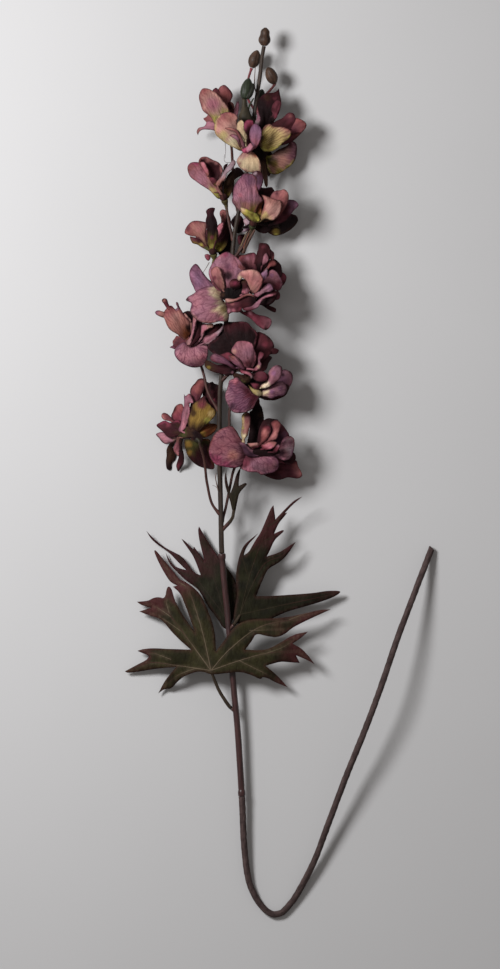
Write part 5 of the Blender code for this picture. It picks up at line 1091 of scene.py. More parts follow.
                 (-14.1, 44.9), (-17.4, 39.4), (-22.9, 37.1), (-28.9, 37.8), (-32.1, 42.6), (-33.4, 46.5),
                 (-31.8, 53), (-30.5, 56.7)], (-16.5, 49.5), (-31.5, 43.5), (30, 34, 31),
                ("crimson", "grape", "mauve"), rims=("pinkish", "pinkish"),
                dabs=[(-27.5, 56, 2.4, "rosy"), (-29, 41, 3, "plum")], dome=2.0, marks=(0.9, 0.4, 0.2)),
            cut([(-18.3, 54.8), (-15.5, 54.8), (-12.9, 54.1), (-11.9, 51.8), (-13.7, 50.6), (-16.4, 51.9)],
                (-13.5, 52), (-17.5, 54.5), (34, 36, 35.5), ("wine", "crimson", "wine")),
            cut([(-19.7, 53.9), (-18.3, 52.8), (-16, 51.4), (-11.8, 49.7), (-11.5, 48), (-13, 47),
                 (-15.5, 47.9), (-17.8, 50)], (-12.5, 48.3), (-19, 53), (33, 35.5, 35),
                ("cream", "straw", "olive"), dome=0.6),
            cut([(-12.4, 52.6), (-9.5, 55.5), (-7.7, 57.4), (-7.9, 60), (-6.8, 62.5), (-4.4, 64.9),
                 (-2.1, 65.6), (0.2, 64.8), (0.6, 61.5), (-0.8, 57.4), (-3.5, 55.1), (-9.5, 51.8),
                 (-11.8, 51.5)], (-12, 52), (-2, 65.2), (34, 36, 32), ("cream", "mauve", "mauve"),
                rims=("pinkish", "maroon"), dabs=[(-9, 53.6, 2.6, "ivory"), (-4.5, 60.5, 2, "violet")],
                marks=(0.3, 0.1, 0.4)),
        ],
    ),
    "bloom_12": dict(
        seat=(-51, 22, 24.5), facing=(-0.55, 0.45, -0.7),
        stalk=(-24, [(-41.5, -17, 17.5), (-44.5, -4, 19.5), (-46, 9, 23), (-48.6, 18.5, 27)]),
        petals=[
            petal((-56, 37, 1), 12, layer=1, rests=True, dye=("dark", "maroon", "maroon")),
            cut([(-54.6, 50.7), (-53.8, 52.9), (-51.5, 55.5), (-49.8, 57.6), (-47.5, 58.2), (-46, 57.8),
                 (-45.3, 54), (-47.1, 49.3), (-49, 44), (-50, 30), (-55, 30), (-54, 46)], (-52, 31),
                (-49, 57.8), (18, 15, 11), ("umber", "wine", "brick"), rims=("dark", "dark"),
                dabs=[(-50, 51, 2.6, "brick")]),
            cut([(-45.4, 56.4), (-43.1, 55.5), (-41.3, 56.2), (-40, 54.9), (-38.2, 54.4), (-37.5, 48),
                 (-38.3, 41), (-46, 30), (-50, 30), (-47, 42)], (-47.5, 31), (-41.5, 55.5), (17, 12, 9),
                ("dark", "maroon", "dark"), dabs=[(-41.3, 50, 1.3, "wine"), (-40.2, 45, 1.2, "crimson")],
                marks=(0.3, 0.6, 0.2)),
            cut([(-71.9, 35.3), (-71.5, 36.9), (-70.7, 37.4), (-68.4, 36.9), (-66.2, 34.9), (-62, 31),
                 (-56, 26), (-60, 28), (-66.7, 32.2), (-71.1, 33.8)], (-57.5, 26.6), (-71.2, 36.6),
                (19, 14, 10), ("umber", "wine", "brick"), rims=("salmon", "maroon")),
            cut([(-66, 35.1), (-64.9, 38.2), (-63.5, 41.3), (-61.8, 42.5), (-59.5, 42.7), (-58.2, 39.1),
                 (-57, 32), (-55, 25), (-58, 26), (-62, 32), (-64.4, 32.6)], (-56, 26), (-63, 41.8),
                (20, 16, 11), ("maroon", "crimson", "brick"), rims=("dark", None)),
            cut([(-75.2, 24.5), (-71.1, 25.9), (-66.7, 23.5), (-59.5, 25.2), (-56, 24.5), (-60.9, 22.5),
                 (-66.7, 19.1), (-69.3, 18.6), (-71.1, 19.5), (-73.3, 22.2)], (-58, 24.3), (-75, 24.3),
                (19, 12, 7), ("clay", "pinkish", "pinkish"), rims=("dark", None),
                dabs=[(-74.9, 24.1, 0.8, "dark"), (-64, 21.6, 1.3, "tan")]),
            cut([(-74.7, 30.2), (-72.4, 31.7), (-69.8, 32.7), (-66.7, 31.5), (-61.3, 33), (-59, 30),
                 (-55.5, 25.5), (-60.4, 24.2), (-67.1, 22.4), (-71.1, 26.2)], (-57, 25.8), (-74.4, 30.2),
                (21, 16, 12), ("umber", "maroon", "wine"), rims=("maroon", "claret"),
                dabs=[(-67.5, 30, 2, "crimson")]),
            cut([(-65.3, 20.6), (-68.9, 15.5), (-68.9, 11.5), (-69.3, 8.4), (-68, 3.1), (-66.2, 3.5),
                 (-65.8, 7.5), (-64.2, 8.8), (-63.5, 12), (-65, 16), (-63, 20.5), (-58.5, 23), (-57, 25),
                 (-61, 23.6)], (-58.5, 24), (-67.5, 4), (17, 4, 1), ("clay", "umber", "dark"), dome=0.8),
            cut([(-62.2, 22.8), (-60.7, 22.6), (-60.7, 17), (-61.4, 11), (-62.9, 12.4), (-64.7, 15.3),
                 (-63, 20)], (-61, 22.6), (-62.4, 12), (19, 12, 8), ("clay", "rosy", "salmon"), dome=0.4),
            cut([(-60.5, 22.4), (-59.3, 22.2), (-59.6, 17.7), (-58.3, 11), (-58.7, 6.6), (-60.4, 4),
                 (-62, 2.2), (-62.9, 4.4), (-61.3, 12), (-60.9, 17.3)], (-59.9, 22), (-61.8, 3), (19, 9, 3),
                ("umber", "maroon", "crimson"), rims=("dark", "maroon"), dome=0.8),
            cut([(-57.6, 21.3), (-52.4, 21.2), (-47.1, 21.8), (-42.6, 20.9), (-42.3, 17), (-43.1, 15.1),
                 (-41.3, 10.6), (-40, 6.2), (-40.1, 4.2), (-45.7, 4.2), (-49.3, 5.3), (-55.1, 10.2),
                 (-57.6, 17)], (-52, 20.5), (-43, 4.6), (24, 18, 10), ("moss", "maroon", "wine"),
                rims=("rust", "umber"), dabs=[(-55.5, 18.5, 2.6, "gold"), (-55, 13.5, 2.2, "gold"),
                                              (-41.5, 4.8, 1.4, "crimson")], marks=(0.2, 0.3, 0.3)),
            cut([(-49.3, 27.1), (-45.7, 30.4), (-42.2, 31), (-38.2, 29.7), (-38.6, 28), (-41.7, 24.4),
                 (-45.3, 22.4), (-50, 22.5)], (-49.5, 25), (-38.8, 29), (25, 21, 17),
                ("olive", "rust", "rust"), dabs=[(-46.5, 25, 1.8, "gold")], marks=(0.3, 0.2, 0.2)),
            cut([(-49.4, 44.9), (-47.3, 46.9), (-45.7, 47.5), (-44.9, 45.3), (-40.9, 40.4), (-39.1, 38.6),
                 (-39.1, 36.9), (-42.2, 32.4), (-48, 27), (-51, 24), (-54.6, 27), (-56, 32),
                 (-54.2, 37.8), (-52.4, 43.1)], (-51, 25.5), (-46, 47.2), (25.5, 22.5, 14),
                ("umber", "gold", "wine"), rims=("umber", None),
                dabs=[(-52.5, 37, 2.6, "umber"), (-47.5, 42, 3.2, "crimson"), (-42, 36.5, 2.6, "straw"),
                      (-44, 32.8, 2.4, "lime"), (-48.8, 45, 2, "wine")],
                marks=(0.3, 0.3, 0.3)),
            cut([(-58.2, 48.8), (-57.5, 47.4), (-54.9, 48.9), (-53.8, 47.1), (-52.8, 43.1), (-54.3, 43.2),
                 (-54.5, 38), (-55.5, 32), (-58.6, 26.6), (-60.6, 25.6), (-61.3, 26.6), (-60, 31.1),
                 (-59.6, 36), (-58.2, 42)], (-59.8, 26.2), (-56.5, 48.4), (22.5, 21, 18),
                ("blush", "mauve", "mauve"), rims=("grape", "rosy"), dome=0.8, marks=(0.3, 0.2, 0.6)),
            cut([(-62, 23.4), (-59, 26.3), (-56, 29), (-53, 28), (-50.5, 26.5), (-48, 24.5), (-46.8, 21.6),
                 (-48.3, 19), (-51.5, 20.5), (-54, 22.6), (-57.5, 22.4)], (-51, 23.5), (-58, 25.6),
                (27, 26, 22), ("dark", "umber", "moss"),
                dabs=[(-51, 23.6, 1.6, "dark"), (-49, 20.6, 1.2, "dusk")], dome=0.5),
        ],
    ),
    "bloom_13": dict(
        seat=(-20, 13.5, 26), facing=(0.15, 0.1, 0.98),
        stalk=(-30, [(-33.3, -20, 15.5), (-31, -9, 16), (-28, 4, 18), (-21.5, 12.5, 22)]),
        petals=[
            petal((4, 8, 1), 13, rests=True, dye=("dark", "maroon", "crimson")),
            cut([(-10.5, 0.1), (-4.4, 2), (-1, 7), (4.8, 6.6), (7.1, 8.4), (8.9, 8.9), (10.3, 5.2),
                 (12.4, 1.5), (12.9, -0.3), (11.7, -1.5), (3.9, -1.5), (-1.5, -2.9), (-6.8, -1.7)],
                (-6, 3), (12.5, 0), (21, 17, 13), ("maroon", "wine", "salmon"), rims=(None, "wine"),
                dabs=[(3.5, 3, 2.6, "wine"), (8, 5, 2.4, "brick"), (-3, -0.8, 3, "maroon")]),
            cut([(-18.5, 38), (-14, 40), (-11, 36), (-10, 31), (-10, 22), (-14, 14), (-19, 14),
                 (-18.8, 28)], (-17, 15), (-14, 39), (26, 22, 18), ("dark", "dark", "dark"),
                dabs=[(-12.5, 36, 1.8, "umber")]),
            cut([(-0.3, 30.8), (3.4, 26.6), (5, 23.7), (2.5, 20), (-6, 15), (-14, 13), (-8, 22)],
                (-12, 14.5), (2, 28), (26, 23, 21), ("dark", "plum", "wine"), dabs=[(2, 25, 2, "plum")]),
            cut([(-2, 11.5), (0.2, 9.2), (2.9, 6.6), (6, 6.6), (8.9, 10.3), (8.2, 12.9), (4, 14),
                 (-6, 13), (-14, 12), (-8, 10)], (-12, 12), (8, 10.5), (25, 23, 22),
                ("dark", "dark", "maroon")),
            cut([(-12, 30), (-10.5, 32.5), (-7.7, 33.9), (-5, 33.6), (-1.8, 33), (-3, 28), (-9, 20),
                 (-14, 15), (-14, 22)], (-13, 16), (-7, 33.6), (27, 29, 28), ("dark", "maroon", "dark")),
            cut([(-0.9, 17.7), (0.6, 20.6), (2.9, 22.8), (5.6, 23.3), (7.6, 21.8), (8, 18.1), (7.6, 14.9),
                 (5.2, 9.8), (2.9, 8.7), (-2.6, 10.3), (-9, 10), (-14, 12), (-8, 15)], (-12, 12.5),
                (6.5, 16), (27, 28.5, 26), ("wine", "mauve", "silver"), rims=("rosy", "grape"),
                dabs=[(0.5, 13, 2.2, "plum"), (4, 15.5, 1.8, "silver"), (5.5, 19.5, 1.8, "grape"),
                      (2, 10, 1.5, "pinkish")], ruffle=1.5, marks=(0.5, 0.1, 0.6)),
            cut([(-43.2, 14.9), (-42, 20), (-39.1, 25.1), (-33.5, 28.4), (-29.8, 29.2), (-26.8, 26.4),
                 (-24.8, 22.8), (-22, 19), (-20, 12), (-23, 6.1), (-26, 4.5), (-34, 4.9), (-39.5, 6.6),
                 (-42.5, 11)], (-21.5, 14.5), (-42.4, 14), (31, 34, 28), ("heather", "heather", "heather"),
                rims=("claret", "brick"), dabs=[(-28.5, 12, 4, "clay"), (-38.5, 9, 4.4, "claret"),
                                                (-33, 6.5, 3, "claret")],
                dome=2.4, marks=(1.0, 0.05, 0.3)),
            cut([(-24.9, 4.9), (-25.2, 10.7), (-20, 12.5), (-13.7, 12), (-9.1, 12), (-5.4, 12.1),
                 (-3.1, 10.5), (-1.1, 6.5), (-2.6, 2.9), (-9.1, 0.6), (-11.8, 0.1), (-14.1, 1.5),
                 (-19.2, 1.8)], (-18, 12), (-10, 0.6), (31, 31.5, 28.5), ("wine", "mauve", "mauve"),
                rims=("grape", "rosy"), dabs=[(-21, 7, 3, "crimson"), (-19, 3.6, 2.6, "rosy"),
                                              (-7, 8, 2.6, "grape")], dome=1.8, marks=(0.8, 0.1, 0.2)),
            cut([(-23.8, 16.5), (-20.5, 18.5), (-13, 17), (-8, 16.4), (-3, 16.6), (-0.6, 13.5),
                 (-5, 11.9), (-12, 11.3), (-20, 11)], (-20, 13), (-2, 14.6), (32, 33, 32),
                ("dark", "dark", "dark")),
            cut([(-13.2, 19.4), (-12.1, 25.5), (-11.8, 28.4), (-9.1, 29.9), (-6.6, 29.7), (-5.8, 27.4),
                 (-6.5, 24.2), (-8.1, 21.2), (-11, 18.6), (-16, 15), (-17, 16)], (-16, 16), (-9.5, 29.4),
                (32, 35, 33), ("brick", "brick", "crimson"), rims=("maroon", "maroon"),
                dabs=[(-9.5, 25, 2.4, "salmon")], dome=1.6),
            cut([(-5.8, 31.5), (-4, 32.6), (-1.7, 32.3), (-0.2, 30.6), (-1.2, 26), (-3.5, 20.9),
                 (-5.8, 20.2), (-9, 18.6), (-11.6, 16.2), (-13, 17), (-7, 22.4), (-5, 26.5)], (-12.4, 17),
                (-3, 32), (32, 36.5, 34), ("brick", "salmon", "brick"), rims=("maroon", "wine"),
                dabs=[(-4.2, 22, 1.8, "salmon"), (-2.8, 30, 1.6, "brick")], dome=1.4),
            cut([(-25, 19.3), (-22.5, 19.4), (-20.1, 17.3), (-17.4, 15.1), (-14.1, 14.4), (-11.6, 12.6),
                 (-13, 11.5), (-19.7, 11), (-22, 12.4), (-23.6, 15.4)], (-17, 13), (-24.6, 19),
                (33, 35, 35.5), ("plum", "plum", "grape"), rims=("maroon", "mauve"), marks=(0.4, 0.2, 0.3)),
            cut([(-20.3, 18.8), (-17.4, 19), (-13.5, 18.8), (-13, 17.2), (-15.5, 16), (-18, 16.4)],
                (-16, 16.6), (-17, 18.8), (35, 37, 37.5), ("crimson", "peach", "peach")),
            cut([(-13.2, 17.9), (-10.5, 18.3), (-7.2, 19.7), (-4.9, 20), (-2.5, 19.2), (-3.5, 17.4),
                 (-7.7, 15), (-10.5, 15.2), (-12.3, 16.3)], (-10, 15.6), (-5, 19.6), (34, 36.5, 36.5),
                ("crimson", "rosy", "salmon"), rims=("salmon", None)),
            cut([(-4, 16.8), (-2.1, 18.3), (-0.7, 17.7), (-1.2, 15.6), (-3.1, 13.3), (-4.9, 12.9)],
                (-4, 13.6), (-1.6, 17.8), (34, 35.5, 35), ("wine", "crimson", "mauve")),
            cut([(-22.9, 36.3), (-20.1, 37.7), (-18.7, 35.7), (-18.3, 32.5), (-19.2, 27), (-20.1, 23.4),
                 (-21.3, 21.8), (-22, 17), (-23.6, 17), (-23.4, 21.6), (-23.9, 24), (-23.4, 30)],
                (-22.6, 18.5), (-20.8, 37), (33, 32, 26), ("buff", "clay", "wine"),
                rims=("straw", "wine"), dabs=[(-22, 23.4, 1.3, "cream"), (-22.9, 28, 0.9, "lime"),
                                              (-20.4, 32, 1.6, "brick")], dome=0.6),
        ],
    ),
}

# Buds: the stalk as for a bloom, the bud's tip, and its radius along its length.

BUDS = {
    "bud_top": dict(
        seat=(-10.2, 257.6, 15), tip=(-9.3, 268.8, 15.4), stalk=None,
        radii=(1.6, 3.6, 3.7, 2.7, 2.8, 1.2),
    ),
    "bud_left": dict(
        seat=(-17.6, 245, 9), tip=(-14, 255.6, 10.5),
        stalk=(219, [(-19.6, 226, 11), (-20.4, 235, 8)]), radii=(1.4, 3.2, 3.7, 3.5, 2.6, 1.0),
    ),
    "bud_right": dict(
        seat=(-3.6, 235.2, 12), tip=(-8, 245, 14.5),
        stalk=(221, [(-11, 226.8, 15), (-6.4, 231.5, 13)]), radii=(1.4, 3.2, 3.6, 3.4, 2.6, 1.0),
    ),
    "bud_green": dict(
        seat=(-22, 225.3, 21), tip=(-19.2, 238, 19.5),
        stalk=(207, [(-21, 213, 22), (-21.6, 219, 21.8)]), radii=(1.7, 3.3, 3.6, 3.4, 2.6, 1.0),
    ),
    "bud_small": dict(
        seat=(-12, 224.6, 10), tip=(-11.4, 232.3, 9),
        stalk=(217, [(-13.4, 220, 12)]), radii=(1.2, 2.3, 2.5, 2.2, 1.7, 0.8),
    ),
}
GREEN_STALK_SHAPE = ((0, 0.45, 0.62, 0.8, 1), (3.9, 4.2, 3.0, 1.6, 1.5))  # share of its run, radius
BUD_LOBES = {  # the seat, tip and widest radius of a further lobe
    "bud_green": [((-20.6, 225.4, 21.6), (-16.7, 234.8, 20.6), 2.5)],
}

# Leaves: the cut outline in plan, the heights that the blade passes through, the petiole, which starts
# at a nub on the stem, and the veins as lines in plan, of which the first few, the ribs, are thicker.

LEAVES = {
    "leaf_front": dict(
        light=(50, 47, 25), deep=(26, 25, 13), rim=(66, 33, 34), vein_dye=(98, 86, 70),
        nub=(-143, [(-29.8, -140.4, 9.6)]),
        petiole=[(-33, -136.5, 10.4), (-37, -130, 11.6), (-40, -123, 13.4), (-42, -117.5, 15)],
        outline=[
            (-42, -120), (-47, -118), (-52, -118.5), (-58, -121), (-62, -124), (-66, -129),
            (-70, -128.8), (-74, -131.8), (-70, -124), (-66, -119), (-63, -115.5),
            (-75, -116.5), (-92, -119.7), (-94, -118.4), (-86, -114), (-81, -111.5),
            (-79, -109), (-83, -107.5), (-86.5, -106), (-83, -104.8), (-76, -104.3),
            (-65, -104.8), (-54, -105), (-60, -100), (-66, -94), (-70, -88.8), (-73, -86.3),
            (-80, -84.5), (-85.3, -82.2), (-78, -80), (-84, -78.5), (-86.8, -76.4),
            (-80, -75.9), (-77, -74), (-73.5, -73.4), (-69.7, -74.6), (-68.6, -67),
            (-66, -67.5), (-64, -75), (-62, -79), (-58, -86), (-51.7, -94.5), (-55, -85),
            (-58.5, -76), (-60.5, -71), (-65, -67.2), (-62.2, -66.6), (-66, -64.8),
            (-68.2, -62.2), (-73, -54), (-76.6, -46), (-75.6, -44.8), (-70, -52), (-65, -57.6),
            (-61, -63), (-58, -63.8), (-52, -68), (-48, -72.5), (-45.5, -78), (-42.5, -85),
            (-40.5, -91), (-39.5, -97), (-39, -106), (-33, -98), (-28, -91), (-22, -87.5),
            (-14, -86.5), (-5, -86.2), (5, -85.3), (15, -83), (24, -81), (30, -80.8),
            (20, -85.3), (12, -89), (6.2, -92.2), (3, -95.2), (-2, -97.6), (-8, -97),
            (-15, -95), (-17, -99), (-21.5, -105), (-10, -105.3), (-5, -103.3), (0, -100.5),
            (3.5, -98.3), (8, -95.8), (16.3, -94.1), (12, -98), (7, -101.3), (12, -104),
            (16, -108), (20.3, -113.8), (15, -110.8), (9, -108.3), (11.3, -113), (5, -112.5),
            (0, -112), (-5, -113.3), (-9.3, -114.6), (-5, -118), (0, -123), (4.2, -127.8),
            (-3, -125), (-8, -122), (-11.3, -121.2), (-12, -123), (-18, -120), (-25, -118),
            (-35, -119.3),
        ],
        heights=[
            (-42, -117, 15.5), (-94, -118, 3.5), (-74, -131, 3.5), (-86, -106, 5.5),
            (-62, -112, 11), (-86, -80, 5.5), (-62, -92, 11.5), (-68, -67, 9), (-76, -45, 7),
            (-56, -72, 12), (-46, -95, 14.5), (-30, -105, 16), (-20, -93, 16.2), (5, -88, 15.5),
            (30, -81, 12), (16, -94, 15.5), (-10, -110, 16), (20, -113.5, 13), (4, -127.5, 9),
        ],
        ribs=5,
        veins=[
            [(-42, -117.5), (-60, -115), (-78, -113), (-91, -117.5)],
            [(-42, -117.5), (-56, -98.5), (-70, -80)],
            [(-42, -117.5), (-47.5, -93), (-56, -68), (-62, -64.5), (-67, -59.5), (-72, -52.5),
             (-75, -47.5)],
            [(-42, -117.5), (-30, -104), (-12, -91), (12, -86), (28, -81.3)],
            [(-42, -117.5), (-25, -111.5), (-8, -107), (10, -106), (14, -108.2), (17, -110.8)],
            [(-52, -116.5), (-62, -120.5), (-70.6, -127.6)],
            [(-66, -111), (-76, -107.5), (-85, -106)],
            [(-60, -94), (-72, -86), (-83.5, -82)],
            [(-66, -85.5), (-76, -79), (-85.5, -76.7)],
            [(-67, -83.5), (-69, -76), (-68.6, -69)],
            [(-57, -67), (-62, -64.2), (-67.5, -62.5)],
            [(-10, -107.5), (2, -103), (14, -94.8)],
            [(-25, -111.5), (-14, -117), (-6, -121), (2, -125.6)],
            [(5, -87), (14, -83.7), (24, -82)],
            [(-19, -93.5), (-12, -93.2), (2, -93)],
        ],
    ),
    "leaf_left": dict(
        light=(37, 36, 22), deep=(19, 19, 11), rim=(58, 29, 32), vein_dye=(46, 40, 32),
        nub=(-99, [(-31.4, -94.8, 7.5)]),
        petiole=[(-31.9, -91.5, 6.8), (-33, -86, 6.7)],
        outline=[
            (-32.5, -93), (-29.5, -89), (-27.5, -82), (-26.4, -75), (-26, -69), (-27.5, -63.5),
            (-30, -59), (-34, -54.3), (-38, -49), (-44, -40), (-47, -35), (-49.3, -31),
            (-50, -33), (-49.2, -39), (-47.8, -45), (-46, -52), (-48.5, -48.5), (-52.3, -43.2),
            (-53, -44.8), (-57.5, -40), (-60, -38.4), (-58, -41.5), (-55.5, -45), (-53, -48.5),
            (-51, -53), (-48.3, -60.3), (-50, -60), (-53, -58), (-55.5, -54.5), (-58, -51),
            (-60.5, -48.5), (-64, -46.8), (-69, -44.3), (-73, -41.5), (-77, -38), (-81, -33.8),
            (-79, -37.5), (-76, -40.8), (-69.5, -45.2), (-66, -48), (-62.5, -52), (-57, -57.3),
            (-61, -56.3), (-64.5, -54.8), (-67, -51.5), (-69.4, -46.8), (-68.4, -51),
            (-66.5, -54.5), (-62, -59), (-58, -63), (-50, -68.5), (-47.5, -72.5), (-44, -79),
            (-40.5, -83.5), (-37, -88.5), (-35, -92),
        ],
        heights=[
            (-32, -92, 7), (-40, -75, 6.5), (-49.5, -31, 5.2), (-60, -38.5, 5.2),
            (-50, -60, 5.2), (-60, -52, 4.4), (-81, -34, 4.8), (-69, -48, 2.8), (-30, -62, 7.6),
        ],
        ribs=2,
        veins=[
            [(-33, -86), (-40, -63), (-46, -42), (-49, -33.5)],
            [(-33, -86), (-45, -70), (-54, -58.5), (-59.5, -52.2), (-64, -48.5), (-69.2, -44.8),
             (-74, -41.4)],
            [(-44, -56), (-52, -47), (-58.5, -40)],
            [(-55, -61), (-61, -58.2), (-64.5, -55.7), (-67, -52.5)],
            [(-33, -86), (-29.5, -76), (-28.6, -66)],
        ],
    ),
    "leaf_right": dict(
        light=(35, 34, 18), deep=(18, 17, 9), rim=(62, 31, 33), vein_dye=(48, 42, 30),
        nub=(-93.5, [(-28.5, -90.2, 12.2)]),
        petiole=[(-26.9, -88, 11.8), (-24.5, -84, 11.3)],
        outline=[
            (-28.8, -89), (-27.8, -80), (-26.3, -73), (-26.8, -66), (-27.2, -60), (-26, -53),
            (-24.8, -48), (-23, -43.5), (-20.5, -40.3), (-13.4, -34.8), (-16, -37.8),
            (-19.5, -41.5), (-21.5, -45), (-22.3, -48.3), (-19.5, -46.5), (-17.5, -43),
            (-15, -38.6), (-12.4, -35), (-9, -27), (-7.2, -22.5), (-5.5, -19), (-4.5, -18.2),
            (-3.6, -24), (-3.4, -26.8), (2, -21), (5.5, -17.3), (9, -14.5), (12.8, -13),
            (7, -17.8), (2.2, -23), (3.8, -22.6), (1.5, -25.5), (-1.5, -29), (-4.2, -35.3),
            (1.2, -32.8), (2, -33.6), (-0.5, -36), (-4, -39), (-7, -46), (-8.6, -49),
            (-3, -47.2), (0, -46), (4, -43.3), (8.8, -40.3), (6.8, -43.5), (4, -47.8),
            (0, -51.8), (-4, -54.3), (-8, -56.5), (-11.5, -64), (-15, -73), (-8, -72.9),
            (0, -72.5), (10, -71.8), (20, -71), (28, -69.7), (35, -69.7), (36.2, -70.6),
            (33, -73), (26, -75.8), (15, -79), (5, -81.7), (-4, -85.5), (-9, -88.5),
            (-18, -87.5), (-24, -89.5),
        ],
        heights=[
            (-27, -87, 11.3), (-15, -80, 11), (-15, -60, 12.5), (-10, -40, 14.5),
            (-4.5, -18, 17), (13, -13, 19), (9, -40, 12), (2, -33, 15), (5, -77, 9.5),
            (36, -70.5, 6.5), (-26, -55, 12), (-14, -35, 17), (-10, -87, 11),
        ],
        ribs=3,
        veins=[
            [(-24.5, -84), (-18, -58), (-8, -30), (-5, -20.5)],
            [(-24.5, -84), (-18, -68), (-10, -53.5), (0, -48.8), (4.8, -44.7), (7.2, -42.1)],
            [(-24.5, -84), (0, -78.5), (26, -73), (34.5, -70.6)],
            [(-20, -60), (-23, -50), (-22.2, -44.3), (-20, -41.1), (-17, -38)],
            [(-8, -31), (-1.5, -26.7), (2.2, -21.9), (6, -17.9), (9, -15.3)],
            [(-10, -39.5), (-4, -36.9), (0, -34.6)],
        ],
    ),
    "bract": dict(
        light=(36, 34, 23), deep=(22, 21, 14), rim=(44, 27, 26), vein_dye=(46, 42, 30),
        nub=(-34, [(-31.3, -28.8, 17.6)]),
        petiole=[(-28.9, -25, 18.4), (-28.4, -21, 18.8)],
        outline=[
            (-28.8, -24.3), (-29.5, -20), (-30.8, -14.5), (-32.5, -10), (-33.8, -5),
            (-33.9, -1), (-32.9, 2.8), (-32.3, -4), (-30.4, -11), (-28.8, -7), (-27.8, -3),
            (-26.6, 1), (-24, 5), (-25.3, -3), (-25.3, -6.6), (-21.5, -4.6), (-20.4, -5.2),
            (-20.9, -6.4), (-25, -10.5), (-25.8, -14), (-26.8, -19), (-27.8, -24),
        ],
        heights=[(-28.4, -23, 18.6), (-33, 2, 21), (-24, 4.5, 19.5), (-20.5, -5.5, 21),
                 (-29, -14, 19.6)],
        ribs=1,
        veins=[
            [(-28.4, -21), (-29.5, -14), (-32.4, -5), (-32.9, 1.5)],
            [(-28.4, -21), (-27.2, -12), (-26.2, -3), (-24.4, 3.6)],
            [(-27.3, -14), (-24.5, -9), (-21, -5.6)],
        ],
    ),
}

# The stem

STEM_CURVE = curve_through([point(*p) for p in STEM_LINE], 1.0)
STEM_WAYS = tangents(STEM_CURVE)
STEM_BOTTOM = int(np.argmin(STEM_CURVE[:, 1]))
SPIKE_SIDE = STEM_CURVE[:STEM_BOTTOM]
HAIRS_AND_HIGHLIGHTS = [  # loose slivers and threads of plastic on the stem, and two painted highlights
    ([(-37.6, -9.5, 20.6), (-38.4, -6, 21.2), (-39.2, -2, 21.6), (-38.9, 1.2, 21.9)], 0.42, (92, 74, 68)),
    ([(-37.8, -8, 20.9), (-39.8, -6.6, 21.6), (-41.2, -6.2, 21.9)], 0.16, (98, 80, 74)),
    ([(-14.5, 229, 17.2), (-15.9, 233, 17.4), (-15.8, 239, 17.2), (-15.4, 245, 16.8)], 0.4, (84, 66, 58)),
    ([(-20.3, 186, 22.2), (-26, 187.5, 24.5), (-33.4, 187.4, 25), (-33.8, 192, 25.4)], 0.18, (70, 48, 46)),
    ([(-20.4, 217, 22), (-18.9, 221.5, 21.5), (-16.4, 226, 20.5)], 0.7, (44, 52, 38)),
    ([(-25.5, 134, 23), (-22, 141, 24), (-17.5, 147.5, 24.5)], 0.9, (70, 52, 40)),
    ([(-23, 133, 23.5), (-19.6, 140, 24.5), (-15.6, 147, 25)], 1.25, (74, 50, 41)),
    ([(-24, 133.5, 22.4), (-20.8, 140.5, 23.4), (-16.8, 147.5, 24)], 1.3, (56, 46, 33)),
    # These two pale lines along the tops of the stalks are painted highlights.
    ([(-24, 137, 25.6), (-22.6, 141, 26.2), (-20.4, 146, 26.6)], 0.2, (132, 112, 84)),
    ([(-22.6, 135.5, 26), (-21, 140.5, 26.4), (-19, 145, 26.4)], 0.16, (150, 92, 72)),
    ([(-43.1, 127.7, 15.6), (-44.6, 125, 16.4), (-46.8, 121.5, 16.2)], 0.3, (120, 112, 108)),
    ([(-33.5, 199, 23), (-33.2, 194.5, 22.5), (-33.5, 190, 21.5)], 0.16, (70, 48, 46)),
]


def station_at(y):
    """The index on the stem's curve, above its lowest bend, of the point at this y."""
    return int(np.argmin(np.abs(SPIKE_SIDE[:, 1] - y)))


def stem_run(first, last, gap=0.0):
    line = STEM_CURVE[first:last + 1].copy()
    ways = STEM_WAYS[first:last + 1].copy()
    line[0] = line[0] + ways[0] * gap
    return line, ways


def branch(stalk, *ends):
    """Where a side stalk runs: from the stem at its y, through its own points, to its end."""
    start_y, through = stalk
    return [STEM_CURVE[station_at(start_y)]] + [point(*p) for p in through] + list(ends)


def stalk_radii(run, thin, swell, at, spread, flare_run):
    """The radii of a stalk that swells near the stem and flares where it ends."""
    swollen = thin + swell * np.exp(-((run - at) / spread) ** 2)
    return swollen + 0.35 * smooth(run[-1] - flare_run, run[-1], run)


def moulded(tints, seed):
    """A plastic colour between a light and a deep tint, mottled round and along a tube."""
    light, deep = tints

    def colour(angles, runs):
        share = 0.5 + 0.5 * grain(angles * 1.3, runs / 5, seed)
        share = np.clip(share * 0.8 + 0.25 * grain(angles * 3, runs / 1.3, seed + 1), 0, 1)
        return blend(linear(deep), linear(light), share)
    return colour


def stem_relief(angles, runs):
    ridges = 0.07 * np.cos(3 * angles + 0.05 * runs)
    return ridges + 0.05 * grain(angles * 1.5, runs / 3, 5) + 0.05 * grain(angles, runs / 14, 8)


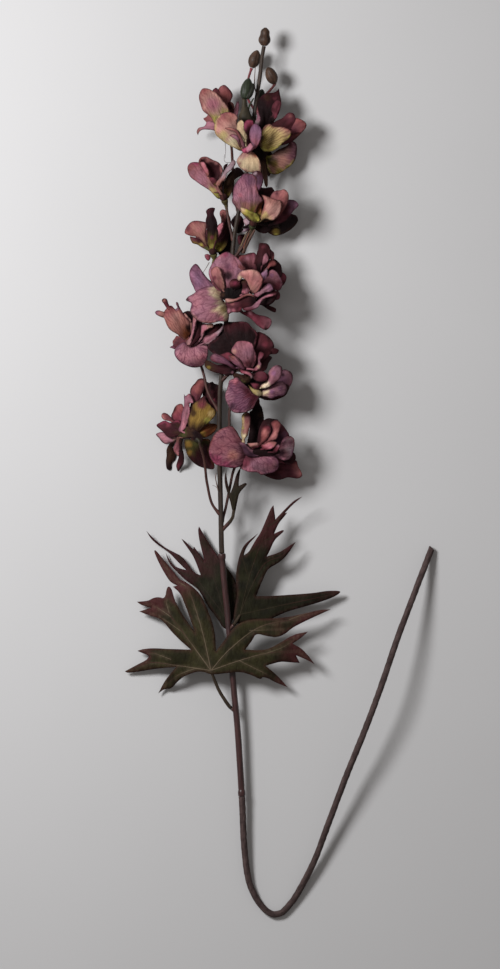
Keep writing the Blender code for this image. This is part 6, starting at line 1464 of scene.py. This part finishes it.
def stalk_patch(name, bloom, seed):
    """The stalk of a bloom, which ends in a lobed receptacle."""
    facing = unit(bloom["facing"])
    back = point(*bloom["seat"]) - facing * RECEPTACLE_LENGTH
    line = curve_through(branch(bloom["stalk"], back), 1.5)
    run = lengths(line)
    radii = stalk_radii(run, 0.82, 0.5, 1.5, 2.2, 3)
    line = np.array(list(line) + [back + facing * RECEPTACLE_LENGTH * share for share, _ in RECEPTACLE])
    radii = list(radii) + [radius for _, radius in RECEPTACLE]

    def relief(angles, runs):
        lobes = smooth(run[-1], run[-1] + RECEPTACLE_LENGTH, runs)
        return 0.16 * lobes * np.cos(5 * angles) + 0.05 * grain(angles * 1.4, runs / 3, seed)

    def paint(angles, runs):
        stalk = moulded(STALK_TINTS, seed)(angles, runs)
        cup = moulded(CUP_TINTS.get(name, STALK_TINTS), seed)(angles, runs)
        return blend(stalk, cup, smooth(run[-1] - 5, run[-1], runs))

    return tube(line, radii, 14, paint, tangents(line, last=facing), relief=relief, seed=seed)


def bud_stalk_patch(name, bud, seed):
    seat = point(*bud["seat"])
    line = curve_through(branch(bud["stalk"], seat), 1.2)
    run = lengths(line)
    if name == "bud_green":
        radii = np.interp(run / run[-1], *GREEN_STALK_SHAPE)
        ridge = 0.3
    else:
        radii = stalk_radii(run, 0.72, 0.4, 1.2, 2, 2)
        ridge = 0.06
    ways = tangents(line, last=point(*bud["tip"]) - seat)
    return tube(line, radii, 18, moulded(BUD_STALK_TINTS[name], seed), ways,
                relief=lambda a, r: ridge * grain(a * 1.9, r / 3, seed), seed=seed)


def nub_patch(leaf, seed):
    line = curve_through(branch(leaf["nub"]), 0.8)
    return tube(line, np.full(len(line), NUB_RADIUS), 14, moulded(STALK_TINTS, seed),
                relief=lambda a, r: 0.05 * grain(a * 2, r, seed), seed=seed)


def thin_tube(points, radius, tint, seed):
    line = curve_through([point(*p) for p in points], 0.8)
    return tube(line, np.linspace(radius, 0.5 * radius, len(line)), 6, linear(tint), seed=seed)


def build_spike_stem(finish):
    line, ways = stem_run(0, station_at(SPIKE_END_Y))
    radii = np.linspace(*SPIKE_RADII, len(line))
    patches = [tube(line, radii, 20, moulded(STEM_TINTS, 1), ways, True, relief=stem_relief, seed=1)]
    for k, (name, bloom) in enumerate(BLOOMS.items()):
        patches.append(stalk_patch(name, bloom, 20 + k))
    for k, (name, bud) in enumerate(BUDS.items()):
        if bud["stalk"]:
            patches.append(bud_stalk_patch(name, bud, 40 + k))
    patches.append(nub_patch(LEAVES["bract"], 50))
    for k, (points, radius, tint) in enumerate(HAIRS_AND_HIGHLIGHTS):
        patches.append(thin_tube(points, radius, tint, 60 + k))
    piece("spray_stem", patches, finish, "stem_plastic", "spike_stem")


def build_leaf_sleeve(finish):
    """The glossy sleeve with a rounded collar at each end."""
    line, ways = stem_run(station_at(SPIKE_END_Y), station_at(SLEEVE_END_Y), SEAT_GAP)
    top = [line[0] + ways[0] * run for run, _ in COLLAR]
    foot = [line[-1] - ways[-1] * run for run, _ in reversed(COLLAR)]
    body = slice(COLLAR_STATIONS, -COLLAR_STATIONS)
    whole = np.array(top + list(line[body]) + foot)
    all_ways = np.array([ways[0]] * len(COLLAR) + list(ways[body]) + [ways[-1]] * len(COLLAR))
    body_radii = list(np.linspace(*SLEEVE_RADII, len(line[body])))
    foot_radii = [r + (FOOT_SWELL if r < SLEEVE_RADII[1] else 0) for _, r in reversed(COLLAR)]
    radii = [r for _, r in COLLAR] + body_radii + foot_radii

    def relief(angles, runs):
        dents = 0.05 * grain(angles, runs / 9, 3) + 0.02 * grain(angles * 4, runs / 1.2, 4)
        return 0.035 * np.cos(2 * angles) + dents

    patches = [tube(whole, radii, 24, moulded(SLEEVE_TINTS, 3), all_ways, True, relief=relief, seed=3)]
    for k, name in enumerate(("leaf_front", "leaf_left", "leaf_right")):
        patches.append(nub_patch(LEAVES[name], 52 + k))
    piece("sleeve", patches, finish, "sleeve_plastic", "leaf_sleeve")


def build_wire(finish):
    """The wire's rough coating, with the faint lap of tape wound on in a long helix."""
    line, ways = stem_run(station_at(SLEEVE_END_Y), len(STEM_CURVE) - 1, SEAT_GAP)
    radii = np.linspace(*COAT_RADII, len(line))
    light, deep = WIRE_TINTS

    def lap_share(angles, runs):
        return np.mod(runs / TAPE_PITCH - angles / (2 * math.pi), 1.0)

    def relief(angles, runs):
        lap = lap_share(angles, runs)
        step = 0.10 * smooth(0.0, 0.85, lap) - 0.10 * smooth(0.85, 1.0, lap)
        return step + 0.07 * grain(angles * 2.2, runs / 1.7, 6) + 0.08 * grain(angles, runs / 8, 7)

    def colour(angles, runs):
        share = 0.45 + 0.4 * grain(angles * 1.2, runs / 4, 9) + 0.25 * grain(angles * 4, runs, 10)
        tint = blend(linear(deep), linear(light), np.clip(share, 0, 1))
        # darker on the step at the end of each lap: painted shade under the tape's edge
        return tint * (1 - 0.35 * smooth(0.86, 0.97, lap_share(angles, runs)))[..., None]

    coat = tube(line, radii, 28, colour, ways, True, CUT_SLANT, relief, 6)
    piece("wire_wrap", [coat], finish, "wire_coating", "wire_coat")


# Blooms and buds

BUD_STATIONS = 26
BUD_LOBE_RADII = (0.5, 0.9, 1.0, 0.9, 0.65, 0.3)  # shares of the widest radius, along a further lobe


def petal_root(bloom, shape):
    """Where a resting petal starts: inside the heart, off its axis towards the petal's tip."""
    facing = unit(bloom["facing"])
    centre = point(*bloom["seat"]) + facing * (PETAL_ROOT + LAYER_STEP * shape["layer"])
    way = point(*shape["tip"]) - centre
    way -= facing * way.dot(facing)
    return centre + unit(way) * ROOT_OFFSET


def build_bloom(name, bloom, seed, finish, slot):
    """A lobed heart with its petals."""
    facing = unit(bloom["facing"])
    seat = point(*bloom["seat"])
    line = np.array([seat + facing * run for run, _ in HEART])
    patches = [tube(line, [radius for _, radius in HEART], 20, moulded(HEART_TINTS, seed),
                    np.array([facing] * len(line)), relief=lambda a, r: 0.18 * np.cos(5 * a), seed=seed)]
    for k, shape in enumerate(bloom["petals"]):
        own = seed * 20 + k
        if "edge" in shape:
            patches.append(cut_patch(shape, own))
            patches += claw_patches(bloom, shape, own)
        else:
            patches.append(petal_patch(petal_root(bloom, shape), shape, own))
    piece(name + "_cloth", patches, finish, slot, name)


def bud_patch(seat, tip, radii, tints, seed):
    """A closed bud of five pressed-together lobes with seams between them."""
    seat, tip = point(*seat), point(*tip)
    way = unit(tip - seat)
    length = np.linalg.norm(tip - seat) - SEAT_GAP
    t = np.sin(np.linspace(0, 0.5 * math.pi, BUD_STATIONS)) ** 1.3
    radii = np.interp(t, np.linspace(0, 1, len(radii)), radii)
    for _ in range(2):
        radii[1:-1] = np.convolve(radii, (0.25, 0.5, 0.25), "valid")
    radii = radii * np.sqrt(np.clip(1 - ((t - 0.86) / 0.16).clip(0) ** 2, 0.03, 1))
    radii[0] *= 0.85
    line = seat + way * (SEAT_GAP + length * t)[:, None]

    def seam(angles, runs, width):
        return np.exp(-((np.sin(2.5 * angles + 0.09 * runs + seed) / width) ** 2))

    def relief(angles, runs):
        grown = smooth(0, 0.25 * length, runs) * smooth(length, 0.75 * length, runs)
        return 0.08 * grain(angles * 1.2, runs / 2.5, seed) - 0.34 * grown * seam(angles, runs, 0.22)

    def colour(angles, runs):
        base = moulded(tints, seed)(angles, runs)
        # darker along the sunken seams: painted shade in their grooves
        return base * (1 - 0.45 * seam(angles, runs, 0.25))[..., None]

    return tube(line, radii, 50, colour, np.array([way] * len(line)), relief=relief, seed=seed)


def build_bud(name, bud, seed, finish, slot):
    patches = [bud_patch(bud["seat"], bud["tip"], bud["radii"], BUD_TINTS[slot], seed)]
    for seat, tip, widest in BUD_LOBES.get(name, []):
        radii = [widest * share for share in BUD_LOBE_RADII]
        patches.append(bud_patch(seat, tip, radii, LOBE_TINTS, seed + 5))
    piece(name + "_shell", patches, finish, slot, name)


# Leaves

LEAF_MARKS = (0.6, 0.0, 0.4)
LOBE_TIP = 1.2  # the widest corner, in radians, that softening keeps sharp
PAINTED_TIP = 1.0  # the widest corner, in radians, that is painted red as a tip
VEIN_WIDTH = 1.1
VEIN_DIP = 0.22
VEIN_RISE = 0.2
RIB_RADIUS, VEIN_RADIUS, VEIN_END_RADIUS = 0.32, 0.22, 0.12


def blade_height(leaf, x, y):
    """The height of a leaf's blade: a smooth surface through the heights listed for it."""
    anchors = np.array(leaf["heights"], float)
    away = (anchors[:, 0] - x[:, None]) ** 2 + (anchors[:, 1] - y[:, None]) ** 2
    weights = 1 / (away + HEIGHT_REACH**2) ** 2
    return (weights * anchors[:, 2]).sum(1) / weights.sum(1)


def softened(edge):
    """An outline with its corners rounded off, but for the sharp tips of its lobes."""
    for _ in range(2):
        sharp = corner_angles(edge) < LOBE_TIP
        found = []
        for k, here in enumerate(edge):
            before, after = edge[k - 1], edge[(k + 1) % len(edge)]
            if sharp[k]:
                found += [here * 0.85 + before * 0.15, here, here * 0.85 + after * 0.15]
            else:
                found += [here * 0.75 + before * 0.25, here * 0.75 + after * 0.25]
        edge = np.array(found)
    return edge


def leaf_surface(leaf, x, y, gap, seed):
    """Height of the blade with its slight waves, its veins sunk in and its edges turned down."""
    z = blade_height(leaf, x, y)
    z = z + 0.45 * grain(x / 7, y / 7, seed) + 0.16 * grain(x / 2.6, y / 2.6, seed + 1)
    z = z - 0.35 * np.exp(-gap / 1.4)
    dip = np.exp(-(line_distance(leaf["veins"], x, y) / VEIN_WIDTH) ** 2)
    return np.maximum(z - VEIN_DIP * dip, LOWEST_LEAF)


def blade_patch(leaf, edge, seed):
    """The blade, olive round its root and maroon towards its tips and along its edge."""
    rough = np.array(leaf["outline"], float)
    root = leaf["veins"][0][0]
    away = np.sqrt(((rough - root) ** 2).sum(1))
    reach = away.max()
    tips = rough[(corner_angles(rough) < PAINTED_TIP) & (away > 0.5 * reach)]

    def height(x, y, gap):
        return leaf_surface(leaf, x, y, gap, seed)

    def paint(x, y, gap):
        share = 0.5 + 0.5 * grain(x / 5, y / 5, seed + 2)
        colour = blend(linear(leaf["deep"]), linear(leaf["light"]), share)
        far = np.sqrt((tips[:, 0] - x[:, None]) ** 2 + (tips[:, 1] - y[:, None]) ** 2).min(1)
        by_tip = 0.6 * smooth(13, 3, far + 3 * grain(x / 3, y / 3, seed + 3))
        out = np.sqrt((x - root[0]) ** 2 + (y - root[1]) ** 2) / reach
        by_root = 0.8 * smooth(0.5, 0.95, out + 0.16 * grain(x / 6, y / 6, seed + 5))
        by_edge = 0.45 * smooth(1.9, 0.4, gap + 0.4 * grain(x / 2, y / 2, seed + 4))
        colour = blend(colour, linear(leaf["rim"]), np.clip(by_tip + by_root + by_edge, 0, 0.95))
        vein = 0.3 * smooth(1.2, 0.2, line_distance(leaf["veins"], x, y))
        colour = blend(colour, linear(leaf["vein_dye"]), vein)
        return colour, np.stack([x, y, np.full(len(x), 5.0 * seed)], -1)

    return sheet_patch(edge, LEAF_SPACING, LEAF_THICK, height, paint, LEAF_MARKS)


def vein_patch(leaf, edge, index, seed):
    """A raised vein whose dye fades into the blade's."""
    plan = [point(x, y, 0) for x, y in leaf["veins"][index]]
    x, y = curve_through(plan, 1.4)[:, :2].T
    z = leaf_surface(leaf, x, y, edge_distance(edge, x, y), seed) + VEIN_RISE
    thick = RIB_RADIUS if index < leaf["ribs"] else VEIN_RADIUS
    span = np.sqrt(np.diff(x) ** 2 + np.diff(y) ** 2).sum()

    def colour(angles, runs):
        fading = smooth(0.3 * span, 0.8 * span, runs)
        return blend(linear(leaf["vein_dye"]), linear(leaf["rim"]), fading)

    return tube(np.stack([x, y, z], -1), np.linspace(thick, VEIN_END_RADIUS, len(x)), 8, colour,
                seed=seed + index)


def build_leaf(name, leaf, seed, finish):
    """A petiole set on its nub, the blade and its veins."""
    stub = branch(leaf["nub"])
    way = unit(stub[-1] - stub[-2])
    start = stub[-1] + way * SEAT_GAP
    line = curve_through([start, start + way] + [point(*p) for p in leaf["petiole"]], 1.0)
    radii = np.linspace(*PETIOLE_RADII, len(line))
    edge = softened(np.array(leaf["outline"], float))
    patches = [
        tube(line, radii, 14, moulded(PETIOLE_TINTS, seed), tangents(line, first=way),
             relief=lambda a, r: 0.05 * grain(a * 1.5, r / 2, seed), seed=seed),
        blade_patch(leaf, edge, seed),
    ]
    patches += [vein_patch(leaf, edge, k, seed) for k in range(len(leaf["veins"]))]
    piece(name + "_cloth", patches, finish, "leaf_fabric", name)


# Materials. Textures run along the cloth or the stem, in millimetres, from the points' own places.

WEAVE_PITCH = 0.42
STRIPE_PITCH = 1.25
STRIPE_TINT = (0.34, 0.24, 0.30)
SPECK_TINT = (0.52, 0.42, 0.48)
THREAD_TINT = (0.74, 0.70, 0.72)
CREASE_PAINTED_SHADE = (0.66, 0.58, 0.60)
FLOW_TINT = (0.6, 0.55, 0.55)
SPOT_TINT = (0.62, 0.6, 0.6)
FIBRE_TINT = (0.55, 0.5, 0.5)
LUMP_TINT = (0.7, 0.62, 0.62)
STEEL_TINTS = ((0.42, 0.42, 0.43), (0.24, 0.23, 0.23))
FLOOR_TINT = (0.485, 0.483, 0.490)


def new_material(name):
    made = bpy.data.materials.new(name)
    made.use_nodes = True
    return made, made.node_tree, made.node_tree.nodes["Principled BSDF"]


def add(tree, kind, inputs=None, **settings):
    """A node with its settings made and its inputs linked or given a value."""
    node = tree.nodes.new(kind)
    for key, value in settings.items():
        setattr(node, key, value)
    for key, value in (inputs or {}).items():
        if isinstance(value, bpy.types.NodeSocket):
            tree.links.new(value, node.inputs[key])
        else:
            node.inputs[key].default_value = value
    return node


def maths(tree, operation, first, second=0.5):
    return add(tree, "ShaderNodeMath", {0: first, 1: second}, operation=operation).outputs[0]


def times(tree, first, second):
    return maths(tree, "MULTIPLY", first, second)


def ripple(tree, value, pitch):
    """A sine wave of this pitch."""
    return maths(tree, "SINE", times(tree, value, 2 * math.pi / pitch))


def attribute(tree, name, output):
    return add(tree, "ShaderNodeAttribute", attribute_name=name).outputs[output]


def object_place(tree):
    return add(tree, "ShaderNodeTexCoord").outputs["Object"]


def scaled(tree, vector, scale):
    return add(tree, "ShaderNodeVectorMath", {0: vector, 1: scale}, operation="MULTIPLY").outputs[0]


def noise(tree, vector, scale, detail=2.0, roughness=0.5):
    node = add(tree, "ShaderNodeTexNoise", {"Vector": vector, "Scale": scale, "Detail": detail,
                                             "Roughness": roughness})
    return node.outputs["Fac"]


def cell_edges(tree, vector):
    """The distance to the nearest edge of a net of cells one unit wide."""
    node = add(tree, "ShaderNodeTexVoronoi", {"Vector": vector, "Scale": 1.0}, feature="DISTANCE_TO_EDGE")
    return node.outputs["Distance"]


def ranged(tree, value, low, high, to_low=0.0, to_high=1.0):
    node = add(tree, "ShaderNodeMapRange", {"Value": value, "From Min": low, "From Max": high,
                                             "To Min": to_low, "To Max": to_high})
    return node.outputs["Result"]


def darker(tree, colour, share, tint):
    """The colour, multiplied by tint as far as share says."""
    node = add(tree, "ShaderNodeMix", {"Factor": share}, data_type="RGBA", blend_type="MULTIPLY")
    tree.links.new(colour, node.inputs["A"])
    node.inputs["B"].default_value = (*tint, 1.0)
    return node.outputs["Result"]


def between(tree, share, first, second):
    """A colour from the first to the second tint."""
    node = add(tree, "ShaderNodeMix", {"Factor": share}, data_type="RGBA")
    node.inputs["A"].default_value = (*first, 1.0)
    node.inputs["B"].default_value = (*second, 1.0)
    return node.outputs["Result"]


def surface(tree, shader, colour, roughness, specular):
    tree.links.new(colour, shader.inputs["Base Color"])
    tree.links.new(roughness, shader.inputs["Roughness"])
    shader.inputs["Specular IOR Level"].default_value = specular


def bumped(tree, shader, height, strength, distance):
    node = add(tree, "ShaderNodeBump", {"Height": height, "Strength": strength,
                                         "Distance": distance * MM})
    tree.links.new(node.outputs["Normal"], shader.inputs["Normal"])


def warped(tree, cloth):
    """The cloth's own places, pushed about so that veins and creases wander."""
    push = add(tree, "ShaderNodeTexNoise", {"Vector": cloth, "Scale": 0.28}).outputs["Color"]
    push = scaled(tree, push, (2.6, 1.5, 0.0))
    return add(tree, "ShaderNodeVectorMath", {0: cloth, 1: push}, operation="ADD").outputs[0]


def fabric_material(name, roughness, sheen, vein_tint):
    """Fine printed cloth: veins, stripes and speckles over the dyes, painted shade in its creases, and a
    close plain weave.
    """
    made, tree, shader = new_material(name)
    cloth = attribute(tree, "cloth", "Vector")
    marks = add(tree, "ShaderNodeSeparateXYZ", {0: attribute(tree, "marks", "Vector")})
    bent = warped(tree, cloth)
    wide_net = ranged(tree, cell_edges(tree, scaled(tree, bent, (0.40, 0.15, 1.0))), 0.02, 0.12, 1.0, 0.0)
    fine_net = ranged(tree, cell_edges(tree, scaled(tree, bent, (0.95, 0.36, 1.0))), 0.02, 0.12, 0.6, 0.0)
    broken = ranged(tree, noise(tree, cloth, 0.35), 0.35, 0.55, 0.35, 1.0)
    net = times(tree, maths(tree, "MAXIMUM", wide_net, fine_net), broken)
    vein = times(tree, net, marks.outputs["X"])
    split = add(tree, "ShaderNodeSeparateXYZ", {0: bent})
    wave = ranged(tree, ripple(tree, split.outputs["X"], STRIPE_PITCH), 0.1, 0.9)
    stripe = times(tree, wave, marks.outputs["Y"])
    dots = ranged(tree, noise(tree, scaled(tree, cloth, (1.0, 0.7, 1.0)), 1.1), 0.56, 0.70)
    speck = times(tree, dots, marks.outputs["Z"])
    thread = noise(tree, scaled(tree, cloth, (5.0, 0.6, 1.0)), 1.0, 3.0, 0.6)
    crease = noise(tree, scaled(tree, bent, (0.62, 0.15, 1.0)), 1.0, 3.0, 0.55)
    colour = attribute(tree, "paint", "Color")
    for share, tint in (
        (vein, vein_tint),
        (stripe, STRIPE_TINT),
        (speck, SPECK_TINT),
        (ranged(tree, thread, 0.42, 0.72, 0.0, 0.5), THREAD_TINT),
        # painted shade, darkest in the low places of the creases
        (ranged(tree, crease, 0.50, 0.30, 0.0, 0.6), CREASE_PAINTED_SHADE),
    ):
        colour = darker(tree, colour, share, tint)
    rough = ranged(tree, noise(tree, cloth, 0.8), 0.3, 0.7, roughness - 0.08, roughness + 0.08)
    surface(tree, shader, colour, rough, 0.1)
    shader.inputs["Sheen Weight"].default_value = sheen
    shader.inputs["Sheen Roughness"].default_value = 0.45
    place = add(tree, "ShaderNodeSeparateXYZ", {0: cloth})
    warp = ripple(tree, place.outputs["X"], WEAVE_PITCH)
    weft = ripple(tree, place.outputs["Y"], WEAVE_PITCH)
    height = maths(tree, "ADD", times(tree, times(tree, warp, weft), 0.35), times(tree, thread, 1.6))
    height = maths(tree, "SUBTRACT", height, times(tree, vein, 0.8))
    height = maths(tree, "ADD", height, times(tree, crease, 9.0))
    bumped(tree, shader, height, 0.55, 0.13)
    return made


def plastic_material(name, roughness, spread, specular, ridge):
    """Moulded plastic with mottled colour, faint flow lines along it and an uneven sheen."""
    made, tree, shader = new_material(name)
    place = attribute(tree, "cloth", "Vector")
    flow = noise(tree, scaled(tree, place, (2.6, 0.35, 1.0)), 1.0, 3.0, 0.6)
    spots = noise(tree, place, 1.6, 3.0, 0.6)
    colour = attribute(tree, "paint", "Color")
    colour = darker(tree, colour, ranged(tree, flow, 0.45, 0.72, 0.0, 0.75), FLOW_TINT)
    colour = darker(tree, colour, ranged(tree, spots, 0.55, 0.75, 0.0, 0.6), SPOT_TINT)
    rough = ranged(tree, spots, 0.3, 0.7, roughness - spread, roughness + spread)
    surface(tree, shader, colour, rough, specular)
    bumped(tree, shader, maths(tree, "ADD", times(tree, flow, ridge), spots), 0.5, 0.10)
    return made


def wrap_material(name):
    """Rough, slightly fibrous paper tape."""
    made, tree, shader = new_material(name)
    place = attribute(tree, "cloth", "Vector")
    fibre = noise(tree, scaled(tree, place, (1.1, 3.4, 1.0)), 1.0, 4.0, 0.65)
    lumps = noise(tree, place, 0.9, 3.0, 0.6)
    colour = attribute(tree, "paint", "Color")
    colour = darker(tree, colour, ranged(tree, fibre, 0.42, 0.70, 0.0, 0.8), FIBRE_TINT)
    colour = darker(tree, colour, ranged(tree, lumps, 0.5, 0.75, 0.0, 0.5), LUMP_TINT)
    surface(tree, shader, colour, ranged(tree, fibre, 0.3, 0.7, 0.72, 0.95), 0.3)
    bumped(tree, shader, maths(tree, "ADD", fibre, lumps), 0.8, 0.18)
    return made


def steel_material(name):
    """Drawn steel wire with fine lines and dull patches."""
    made, tree, shader = new_material(name)
    lines = noise(tree, scaled(tree, object_place(tree), (3000.0, 300.0, 3000.0)), 1.0, 3.0, 0.6)
    colour = between(tree, ranged(tree, lines, 0.35, 0.7), *STEEL_TINTS)
    surface(tree, shader, colour, ranged(tree, lines, 0.3, 0.7, 0.3, 0.5), 0.5)
    shader.inputs["Metallic"].default_value = 1.0
    return made


def floor_material(name):
    made, tree, shader = new_material(name)
    place = object_place(tree)
    paler = [1.04 * c for c in FLOOR_TINT]
    tree.links.new(between(tree, noise(tree, place, 9.0), FLOOR_TINT, paler), shader.inputs["Base Color"])
    shader.inputs["Roughness"].default_value = 0.95
    shader.inputs["Specular IOR Level"].default_value = 0.1
    bumped(tree, shader, noise(tree, place, 900.0), 0.2, 0.1)
    return made


# The stage: a plain pale floor, soft light from the upper left, and a camera straight above.

FLOOR_HALF = 2500.0
VIEW_CENTRE = (-18.6, -5.7)
VIEW_HEIGHT = 3020.0
LENS = 185.8
LIGHT_FROM = (-0.84, 0.543)
LIGHT_ELEVATION = math.radians(49)
LIGHT_DISTANCE = 900.0
LIGHT_SIZE = 290.0
LIGHT_POWER = 9.8
SKY = (1.0, 0.95, 0.91)
SKY_STRENGTH = 0.25


def build_floor():
    mesh = bpy.data.meshes.new("floor")
    h = FLOOR_HALF * MM
    mesh.from_pydata([(-h, -h, 0), (h, -h, 0), (h, h, 0), (-h, h, 0)], [], [(0, 1, 2, 3)])
    mesh.materials.append(floor_material("floor_pale"))
    floor = bpy.data.objects.new("floor", mesh)
    bpy.context.scene.collection.objects.link(floor)


def build_light():
    flat = LIGHT_DISTANCE * math.cos(LIGHT_ELEVATION)
    light = bpy.data.lights.new("key", "AREA")
    light.shape = "DISK"
    light.size = LIGHT_SIZE * MM
    light.energy = LIGHT_POWER
    lamp = bpy.data.objects.new("key", light)
    place = Vector((VIEW_CENTRE[0] + LIGHT_FROM[0] * flat, VIEW_CENTRE[1] + LIGHT_FROM[1] * flat,
                    LIGHT_DISTANCE * math.sin(LIGHT_ELEVATION))) * MM
    lamp.location = place
    target = Vector((*VIEW_CENTRE, 0)) * MM
    lamp.rotation_euler = (target - place).to_track_quat("-Z", "Y").to_euler()
    bpy.context.scene.collection.objects.link(lamp)

    world = bpy.data.worlds.new("studio")
    world.use_nodes = True
    sky = world.node_tree.nodes["Background"]
    sky.inputs["Color"].default_value = (*SKY, 1.0)
    sky.inputs["Strength"].default_value = SKY_STRENGTH
    bpy.context.scene.world = world
    bpy.context.scene.view_settings.view_transform = "Standard"


def build_camera():
    camera = bpy.data.cameras.new("view")
    camera.sensor_width = 36
    camera.lens = LENS
    camera.clip_start = 0.1
    camera.clip_end = 20
    eye = bpy.data.objects.new("view", camera)
    eye.location = (VIEW_CENTRE[0] * MM, VIEW_CENTRE[1] * MM, VIEW_HEIGHT * MM)
    bpy.context.scene.collection.objects.link(eye)
    bpy.context.scene.camera = eye


# The slots of the blooms' cloths, with the tint of their veins.

BLOOM_SLOTS = {
    "bloom_fabric_tan": ((0.52, 0.40, 0.44), ("bloom_01", "bloom_02", "bloom_03")),
    "bloom_fabric_brick": ((0.50, 0.40, 0.34), ("bloom_04", "bloom_06", "bloom_12")),
    "bloom_fabric_mauve": (
        (0.50, 0.36, 0.46), ("bloom_05", "bloom_07", "bloom_09", "bloom_11", "bloom_13"),
    ),
    "bloom_fabric_maroon": ((0.55, 0.40, 0.48), ("bloom_08", "bloom_10")),
}
GREEN_BUDS = ("bud_green", "bud_small")


def main():
    build_floor()
    build_light()
    build_camera()
    build_spike_stem(plastic_material("stem_brown", 0.55, 0.10, 0.2, 0.8))
    build_leaf_sleeve(plastic_material("sleeve_red_brown", 0.36, 0.08, 0.55, 0.4))
    build_wire(wrap_material("wire_tape"))
    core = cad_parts["wire_core"]
    core.data.materials.clear()
    core.data.materials.append(steel_material("core_drawn_steel"))
    bud_finishes = {
        "bud_brown": plastic_material("bud_brown_moulded", 0.52, 0.10, 0.22, 0.9),
        "bud_green": plastic_material("bud_green_moulded", 0.50, 0.10, 0.25, 0.9),
    }
    for k, (name, bud) in enumerate(BUDS.items()):
        slot = "bud_green" if name in GREEN_BUDS else "bud_brown"
        build_bud(name, bud, 70 + k, bud_finishes[slot], slot)
    leaf_finish = fabric_material("leaf_cloth", 0.66, 0.0, (0.6, 0.5, 0.45))
    for k, (name, leaf) in enumerate(LEAVES.items()):
        build_leaf(name, leaf, 80 + k, leaf_finish)
    for slot, (vein_tint, names) in BLOOM_SLOTS.items():
        finish = fabric_material(slot + "_cloth", 0.74, 0.02, vein_tint)
        for name in names:
            build_bloom(name, BLOOMS[name], int(name[-2:]), finish, slot)


main()
